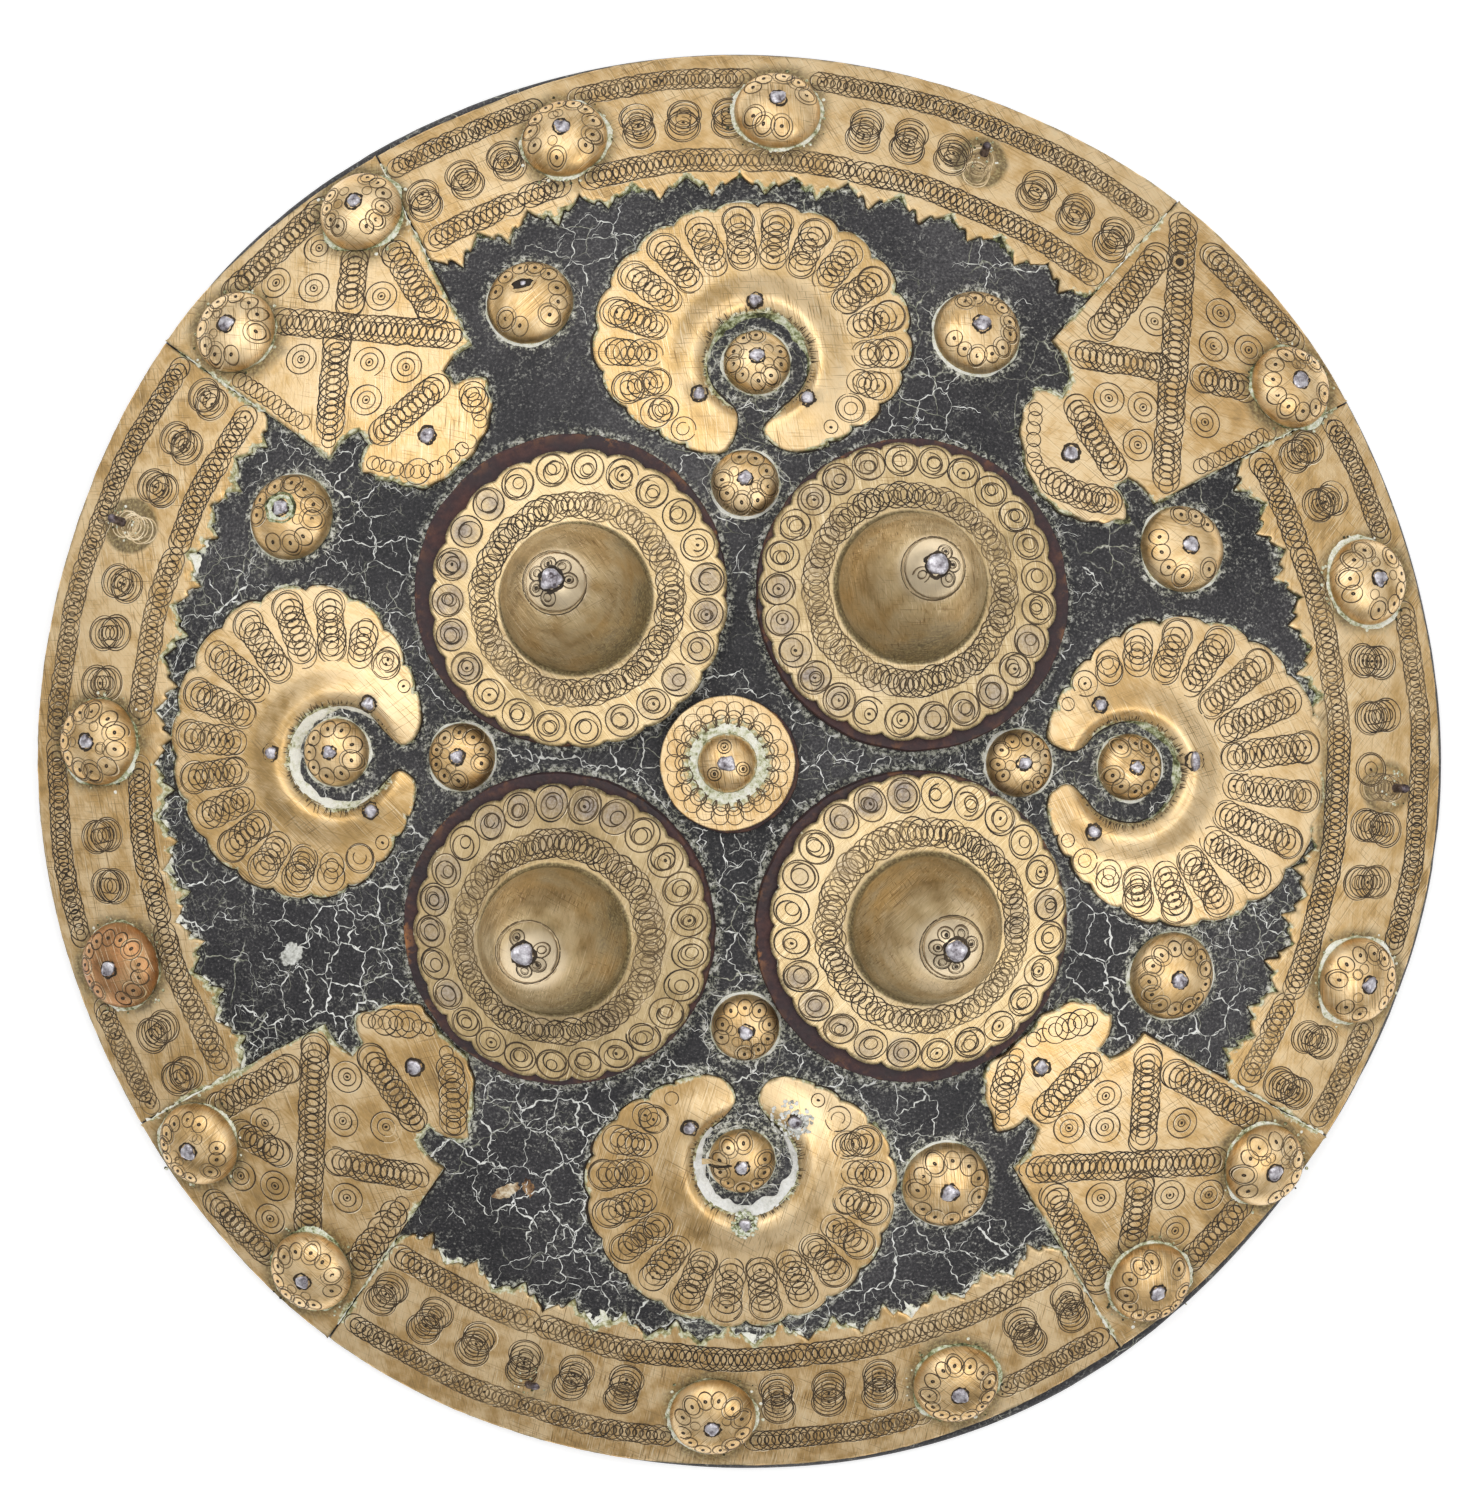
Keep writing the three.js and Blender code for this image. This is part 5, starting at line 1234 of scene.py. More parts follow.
for k, o in PLATE_ORNAMENT.items():
    s = sheets['corner_plate_' + k]
    items = []
    for p, q in o['chains']:
        items += chain(p, q, 3.9, 1.9, rnd, ends=0.0, off=0.14, inner=(0.52,), width=0.30, tone=0.34)
        e = (np.asarray(q) - np.asarray(p)) / np.hypot(*(np.asarray(q) - np.asarray(p)))
        items += [(p[0] - 0.6 * e[0], p[1] - 0.6 * e[1], 4.1, 0.30, 0.3), (q[0] + 0.6 * e[0], q[1] + 0.6 * e[1], 4.1, 0.30, 0.3)]
    tl = [spline(o['tail'], u) for u in np.linspace(0, 3, 20)]
    for c in tl:
        items += triple(c[0], c[1], 3.7 * rnd.uniform(0.95, 1.04), rnd, off=0.14, inner=(0.52,), width=0.30, tone=0.34)
    for c in o['circles']:
        items += triple(c[0], c[1], 4.25, rnd, off=0.08, inner=(0.58, 0.24), width=0.33, tone=0.38, dot=True)
    items = clear_discs(items, [(x, y, r + 0.8) for x, y, r in discs] + [(x, y, 2.4) for x, y in TAIL_RIVETS])
    engrave('engraving_corner_' + k, items, s['face'], s['poly'])

for k, c in CRESCENTS.items():
    s = sheets['crescent_' + k]
    loc, plan = crescent_frame(c)
    hole = loc(c['hole'])
    span = rad(LOBE_SPAN)
    items = []
    step = 2 * span / LOBES
    for i in range(LOBES):
        phi = -span + (i + 0.5) * step
        out = ray_out(c, hole, phi)
        R = min(3.9, out * math.sin(step / 2) * 1.16)
        r0, r1 = 25.0 + R * 0.55 + (1.5 if 2 < i < 15 else 0), out - 1.5 - R
        if r1 <= r0:
            r0 = r1 = (r0 + r1) / 2
        d = np.array([math.cos(phi), math.sin(phi)])
        n = max(1, int(round((r1 - r0) / 1.95)) + 1)
        for r in np.linspace(r0, r1, n):
            q = plan(hole + d * r + rnd.uniform(-0.12, 0.12, 2))
            grow = 1.0 if r > 30 else 0.88
            items += triple(q[0], q[1], R * grow * rnd.uniform(0.94, 1.05), rnd, off=0.15, inner=(0.52,), width=0.28,
                            tone=0.38, dot=rnd.random() < 0.35)
        if i % 4 != 2:
            q = plan(hole + d * r1)
            items.append((q[0], q[1], R + 0.5, 0.28, 0.5))
        if i % 2 == 1:
            q = plan(hole + d * r0)
            items.append((q[0], q[1], R * 0.88 + 0.5, 0.26, 0.55))
    items = clear_discs(items, [(x, y, 3.4) for x, y in CRESCENT_RIVETS])
    engrave('engraving_crescent_' + k, items, s['face'], s['poly'])


# ------------------------------------------------------------------ tall bosses and their washers
def washer(name, x, y, r, t, seed, frays=()):
    o, n, e1, e2 = tangent_frame(x, y, GAP)
    k = 150
    a = np.linspace(0, 2 * math.pi, k, endpoint=False)
    edge = r - 0.12 + 0.30 * fbm(a * 7, a * 0, seed) - 0.5 * np.clip(fbm(a * 16, a * 0 + 3, seed + 1) - 0.4, 0, 1)
    fray = 0.15 + 0.5 * np.clip(fbm(a * 5, a * 0 + 9, seed + 2), 0, 1)
    for deg, wd in frays:
        d = (np.degrees(a) - deg + 180) % 360 - 180
        fray += 1.0 * np.exp(-(d / wd) ** 2)
        edge += 0.5 * np.exp(-(d / wd) ** 2) * noise(a * 60, a * 0, seed + 4)
    rows, fr = [], []
    for f, z in ((0.5, 0.0), (1.0, 0.0), (1.0, 0.0)):
        q = ring(o, e1, e2, edge * f, a)
        if f == 1.0 and len(rows) == 1:
            rows.append(on_dome(q[:, :2], GAP + 0.02))
        elif f == 1.0:
            rows.append(on_dome(q[:, :2], GAP + 0.5))
        else:
            rows.append(on_dome(q[:, :2], GAP))
        fr.append(fray * (0.4 if f == 1 else 0))
    for inset, z in ((0.0, t - 0.5), (0.25, t - 0.12), (0.9, t), (3.2, t)):
        q = ring(o, e1, e2, edge - inset, a) + n * z
        rows.append(q + n * (0.05 * fbm(q[:, 0] / 3, q[:, 1] / 3, seed))[:, None])
        fr.append(fray * (1.0 if inset < 0.5 else (0.6 if inset < 1 else 0.0)))
    V, F = lathe(rows, o + n * t, o)
    make('leather_' + name, V, F, M_WASHER, 'washer_leather', (name,), attrs={'fray': np.concatenate(fr + [[0.0], [0.0]])})


def boss_frame(b):
    lift = GAP + WASHER_T + GAP
    o, n, e1, e2 = tangent_frame(b['base'][0], b['base'][1], lift)
    fm = on_dome([b['flange']], lift)[0]
    fm = fm - n * np.dot(fm - o, n)
    top = o + n * FLANGE_T
    tip = np.array([b['tip'][0], b['tip'][1], top[2] + BELL_H * n[2]])
    return o, n, e1, e2, fm, top, (tip - top) / BELL_H


def bell_radius(k):
    return BELL_R * np.maximum(0, 1 - k ** BELL_POWER) ** (1 / BELL_POWER)


rivets = Bag()
dark = Bag()          # painted shade rings round the feet of rivets, and dark fills and strokes
white = Bag()         # chalky deposits
RESIDUE = {'upper_left': (120, 215), 'upper_right': (180, 245), 'lower_left': (60, 125), 'lower_right': (95, 130)}
RESIDUE_LESS = {'upper_left': (300, 20), 'upper_right': (270, 350), 'lower_left': (150, 215), 'lower_right': (200, 250)}
for bi, (name, b) in enumerate(BOSSES.items()):
    washer('washer_' + name, b['washer'][0], b['washer'][1], WASHER_R, WASHER_T, 81 + bi,
           frays={'lower_left': [(185, 9)], 'lower_right': [(185, 7)], 'upper_left': [(78, 5)], 'upper_right': [(120, 4)]}[name])
    o, n, e1, e2, fm, top, lean = boss_frame(b)
    K = b['lobes'] * 12
    a = np.linspace(0, 2 * math.pi, K, endpoint=False)
    ph = (a * b['lobes'] / (2 * math.pi)) % 1.0
    rr = np.random.default_rng(500 + bi)
    depth = np.repeat(rr.uniform(0.7, 1.35, b['lobes']), 12) * 1.15
    # lobes bulge between sharp notches; the notches sit where the CAD has them
    edge = FLANGE_R - depth * np.abs(2 * ph - 1) ** 2.6 + 0.12 * fbm(a * 9, a * 0, 90 + bi)
    wave = 0.16 * fbm(np.cos(a) * 1.5 + bi * 3, np.sin(a) * 1.5, 95)
    rows, st = [], []
    rows.append(ring(fm, e1, e2, BELL_R + 6.0, a)); st.append(0 * a)
    rows.append(ring(fm, e1, e2, edge - 0.1, a)); st.append(0.6 + 0 * a)
    rows.append(ring(fm, e1, e2, edge, a) + n * 0.25); st.append(0.9 + 0 * a)
    rows.append(ring(fm, e1, e2, edge, a) + n * (FLANGE_T - 0.22)); st.append(0.8 + 0 * a)
    rows.append(ring(fm, e1, e2, edge - 0.22, a) + n * FLANGE_T); st.append(0.5 + 0 * a)
    for q in (38.0, 36.4, 34.6, 32.8, 31.0, 29.2, 27.0, 24.5, 22.6):
        mid = fm + (top - n * FLANGE_T - fm) * np.clip((38 - q) / 16, 0, 1)
        rows.append(ring(mid, e1, e2, np.minimum(edge - 0.9, q), a) + n * (FLANGE_T + 0.05 * fbm(a * 6, a * 0 + q, 96 + bi))[:, None]); st.append(0.03 + 0 * a)
    rows.append(ring(top, e1, e2, BELL_R + 1.35, a)); st.append(0.05 + 0 * a)
    rows.append(ring(top, e1, e2, BELL_R + 0.65, a) + n * 0.15); st.append(0.05 + 0 * a)
    rows.append(ring(top, e1, e2, BELL_R + 0.15, a) + n * 0.65); st.append(0.05 + 0 * a)
    ks = np.concatenate([np.linspace(0.045, 0.90, 26), [0.93, 0.955, 0.975, 0.99, 0.9975]])
    for kk in ks:
        c = top + lean * BELL_H * kk
        r = bell_radius(kk) * (1 + 0.010 * fbm(np.cos(a) * 1.3 + bi, np.sin(a) * 1.3 + kk * 4, 97) + (0.004 * np.sin(kk * 120)))
        step = 0.32 / (1 + math.exp(-(kk - 0.845) * 260))
        rows.append(ring(c, e1, e2, np.maximum(0.2, r - step * 0.6), a)); st.append(0 * a + 0.02)
    apex = top + lean * BELL_H
    V, F = lathe(rows, apex, fm)
    stv = np.concatenate(st + [[0.0], [0.0]])
    # grey-lilac residue in some of the engraved groups, and painted shade: a dark line where the bell meets the flange
    d = V - (fm + n * FLANGE_T)
    u, v, w = d @ e1, d @ e2, d @ n
    rho, the = np.hypot(u, v), np.degrees(np.arctan2(v, u)) % 360
    patina = np.zeros(len(V))
    for i in range(b['lobes']):
        t = 2 * math.pi * (i + 0.5) / b['lobes']
        lo_, hi_ = RESIDUE[name]
        inn = (math.degrees(t) - lo_) % 360 < (hi_ - lo_) % 360
        lo2_, hi2_ = RESIDUE_LESS[name]
        less = (math.degrees(t) - lo2_) % 360 < (hi2_ - lo2_) % 360
        amount = rr.uniform(0.55, 1.0) if inn else rr.uniform(0.25, 0.75) if less else (rr.uniform(0.2, 0.6) if rr.random() < 0.15 else 0.0)
        q = np.hypot(u - 34.35 * math.cos(t), v - 34.35 * math.sin(t))
        patina = np.maximum(patina, amount * np.exp(-(q / 3.9) ** 6) * (w < 0.6))
    patina = np.maximum(patina, 0.35 * np.exp(-((rho - 24.9) / 3.4) ** 4) * (w < 0.6) * np.clip(0.4 + noise(u / 5, v / 5, 730 + bi), 0, 1))
    dt = V - top
    rt = np.hypot(dt @ e1, dt @ e2)
    foot = 1.1 * np.exp(-((rt - BELL_R - 0.3) / 0.7) ** 2) * (np.abs(dt @ n) < 2.5)
    z = dt @ n
    # painted shade: the bell's wall darker towards its foot and on its lower-right side, away from the key light
    away = (0.64 * u - 0.77 * v) / np.maximum(rho, 1.0)
    wall = (0.66 + 0.34 * away) * np.clip(1.12 - z / 30.0, 0, 1) * (z > 0.5) * (0.8 + 0.5 * noise(u / 7, v / 7, 740 + bi))
    # painted highlight: the top of the bell, round its tip, made pale
    painted_tip_highlight = 0.78 * np.exp(-(rt / 8.3) ** 10) * (z > 5)
    mat = brass("brass_boss_" + name, 21 + bi, turn=0.4 + bi * 0.5, mid=(0.50, 0.37, 0.19), dark=(0.36, 0.265, 0.13), light=(0.70, 0.545, 0.31))
    # painted shade also outlines the flange's edge rows in dark
    make('brass_boss_' + name, V, F, mat, 'brass', ('boss_' + name,),
         attrs={'stain': 0.35 * stv, 'patina': patina, 'soot': np.maximum(np.maximum(foot, wall), 0.8 * (stv > 0.4)), 'painted_tip_highlight': painted_tip_highlight})

    # engraving: one group of circles on each lobe, a loose chain round the bell, petals at the point
    items = []
    for i in range(b['lobes']):
        t = 2 * math.pi * (i + 0.5) / b['lobes']
        c = np.array([34.35 * math.cos(t), 34.35 * math.sin(t)]) + rr.uniform(-0.25, 0.25, 2)
        items.append((c[0], c[1], 4.25, 0.34, 0.35 + rr.uniform(-0.2, 0.25)))
        off = rr.uniform(0.5, 1.1)
        oa = rr.uniform(0, 2 * math.pi)
        ov = np.array([math.cos(oa), math.sin(oa)])
        c2 = c + off * ov
        items.append((c2[0], c2[1], 3.0, 0.33, 0.35 + rr.uniform(-0.2, 0.25)))
        c3 = c - 0.35 * off * ov
        items.append((c3[0], c3[1], rr.choice([1.5, 1.7, 2.1]), 0.31, 0.35 + rr.uniform(-0.2, 0.25)))
        if rr.random() < 0.55:
            items.append((c[0] - 0.45 * ov[0], c[1] - 0.45 * ov[1], 3.75, 0.26, 0.6))
        if rr.random() < 0.55:
            c4 = c + 0.9 * off * np.array([-ov[1], ov[0]])
            items.append((c4[0], c4[1], rr.uniform(1.4, 2.0), 0.27, 0.5))
        if rr.random() < 0.3:
            items.append((c[0], c[1], 0.25, 0.4, 0.2))
    m = int(2 * math.pi * 24.95 / 2.1)
    t = 0.0
    while t < 2 * math.pi:
        c = (24.95 + rr.uniform(-0.45, 0.45)) * np.array([math.cos(t), math.sin(t)])
        pale = 0.55 + 0.3 * math.sin(2 * t + bi)
        items += triple(c[0], c[1], 3.45 * rr.uniform(0.92, 1.05), rr, off=0.4, inner=(0.55,), width=0.28, tone=pale)
        t += rr.uniform(1.3, 2.5) / 24.95
    bag = Bag()

    def on_flange(P, lift):
        r = np.hypot(P[:, 0], P[:, 1])
        f = np.clip((38 - r) / 16, 0, 1)[:, None]
        mid = fm * (1 - f) + (top - n * FLANGE_T) * f
        return mid + P[:, 0:1] * e1 + P[:, 1:2] * e2 + n * (FLANGE_T + 0.035 + lift)[:, None]
    circles_mesh(bag, items, on_flange, False, 600 + bi)

    def on_bell(P, lift):
        r = np.hypot(P[:, 0], P[:, 1])
        k = np.maximum(0, 1 - (np.clip(r, 0, BELL_R) / BELL_R) ** BELL_POWER) ** (1 / BELL_POWER)
        return top + lean * (BELL_H * k)[:, None] + P[:, 0:1] * e1 + P[:, 1:2] * e2 + n * (lift + 0.05)[:, None]
    items = [(0, 0, 8.35, 0.22, 0.55), (0.2, 0.1, 7.9, 0.16, 0.9)]
    for i in range(7):
        t = 2 * math.pi * i / 7 + bi
        if rr.random() < 0.25:
            continue
        c = 4.5 * np.array([math.cos(t), math.sin(t)])
        items.append((c[0], c[1], 2.0, 0.26, 0.45 + rr.uniform(-0.2, 0.2)))
        items.append((c[0] + rr.uniform(-0.2, 0.2), c[1] + rr.uniform(-0.2, 0.2), 1.0, 0.24, 0.5))
        if i % 2 == 0:
            items.append((c[0], c[1], 0.3, 0.45, 0.15))
    circles_mesh(bag, items, on_bell, False, 650 + bi)
    bag.build('engraving_boss_' + name, M_LINE, 'brass', closed=False, sharp=0)
    lump(rivets, apex - n * 0.25, n, e1, e2, 2.75, 1.0, 700 + bi, k=20, wobble=0.22)
    # painted shade: a dark ring round the foot of the rivet at the bell's tip
    ra = np.linspace(0, 2 * math.pi, 40, endpoint=False)
    rim = 3.05 + 0.35 * noise(ra * 3, ra * 0, 88 + bi)
    V, F = ribbon(on_bell(np.column_stack([rim * np.cos(ra), rim * np.sin(ra)]), np.full(40, 0.12)), 0.9 + 0.5 * noise(ra * 5, ra * 0, 89), np.tile(n, (40, 1)), True)
    dark.add(V, F, tone=np.full(len(V), 0.1))

# ------------------------------------------------------------------ middle boss
washer('washer_middle', MIDDLE['washer'][0], MIDDLE['washer'][1], MIDDLE['washer_r'], MIDDLE['washer_t'], 91)
o, n, e1, e2 = tangent_frame(MIDDLE['at'][0], MIDDLE['at'][1], GAP + MIDDLE['washer_t'] + GAP)
K = 132
a = np.linspace(0, 2 * math.pi, K, endpoint=False)
edge = MIDDLE['flange_r'] + 0.12 * fbm(a * 6, a * 0, 92)
rows = [ring(o, e1, e2, edge - 0.1, a), ring(o, e1, e2, edge, a) + n * 0.2, ring(o, e1, e2, edge, a) + n * 0.72,
        ring(o, e1, e2, edge - 0.22, a) + n * 0.9, ring(o, e1, e2, 14.0, a) + n * 0.92, ring(o, e1, e2, 10.0, a) + n * 0.92,
        ring(o, e1, e2, 8.6, a) + n * 0.95, ring(o, e1, e2, 7.95, a) + n * 1.2]
for kk in (0.12, 0.25, 0.38, 0.5, 0.62, 0.73, 0.83, 0.91, 0.97, 0.993):
    rows.append(ring(o, e1, e2, MIDDLE['dome_r'] * math.sqrt(1 - kk * kk) * (1 + 0.012 * fbm(np.cos(a) + kk, np.sin(a), 93)), a) + n * (0.9 + MIDDLE['dome_h'] * kk))
V, F = lathe(rows, o + n * (0.9 + MIDDLE['dome_h']), o)
rv = np.hypot((V - o) @ e1, (V - o) @ e2)
make('brass_boss_middle', V, F, brass("brass_boss_middle", 27, turn=0.9, mid=(0.63, 0.42, 0.19)), 'brass', ('boss_middle',),
     attrs={'stain': np.exp(-((rv - 9.0) / 1.6) ** 2) * 1.0 + 0.25 * np.exp(-((rv - 17.6) / 1.0) ** 2), 'edge': rv * 0 + 6})
items = []
for R, r1, cnt in ((14.4, 3.2, 22), (11.6, 2.2, 22)):
    for i in range(cnt):
        t = 2 * math.pi * i / cnt
        items.append((R * math.cos(t), R * math.sin(t), r1 * rnd.uniform(0.95, 1.05), 0.28, 0.45 + rnd.uniform(-0.2, 0.2)))
        items.append(((R - 0.5) * math.cos(t), (R - 0.5) * math.sin(t), r1 * 0.72, 0.24, 0.5))
bag = Bag()
circles_mesh(bag, [q for q in items if math.hypot(q[0], q[1]) + q[2] < 17.4], lambda P, lift: o + P[:, 0:1] * e1 + P[:, 1:2] * e2 + n * (0.93 + 0.02 + lift)[:, None], False, 31)


def on_knob(P, lift):
    r = np.hypot(P[:, 0], P[:, 1])
    k = np.sqrt(np.clip(1 - (r / MIDDLE['dome_r']) ** 2, 0, 1))
    return o + P[:, 0:1] * e1 + P[:, 1:2] * e2 + n * (0.9 + MIDDLE['dome_h'] * k + lift + 0.06)[:, None]


items = []
for i in range(3):
    t = rad(100 + 120 * i)
    items += [(4.4 * math.cos(t), 4.4 * math.sin(t), 1.8, 0.26, 0.4), (4.4 * math.cos(t), 4.4 * math.sin(t), 1.0, 0.24, 0.4), (4.4 * math.cos(t), 4.4 * math.sin(t), 0.3, 0.4, 0.1)]
circles_mesh(bag, items, on_knob, False, 32)
bag.build('engraving_boss_middle', M_LINE, 'brass', closed=False, sharp=0)
lump(rivets, o + n * (0.9 + MIDDLE['dome_h'] - 0.2), n, e1, e2, 2.1, 0.8, 720, wobble=0.3)


# ------------------------------------------------------------------ studs
def stud(name, x, y, r, h, lift, seed):
    o, n, e1, e2 = tangent_frame(x, y, lift)
    K = 60
    a = np.linspace(0, 2 * math.pi, K, endpoint=False)
    s = np.random.default_rng(seed)
    rows, lv = [], []
    out = r * (1 + 0.010 * fbm(np.cos(a) * 2 + seed, np.sin(a) * 2, seed))
    rows.append(ring(o, e1, e2, out - 0.05, a)); lv.append(0)
    dent = lambda rr, aa: 0.16 * fbm(rr * np.cos(aa) / 4.5 + seed, rr * np.sin(aa) / 4.5, seed + 1)
    for k in (0.03, 0.10, 0.20, 0.32, 0.45, 0.57, 0.68, 0.78, 0.86, 0.92, 0.965, 0.99):
        f = (1 - k ** STUD_POWER) ** (1 / STUD_POWER)
        z = h * k + dent(out * f, a) * min(1, k * 3) - 0.05
        rows.append(ring(o, e1, e2, out * f, a) + n * z[:, None])
        lv.append(k)
    V, F = lathe(rows, o + n * (h - 0.03), o)
    lv = np.concatenate([np.repeat(lv, K), [1.0], [0.0]])
    rv = np.hypot((V - o) @ e1, (V - o) @ e2)
    stain = np.exp(-lv / 0.05) * (0.8 if r > 10 else 0.6)
    mat = STUD_MATS[3] if name == 'stud_rim_left_low' else STUD_MATS[seed % 3]
    # painted shade: the stud's lower part is darkened all round; the stain at its very foot is crust
    make('brass_' + name, V, F, mat, 'brass', (name,), attrs={'stain': stain, 'soot': 0.55 * np.exp(-lv / 0.16)})

    def place(P, lift2):
        rr = np.hypot(P[:, 0], P[:, 1])
        k = np.maximum(0, 1 - (np.clip(rr, 0, r * 0.995) / r) ** STUD_POWER) ** (1 / STUD_POWER)
        aa = np.arctan2(P[:, 1], P[:, 0])
        z = h * k + dent(rr, aa) * np.minimum(1, k * 3) - 0.05
        return o + P[:, 0:1] * e1 + P[:, 1:2] * e2 + n * (z + lift2 + 0.03)[:, None]
    items = []
    cnt = int(s.integers(11, 14)) if r > 10 else int(s.integers(9, 12))
    R1 = (0.70 + 0.04 * s.random()) * r
    rc = R1 * math.sin(math.pi / cnt) * 1.0
    for i in range(cnt):
        if s.random() < (0.12 if r > 10 else 0.05):
            continue
        t = 2 * math.pi * (i + 0.5 + s.uniform(-0.12, 0.12)) / cnt
        c = (R1 + s.uniform(-0.25, 0.25)) * np.array([math.cos(t), math.sin(t)])
        tn = 0.45 + s.uniform(-0.2, 0.25)
        items += [(c[0], c[1], rc * s.uniform(0.9, 1.05), 0.25, tn), (c[0], c[1], 0.3, 0.42, 0.15)]
        if s.random() < 0.45:
            items.append((c[0] * 0.97, c[1] * 0.97, rc * 1.3, 0.20, 0.8))
    if s.random() < 0.5:      # a few loose petals near the rivet
        for i in range(int(s.integers(2, 5))):
            t = s.uniform(0, 2 * math.pi)
            c = 0.40 * r * np.array([math.cos(t), math.sin(t)])
            items.append((c[0], c[1], 1.35, 0.20, 0.8))
    bag = Bag()
    circles_mesh(bag, items, place, False, seed + 40)
    bag.build('engraving_' + name, M_LINE, 'brass', closed=False, sharp=0)
    ra = np.linspace(0, 2 * math.pi, 30, endpoint=False)
    spin = np.column_stack([np.cos(ra), np.sin(ra)])

    def disc(bag_, cx, cy, rx, ry, turn, lift_, **at):
        x0, y0 = rx * np.cos(ra), ry * np.sin(ra)
        wob = 1 + 0.12 * noise(np.cos(ra) * 2 + seed, np.sin(ra) * 2, seed + 60)
        P = np.column_stack([cx + wob * (x0 * math.cos(turn) - y0 * math.sin(turn)), cy + wob * (x0 * math.sin(turn) + y0 * math.cos(turn))])
        pts = [place(P, np.full(30, lift_)), place(P * 0.55 + 0.45 * np.array([cx, cy]), np.full(30, lift_ + 0.02)), place(np.array([[cx, cy]]), np.array([lift_ + 0.02]))]
        V, F = lathe(pts[:2], pts[2])
        bag_.add(V, F, **{k_: np.full(len(V), v_) for k_, v_ in at.items()})
        return P
    if name == 'stud_field_upper_left':
        # its rivet is gone: a torn slit with a turned-up lip
        P = disc(dark, -1.0, 2.9, 3.3, 1.9, 0.25, 0.06, tone=0.0)
        V, F = ribbon(place(P, 0.30 + 0.15 * noise(ra * 2, ra * 0, 5)), 0.75 + 0.3 * noise(ra * 3, ra * 0, 6), np.tile(n, (30, 1)), True)
        lips.add(V, F, stain=np.full(len(V), 0.2), soot=np.full(len(V), 0.45))
        c = place(np.array([[-0.7, 3.0]]), np.array([0.05]))[0]
        lump(rivets, c, n, e1, e2, 0.85, 0.5, seed + 9, k=10, wobble=0.4)
        return o, n, e1, e2
    rr = s.uniform(1.95, 2.25) if r > 10 else s.uniform(1.65, 1.85)
    shift = {'stud_field_left': (-0.6, 1.2), 'stud_small_bottom': (0.2, 0.0)}.get(name, (0, 0))
    apex = place(np.array([shift], float), np.array([-0.08]))[0]
    lump(rivets, apex, n, e1, e2, rr, s.uniform(0.6, 0.9), seed + 9, wobble=0.3, lean=s.uniform(-0.2, 0.2, 2))
    # painted shade: a dark ring round the rivet's foot
    rim = rr + 0.18 + 0.25 * noise(ra * 3, ra * 0, seed)
    V, F = ribbon(place(np.array(shift) + spin * rim[:, None], np.full(30, 0.06)), 0.55 + 0.4 * noise(ra * 5 + seed, ra * 0, 89), np.tile(n, (30, 1)), True)
    dark.add(V, F, tone=np.full(len(V), 0.05))
    if name == 'stud_field_left':
        for rad_h, w_h in ((2.9, 1.3), (3.9, 0.9)):
            V, F = ribbon(place(np.array(shift) + spin * (rad_h + 0.35 * noise(ra * 2, ra * 0, 7))[:, None], 0.10 + 0.08 * noise(ra * 5, ra * 0, 8)), w_h + 0.6 * noise(ra * 4, ra * 0, 9), np.tile(n, (30, 1)), True)
            halo.add(V, F, pale=np.full(len(V), 0.8 if rad_h < 3 else 0.4))
    if name == 'stud_window_bottom':
        # a torn notch from the edge towards the rivet, with a flap of brass left standing
        u = np.linspace(0, 1, 12)
        hw = 0.12 + 1.15 * u ** 0.8
        mid_ = np.column_stack([-2.6 - 6.3 * u, 0.55 - 0.4 * u])
        V = np.vstack([place(mid_ + np.column_stack([0 * u, hw]), 0 * u + 0.09), place(mid_ - np.column_stack([0 * u, hw]), 0 * u + 0.09)])
        i12 = np.arange(11)
        dark.add(V, [np.column_stack([i12, i12 + 12, i12 + 13, i12 + 1])], tone=np.full(len(V), 0.0))
        hw = 0.10 + 0.75 * u ** 0.7
        mid_ = np.column_stack([-4.0 - 6.6 * u, 0.9 - 0.2 * u])
        flat = place(np.array([[-4.0, 0.9]]), np.array([0.15]))[0]
        V = []
        for sg in (1, -1):
            P = mid_ + np.column_stack([0 * u, sg * hw])
            q = np.maximum(0, 1 - (np.minimum(np.hypot(P[:, 0], P[:, 1]), r * 0.93) / r) ** STUD_POWER) ** (1 / STUD_POWER)
            V.append(o + P[:, 0:1] * e1 + P[:, 1:2] * e2 + n * (h * q + 0.25)[:, None])
        V = np.vstack(V)
        lips.add(V, [np.column_stack([i12, i12 + 12, i12 + 13, i12 + 1])], stain=np.full(len(V), 0.1), soot=np.full(len(V), 0.25))
    return o, n, e1, e2


lips, halo = Bag(), Bag()
STUD_MATS = [brass("brass_stud_a", 31, turn=0.2, mid=(0.60, 0.40, 0.18)),
             brass("brass_stud_b", 32, turn=1.0, mid=(0.62, 0.415, 0.19)),
             brass("brass_stud_c", 33, turn=1.9, mid=(0.58, 0.385, 0.17)),
             brass("brass_stud_copper", 34, turn=0.7, dark=(0.20, 0.09, 0.035), mid=(0.42, 0.21, 0.09), light=(0.56, 0.33, 0.16))]
for i, s in enumerate(STUDS):
    stud(*s, seed=800 + i)

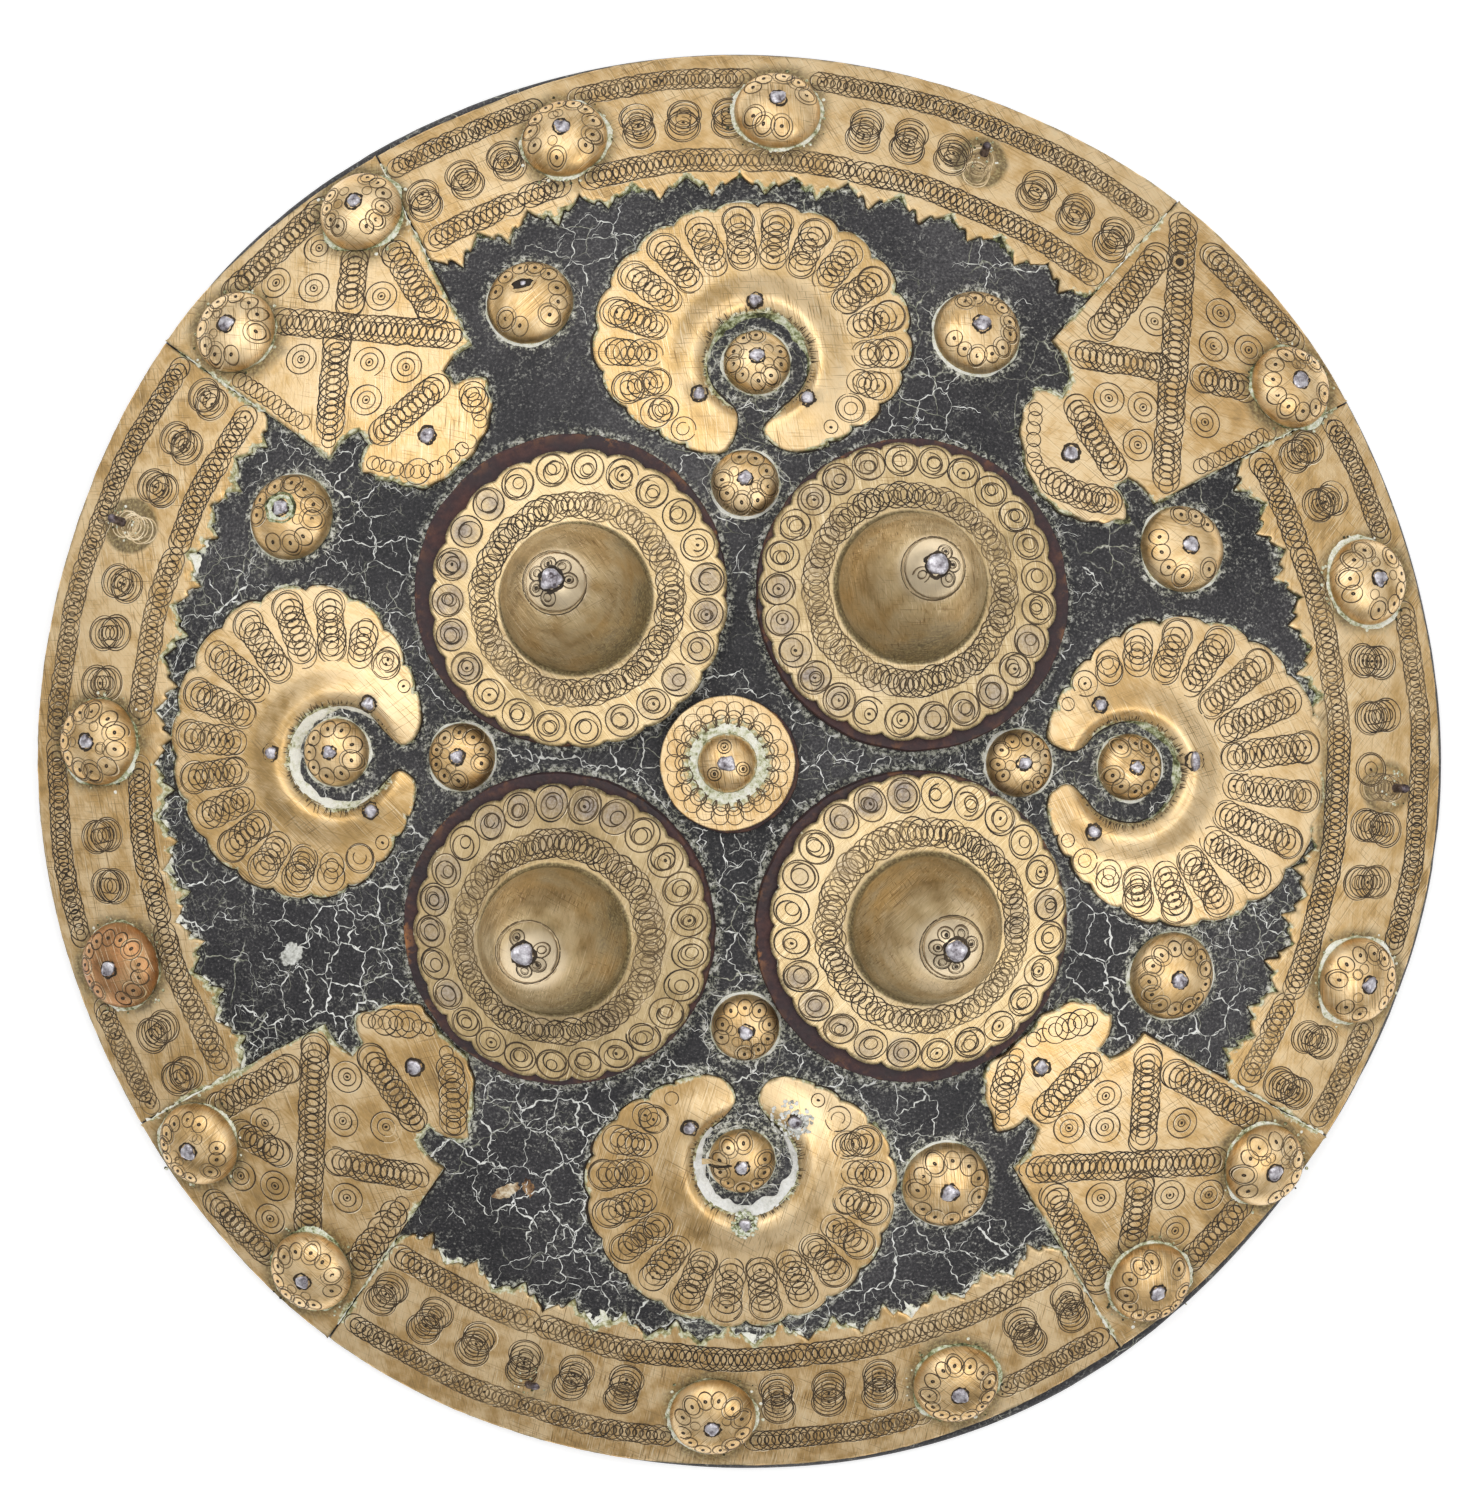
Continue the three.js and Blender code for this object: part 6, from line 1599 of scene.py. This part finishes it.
# rivets of the crescents and of the plates' tails
ra = np.linspace(0, 2 * math.pi, 30, endpoint=False)
for i, (x, y) in enumerate(CRESCENT_RIVETS + TAIL_RIVETS):
    sheet = sheets[(['crescent_top', 'crescent_left', 'crescent_right', 'crescent_bottom'][i // 3]) if i < 12
                   else 'corner_plate_' + ['upper_left', 'lower_left', 'upper_right', 'lower_right'][i - 12]]
    lift = float(sheet['face'](np.array([[x, y]]))[0])
    o, n, e1, e2 = tangent_frame(x, y, lift)
    rr = 1.65 if i < 12 else 2.0
    if i == 7:
        lump(rivets, o, n, e1, e2, 1.15, 1.1, 900 + i, squash=2.3, wobble=0.25, lean=(0.3, 0.2))
        rr = 2.0
    else:
        lump(rivets, o, n, e1, e2, rr, 0.85, 900 + i, wobble=0.22)
    # painted shade: a dark ring round each rivet's foot
    rim = rr + 0.28 + 0.3 * noise(ra * 3, ra * 0, i)
    P = np.column_stack([x + rim * np.cos(ra), y + rim * np.sin(ra)])
    V, F = ribbon(on_dome(P, sheet['face'](P) + 0.10), 0.75 + 0.45 * noise(ra * 5, ra * 0 + i, 89), np.tile(n, (30, 1)), True)
    dark.add(V, F, tone=np.full(len(V), 0.05))
    if i in (10, 11):      # white and green deposits round two rivets of the lower crescent
        for q in range(130):
            r_, t_ = 1.8 + (2.9 if i == 10 else 1.9) * rnd.random() ** 1.6, rnd.uniform(0, 2 * math.pi)
            if i == 10:
                r_ *= 1 + 0.45 * max(0.0, math.cos(t_ - 2.6))
            P = np.array([[x + r_ * math.cos(t_), y + r_ * math.sin(t_)]])
            lump(white if i == 10 else halo, on_dome(P, sheet['face'](P))[0], n, e1, e2, rnd.uniform(0.22, 0.62), rnd.uniform(0.12, 0.3), 970 + q, k=10, wobble=0.35, pale=rnd.uniform(0.3, 1.1))
# the small empty hole in the upper right plate
x, y = 118.2, 134.2
sheet = sheets['corner_plate_upper_right']
n = tangent_frame(x, y, CORNER_TOP)[1]
for r_, w_, dz, bag_, at in ((0.55, 1.15, 0.10, dark, {'tone': 0.0}), (1.55, 0.75, 0.16, lips, {'stain': 0.15, 'soot': 0.1}), (2.3, 0.3, 0.07, dark, {'tone': 0.3})):
    P = np.column_stack([x + r_ * np.cos(ra), y + r_ * np.sin(ra)])
    V, F = ribbon(on_dome(P, sheet['face'](P) + dz), np.full(30, w_), np.tile(n, (30, 1)), True)
    bag_.add(V, F, **{k_: np.full(len(V), v_) for k_, v_ in at.items()})
# short dark strokes round the crescents' windows
for k, c in CRESCENTS.items():
    sheet = sheets['crescent_' + k]
    hole = np.array(c['hole'])
    for q in range(150):
        t_ = rnd.uniform(0, 2 * math.pi)
        r0_ = HOLE_R + 0.25 + rnd.uniform(0, 0.5)
        L_ = rnd.uniform(0.5, 2.3) * (0.7 + 0.3 * math.sin(3 * t_ + 1))
        sk = rnd.uniform(-0.25, 0.25)
        u = np.linspace(0, 1, 4)
        P = hole + np.column_stack([(r0_ + L_ * u) * np.cos(t_ + sk * u * L_ / 14), (r0_ + L_ * u) * np.sin(t_ + sk * u * L_ / 14)])
        if not inside(sheet['poly'], P[[0, 3]]).all():
            continue
        path = on_dome(P, sheet['face'](P) + 0.07)
        V, F = ribbon(path, 0.26 * (1 - 0.7 * u), (path - CENTRE) / np.linalg.norm(path - CENTRE, axis=1)[:, None], False)
        dark.add(V, F, tone=np.full(len(V), rnd.uniform(0.0, 0.5)))
rivets.build('rivet_ends', M_STEEL, 'rivet_steel', sharp=60)
lips.build('torn_lips', STUD_MATS[0], 'brass', closed=False, sharp=0)
dark.build('rivet_shade_rings_and_dark_marks', M_LINE, 'brass', closed=False, sharp=0)

# bare shanks of the lost studs, in their ring of dark and pale corrosion
posts, spots = Bag(), Bag()
for i, (x, y, tilt) in enumerate(POSTS):
    o, n, e1, e2 = tangent_frame(x, y, GAP + SHEET)
    ang = math.atan2(y, x)
    lv = (tilt * math.cos(ang + 2.6 * (i == 3)), tilt * math.sin(ang + 2.6 * (i == 3)))
    a = np.linspace(0, 2 * math.pi, 14, endpoint=False)
    rows = []
    for z, r in ((-0.4, 1.25), (0.5, 1.2), (1.8, 1.1), (3.2, 1.15), (4.0, 1.2), (4.5, 0.95)):
        rows.append(ring(o + (e1 * lv[0] + e2 * lv[1]) * max(z, 0), e1, e2, r * (1 + 0.12 * noise(a * 2, a * 0 + z, 940 + i)), a) + n * z)
    V, F = lathe(rows, o + n * 4.7 + (e1 * lv[0] + e2 * lv[1]) * 4.7, o - n * 0.4)
    posts.add(V, F)
    for q in range(16):
        rr, tt = 1.5 + 3.6 * rnd.random() ** 0.8, rnd.uniform(0, 2 * math.pi)
        c = on_dome([(x + rr * math.cos(tt), y + rr * math.sin(tt))], GAP + SHEET)[0]
        lump(spots, c, n, e1, e2, rnd.uniform(0.2, 0.45), rnd.uniform(0.10, 0.25), 960 + q + 50 * i, k=7, pale=rnd.uniform(0.1, 0.8))
posts.build('bare_shanks', M_POST, 'rivet_steel', sharp=50)


# ------------------------------------------------------------------ verdigris crust along the edges
def crust_strip(bag, poly, lift_in, lift_out, width, seed, closed=True, lumps=0.22, pale=0.5):
    """Crust on the outer side of an edge: from the brass down to the hide."""
    nrm = normals_out(poly, closed, smooth=4)
    n = len(poly)
    w = np.broadcast_to(width, (n,))
    keep = w > 0.12
    x, y = poly.T
    rag = 0.65 + 0.7 * noise(x * 0.9, y * 0.9, seed) + 0.35 * noise(x * 2.3, y * 2.3, seed + 1)
    w = w * np.clip(rag, 0.08, 2)
    rows = []
    for f, base, amp in ((-0.25, lift_in + 0.02, 0.05), (0.12, lift_in * 0.75 + lift_out * 0.25, 1.0), (0.55, lift_in * 0.3 + lift_out * 0.7, 1.0), (1.0, lift_out - 0.12, 0.0)):
        P = poly + nrm * (w * f if f > 0 else f * np.minimum(w, 1.2))[:, None]
        q = P if f < 1 else P + 0.25 * np.column_stack([noise(x * 2.9, y * 2.9, seed + 5), noise(x * 2.9, y * 2.9, seed + 6)])
        lft = base + amp * lumps * (0.4 + noise(P[:, 0] * 1.7, P[:, 1] * 1.7, seed + 2) + 0.5 * noise(P[:, 0] * 4, P[:, 1] * 4, seed + 3))
        rows.append(on_dome(q, lft))
    V = np.vstack(rows)
    i = np.arange(n if closed else n - 1)
    j = (i + 1) % n
    ok = keep[i] & keep[j]
    i, j = i[ok], j[ok]
    if not len(i):
        return
    F = [np.vstack([np.column_stack([r * n + i, (r + 1) * n + i, (r + 1) * n + j, r * n + j]) for r in range(3)])]
    pl = np.broadcast_to(pale, (n,))
    bag.add(V, F, pale=np.concatenate([pl] * 4))


green, cream = Bag(), Bag()
edge_shadows = Bag()
# painted shadow: a thin dark strip on the hide just outside each brass edge, inside r 157.5
for name_, s_ in sheets.items():
    P = s_['poly']
    r = np.hypot(*(P - MID).T)
    w = np.where(r < 157.5, 0.55, 0.0) * np.clip(0.8 + 0.9 * fbm(P[:, 0] / 6, P[:, 1] / 6, 171), 0.1, 1.5)
    Q = P + normals_out(P, True, smooth=4) * (w / 2 + 0.02)[:, None]
    path = on_dome(Q, 0.20)
    V, F = ribbon(path, w, (path - CENTRE) / np.linalg.norm(path - CENTRE, axis=1)[:, None], True)
    k = len(P)
    ok = (w > 0.03) & (np.roll(w, -1) > 0.03)
    edge_shadows.add(V, [F[0][ok]], tone=np.full(len(V), 0.0))
edge_shadows.build('edge_shadow_lines', M_LINE, 'lacquered_hide', closed=False, sharp=0)
for i, side in enumerate(('top', 'left', 'bottom', 'right')):
    s = sheets['border_arc_' + side]
    P = s['poly']
    r = np.hypot(*(P - MID).T)
    tooth = (r < 157.4)
    bite = np.clip((r - 152.6) / 3.5, 0, 1)
    wgt = np.where(tooth, {'top': 0.9, 'left': 1.6, 'bottom': 1.7, 'right': 0.9}[side] * (0.35 + 1.15 * bite), 0)
    wgt = wgt * np.clip(0.70 + 1.5 * fbm(P[:, 0] / 9, P[:, 1] / 9, 120 + i), 0.0, 1.9)
    pale = {'top': 0.35, 'left': 0.95, 'bottom': 1.05, 'right': 0.55}[side] + 0.6 * fbm(P[:, 0] / 5, P[:, 1] / 5, 121)
    crust_strip(green if side in ('top', 'right') else cream, P, 0.75, 0.1, wgt, 130 + i, pale=pale, lumps=0.30)
for i, k in enumerate(CORNERS):
    s = sheets['corner_plate_' + k]
    P = s['poly']
    r = np.hypot(*(P - MID).T)
    wgt = np.where(r < 156, 0.8, 0.0) * np.clip(0.45 + 1.6 * fbm(P[:, 0] / 9, P[:, 1] / 9, 140 + i), 0, 1.8)
    crust_strip(cream, P, 1.4, 0.1, wgt, 145 + i, pale=0.55 + 0.5 * fbm(P[:, 0] / 6, P[:, 1] / 6, 122))
    # the seam against the neighbouring arcs, higher up on the brass
    seam = np.where((r >= 156) & (r < 187.0), 0.75, 0.0) * np.clip(0.85 + 0.9 * fbm(P[:, 0] / 8, P[:, 1] / 8, 150 + i), 0.15, 1.6)
    crust_strip(cream, P, CORNER_TOP - 0.25, GAP + SHEET + 0.12, seam, 155 + i, pale=0.75 + 0.5 * fbm(P[:, 0] / 5, P[:, 1] / 5, 123), lumps=0.15)
for i, (k, c) in enumerate(CRESCENTS.items()):
    s = sheets['crescent_' + k]
    P = s['poly']
    d = np.hypot(*(P - np.array(c['hole'])).T)
    out = d > HOLE_R + 2.2
    wgt = np.where(out, 0.6 * np.clip(0.35 + 1.6 * fbm(P[:, 0] / 8, P[:, 1] / 8, 160 + i), 0, 1.8), 0.0)
    crust_strip(cream, P, 1.0, 0.1, wgt, 165 + i, pale=0.6 + 0.5 * fbm(P[:, 0] / 6, P[:, 1] / 6, 124))
    # inside the window: a pale ring, thick on one side
    hx, hy = c['hole']
    k_ = 150
    a_ = np.linspace(0, 2 * math.pi, k_, endpoint=False)
    ca, sa = np.cos(a_), np.sin(a_)
    centre, spread, amount, least = {'top': (88, 88, 2.7, 0.3), 'left': (185, 120, 2.9, 0.5), 'bottom': (262, 125, 3.1, 0.5), 'right': (20, 75, 2.0, 0.25)}[k]
    df = (np.degrees(a_) - centre + 180) % 360 - 180
    w_ = least + amount * np.exp(-(df / spread) ** 4)
    w_ = w_ * (0.85 + 0.28 * noise(ca * 2.2 + i * 5, sa * 2.2, 211) + 0.16 * noise(ca * 7 + i, sa * 7, 212))
    gap_dir = {'top': 270, 'left': 0, 'bottom': 90, 'right': 180}[k]
    near_gap = np.abs((np.degrees(a_) - gap_dir + 180) % 360 - 180) < 40
    w_ = np.where(near_gap, 0.05, w_)
    out_r = HOLE_R + 0.35 + 0.18 * noise(ca * 6, sa * 6, 213 + i)
    rows_ = []
    for f, z, amp in ((0.0, 1.75, 0.12), (0.25, 1.15, 0.30), (0.6, 0.55, 0.34), (0.85, 0.25, 0.22), (1.0, -0.12, 0.0)):
        rr_ = out_r - w_ * f
        P = np.column_stack([hx + rr_ * ca, hy + rr_ * sa])
        rows_.append(on_dome(P, z + amp * (noise(P[:, 0] * 1.1, P[:, 1] * 1.1, 214) + 0.6 * noise(P[:, 0] * 2.7, P[:, 1] * 2.7, 215))))
    i_ = np.arange(k_)
    j_ = (i_ + 1) % k_
    ok_ = ~near_gap[i_] & ~near_gap[j_]
    i_, j_ = i_[ok_], j_[ok_]
    F = [np.vstack([np.column_stack([q * k_ + i_, q * k_ + j_, (q + 1) * k_ + j_, (q + 1) * k_ + i_]) for q in range(4)])]
    tone_ = {'top': 0.55, 'left': 1.05, 'bottom': 1.1, 'right': 0.6}[k] + 0.35 * noise(ca * 4 + i, sa * 4, 216)
    ({'top': green, 'right': green, 'left': cream, 'bottom': white}[k]).add(np.vstack(rows_), F, pale=np.tile(tone_, 5))

# rings of crust round the studs, and round the dome of the middle boss
for i, s in enumerate(STUDS):
    name, x, y, r, h, lift = s
    o, n, e1, e2 = tangent_frame(x, y, lift)
    k = 72
    a = np.linspace(0, 2 * math.pi, k, endpoint=False)
    on_hide = lift == ON_HIDE
    amount = 0.5 if on_hide else 0.85
    pref = noise(np.cos(a) * 1.3 + i, np.sin(a) * 1.3, 180 + i)
    w = amount * np.clip(0.75 + 1.3 * pref + 0.5 * noise(np.cos(a) * 6 + i, np.sin(a) * 6, 186), 0.05, 2.2)
    base = (lift - GAP) if on_hide else lift - GAP
    rows = []
    for f, z, amp in ((-0.12, 0.55, 0.10), (0.10, 0.48, 0.25), (0.5, 0.26, 0.28), (1.0, -0.05, 0.0)):
        q = (r + w * f)
        P = np.column_stack([x + 0 * a, y + 0 * a])
        ringp = ring(o, e1, e2, q, a)
        zz = base + z + amp * noise(np.cos(a) * 6 * q / 8 + i, np.sin(a) * 6 * q / 8, 190 + i)
        rows.append(on_dome(ringp[:, :2], zz))
    V = np.vstack(rows)
    ii = np.arange(k)
    jj = (ii + 1) % k
    F = [np.vstack([np.column_stack([q * k + ii, (q + 1) * k + ii, (q + 1) * k + jj, q * k + jj]) for q in range(3)])]
    pale = (0.75 if on_hide else 0.55) + 0.4 * pref
    (cream if (on_hide or i % 3 != 1) else green).add(V, F, pale=np.tile(pale, 4))
    if not on_hide:      # loose spots of crust on the brass near the foot
        for q in range(16):
            rr, tt = r + 0.9 + 1.9 * rnd.random() ** 1.6, rnd.uniform(0, 2 * math.pi)
            P = ring(o, e1, e2, np.array([rr]), np.array([tt]))[0]
            c = on_dome([P[:2]], lift - GAP)[0]
            lump(spots, c, n, e1, e2, rnd.uniform(0.2, 0.55), rnd.uniform(0.08, 0.22), 1000 + q + 20 * i, k=7, pale=rnd.uniform(0.0, 0.9))
o, n, e1, e2 = tangent_frame(MIDDLE['at'][0], MIDDLE['at'][1], GAP + MIDDLE['washer_t'] + GAP)
k = 72
a = np.linspace(0, 2 * math.pi, k, endpoint=False)
rows = []
for q, z in ((7.75, 1.5), (8.2, 1.35), (9.3, 1.12), (10.3, 0.9)):
    rr = q + (0.5 * noise(np.cos(a) * 3, np.sin(a) * 3, 201) if q > 8 else 0)
    rows.append(ring(o, e1, e2, rr, a) + n * (z + 0.12 * noise(np.cos(a) * 7 + q, np.sin(a) * 7, 202))[:, None])
V = np.vstack(rows)
ii = np.arange(k)
jj = (ii + 1) % k
cream.add(V, [np.vstack([np.column_stack([q * k + ii, (q + 1) * k + ii, (q + 1) * k + jj, q * k + jj]) for q in range(3)])], pale=np.full(len(V), 0.7))
cream.build('crust_cream', M_CRUST, 'verdigris', closed=False, sharp=0)
green.build('crust_green', M_GREEN, 'verdigris', closed=False, sharp=0)
spots.build('crust_spots', M_CRUST, 'verdigris', closed=True, sharp=0)
halo.build('crust_halo', M_GREEN, 'verdigris', closed=False, sharp=0)
white.build('white_deposits', M_CHALK, 'verdigris', closed=False, sharp=0)


# ------------------------------------------------------------------ torn and scraped places where studs are lost from the hide
def patch(name, x, y, rx, ry, turn, seed, material, top=0.28):
    k = 48
    a = np.linspace(0, 2 * math.pi, k, endpoint=False)
    rag = 1 + 0.28 * fbm(np.cos(a) * 2.2 + seed, np.sin(a) * 2.2, seed) + 0.10 * noise(a * 9, a * 0, seed + 1)
    rows = []
    for f, z in ((1.0, 0.0), (0.9, 0.55), (0.7, 1.0), (0.45, 0.75), (0.2, 0.9)):
        u, v = rx * f * rag * np.cos(a), ry * f * rag * np.sin(a)
        P = np.column_stack([x + u * math.cos(turn) - v * math.sin(turn), y + u * math.sin(turn) + v * math.cos(turn)])
        rows.append(on_dome(P, -0.1 + top * z + 0.10 * noise(P[:, 0] * 1.3, P[:, 1] * 1.3, seed + 2) * (f < 1)))
    V, F = lathe(rows, on_dome([(x, y)], top * 0.7)[0], on_dome([(x, y)], -0.3)[0])
    make(name, V, F, material, 'lacquered_hide', attrs={'pale': 0.5 + 0.4 * noise(V[:, 0] / 2, V[:, 1] / 2, seed)}, sharp=0)


patch('torn_patch', -61.6, -113.6, 3.9, 1.7, 0.45, 5, M_TORN)
patch('torn_scar', -55.6, -112.6, 1.5, 2.7, 0.35, 15, M_SCAR, top=0.18)
patch('scraped_patch', -118.7, -50.9, 3.6, 2.6, 0.9, 6, M_CHALK)


# ------------------------------------------------------------------ behind: straps, roves and clenched rivets
def strap(name, frm, to, seed):
    p, q = np.array(BOSSES[frm]['base']), np.array(BOSSES[to]['base'])
    ln = np.hypot(*(q - p))
    d = (q - p) / ln
    nrm = np.array([-d[1], d[0]])
    s = np.concatenate([np.linspace(-STRAP_END, STRAP_TAB, 10), np.linspace(STRAP_TAB, ln - STRAP_TAB, 60)[1:-1], np.linspace(ln - STRAP_TAB, ln + STRAP_END, 10)])
    k = np.clip((s - STRAP_TAB) / (ln - 2 * STRAP_TAB), 0, 1)
    drop = STRAP_DROP * np.sin(np.pi * k) ** 0.8
    drop = np.convolve(np.pad(drop, 3, mode='edge'), np.ones(7) / 7, 'valid')
    end = np.minimum(s + STRAP_END, ln + STRAP_END - s)
    half = (STRAP_W / 2) * np.sqrt(np.clip(1 - np.clip(1 - end / 8.0, 0, 1) ** 2, 0.05, 1)) * (1 - 0.08 * np.sin(np.pi * k)) \
        + 0.18 * fbm(s / 9, s * 0, seed)
    # cross-section: a flat leather band with rounded edges and a crease near each edge
    prof = []
    for w in np.linspace(-1, 1, 15):
        prof.append((w, 0.0 if abs(w) < 0.97 else -0.5))
    rows = []
    up_w = np.array([-1, -0.985, -0.93, -0.86, -0.82, -0.6, -0.3, 0, 0.3, 0.6, 0.82, 0.86, 0.93, 0.985, 1])
    up_z = np.array([-1.0, -0.45, -0.08, -0.03, -0.14, 0, 0.03, 0.05, 0.03, 0, -0.14, -0.03, -0.08, -0.45, -1.0])
    n = len(s)
    V = []
    for side, wz in ((0, up_z), (1, -STRAP_T - up_z)):
        for w, z in (zip(up_w, wz) if side == 0 else zip(up_w[::-1], wz[::-1])):
            x = p + d * s[:, None] + nrm * (half * w)[:, None]
            V.append(on_dome(x, -STRAP_TOP - drop + z + 0.06 * fbm(s / 7 + w, s * 0 + w * 3, seed + 2), -STRAP_TOP))
    V = np.vstack(V)
    m = 30
    i, j = np.meshgrid(np.arange(m), np.arange(n - 1), indexing='ij')
    i, j = i.ravel(), j.ravel()
    i2 = (i + 1) % m
    quads = np.column_stack([i * n + j, i2 * n + j, i2 * n + j + 1, i * n + j + 1])
    caps = []
    for e in (0, n - 1):
        c = len(V)
        V = np.vstack([V, V[np.arange(m) * n + e].mean(0)])
        ii = np.arange(m)
        t = np.column_stack([ii * n + e, ((ii + 1) % m) * n + e, np.full(m, c)])
        caps.append(t[:, ::-1] if e == 0 else t)
    make('leather_' + name, V, [quads, np.vstack(caps)], M_STRAP, 'strap_leather', (name,), attrs={'fray': np.concatenate([np.tile(0.25 + 0.0 * s, m), [0.2, 0.2]])}, sharp=45)


for i, (k, (frm, to)) in enumerate(STRAPS.items()):
    strap('hand_strap_' + k, frm, to, 300 + i)
backs = Bag()
for i, (k, b) in enumerate(BOSSES.items()):
    o, n, e1, e2 = tangent_frame(b['base'][0], b['base'][1], -(STRAP_TOP + STRAP_T + GAP))
    a = np.linspace(0, 2 * math.pi, 44, endpoint=False)
    rg = ROVE_R - 0.15 + 0.25 * fbm(np.cos(a) * 2 + i, np.sin(a) * 2, 310 + i)
    rows = [ring(o, e1, e2, rg - 0.3, a), ring(o, e1, e2, rg, a) - n * 0.3, ring(o, e1, e2, rg, a) - n * (ROVE_T - 0.4),
            ring(o, e1, e2, rg - 0.5, a) - n * (ROVE_T - 0.05), ring(o, e1, e2, 4.5, a) - n * (ROVE_T + 0.05 * noise(a * 3, a * 0, i))[:, None]]
    V, F = lathe(rows, o - n * ROVE_T, o)
    make('iron_strap_rove_' + k, V, F, M_IRON, 'iron', ('strap_rove_' + k,), sharp=45)
    lump(backs, o - n * ROVE_T, -n, e1, e2, 2.9, 1.5, 320 + i, k=20, wobble=0.2)
for i, (x, y) in enumerate([(s[1], s[2]) for s in STUDS] + CRESCENT_RIVETS + TAIL_RIVETS + [(p[0], p[1]) for p in POSTS] + [MIDDLE['at'], (-60.0, -113.3), (-118.7, -50.9)]):
    o, n, e1, e2 = tangent_frame(x, y, -HIDE_T)
    lump(backs, o - n * 0.05, -n, e1, e2, 1.9 + 0.5 * rnd.random(), 1.1, 340 + i, k=14, wobble=0.25)
backs.build('clenched_rivets', M_POST, 'rivet_steel', sharp=60)

# ------------------------------------------------------------------ floor, light and sky
fl = bpy.data.meshes.new('floor')
S = 6.0
fl.from_pydata([(-S, -S, -0.0004), (S, -S, -0.0004), (S, S, -0.0004), (-S, S, -0.0004)], [], [(0, 1, 2, 3)])
floor = bpy.data.objects.new('floor', fl)
bpy.context.scene.collection.objects.link(floor)
m = Nodes('pale_floor')
m.put(m.bsdf.inputs['Emission Color'], (1, 1, 1, 1))
m.bsdf.inputs['Emission Strength'].default_value = 0.38
fl.materials.append(m.finish(m.ramp(m.noise(3, 2), [(0.3, (0.86, 0.86, 0.86)), (0.7, (0.88, 0.88, 0.88))]), 0.9, 0.0, 0.0))

world = bpy.data.worlds.new('studio')
bpy.context.scene.world = world
world.use_nodes = True
wt = world.node_tree
bg = wt.nodes['Background']
tc = wt.nodes.new('ShaderNodeTexCoord')
sep = wt.nodes.new('ShaderNodeSeparateXYZ')
wt.links.new(tc.outputs['Generated'], sep.inputs[0])
cr = wt.nodes.new('ShaderNodeValToRGB')
wt.links.new(sep.outputs['Z'], cr.inputs[0])
stops = [(0.0, 0.15), (0.25, 0.28), (0.5, 0.70), (0.75, 0.86), (1.0, 0.84)]
while len(cr.color_ramp.elements) < len(stops):
    cr.color_ramp.elements.new(0.5)
for e, (p_, v_) in zip(cr.color_ramp.elements, stops):
    e.position = p_
    e.color = (v_, v_, v_, 1)
up_y = wt.nodes.new('ShaderNodeMath')
up_y.operation = 'MULTIPLY_ADD'
up_y.inputs[1].default_value = 0.26
up_y.inputs[2].default_value = 1.0
wt.links.new(sep.outputs['Y'], up_y.inputs[0])
to_x = wt.nodes.new('ShaderNodeMath')
to_x.operation = 'MULTIPLY_ADD'
to_x.inputs[1].default_value = 0.08
wt.links.new(sep.outputs['X'], to_x.inputs[0])
wt.links.new(up_y.outputs[0], to_x.inputs[2])
wt.links.new(cr.outputs[0], bg.inputs['Color'])
wt.links.new(to_x.outputs[0], bg.inputs['Strength'])


def light(name, loc, target, size, power):
    ld = bpy.data.lights.new(name, 'AREA')
    ld.shape = 'DISK'
    ld.size = size
    ld.energy = power
    lo = bpy.data.objects.new(name, ld)
    bpy.context.scene.collection.objects.link(lo)
    lo.location = loc
    d = (np.array(target) - np.array(loc)).astype(float)
    from mathutils import Vector
    lo.rotation_mode = 'QUATERNION'
    lo.rotation_quaternion = Vector(d).to_track_quat('-Z', 'Y')
    return lo


light('key', (-0.9, 1.1, 2.3), (0, 0, 0), 2.4, 18.0)
light('fill', (1.2, -0.7, 2.2), (0, 0, 0), 1.6, 12.0)

bpy.context.view_layer.update()
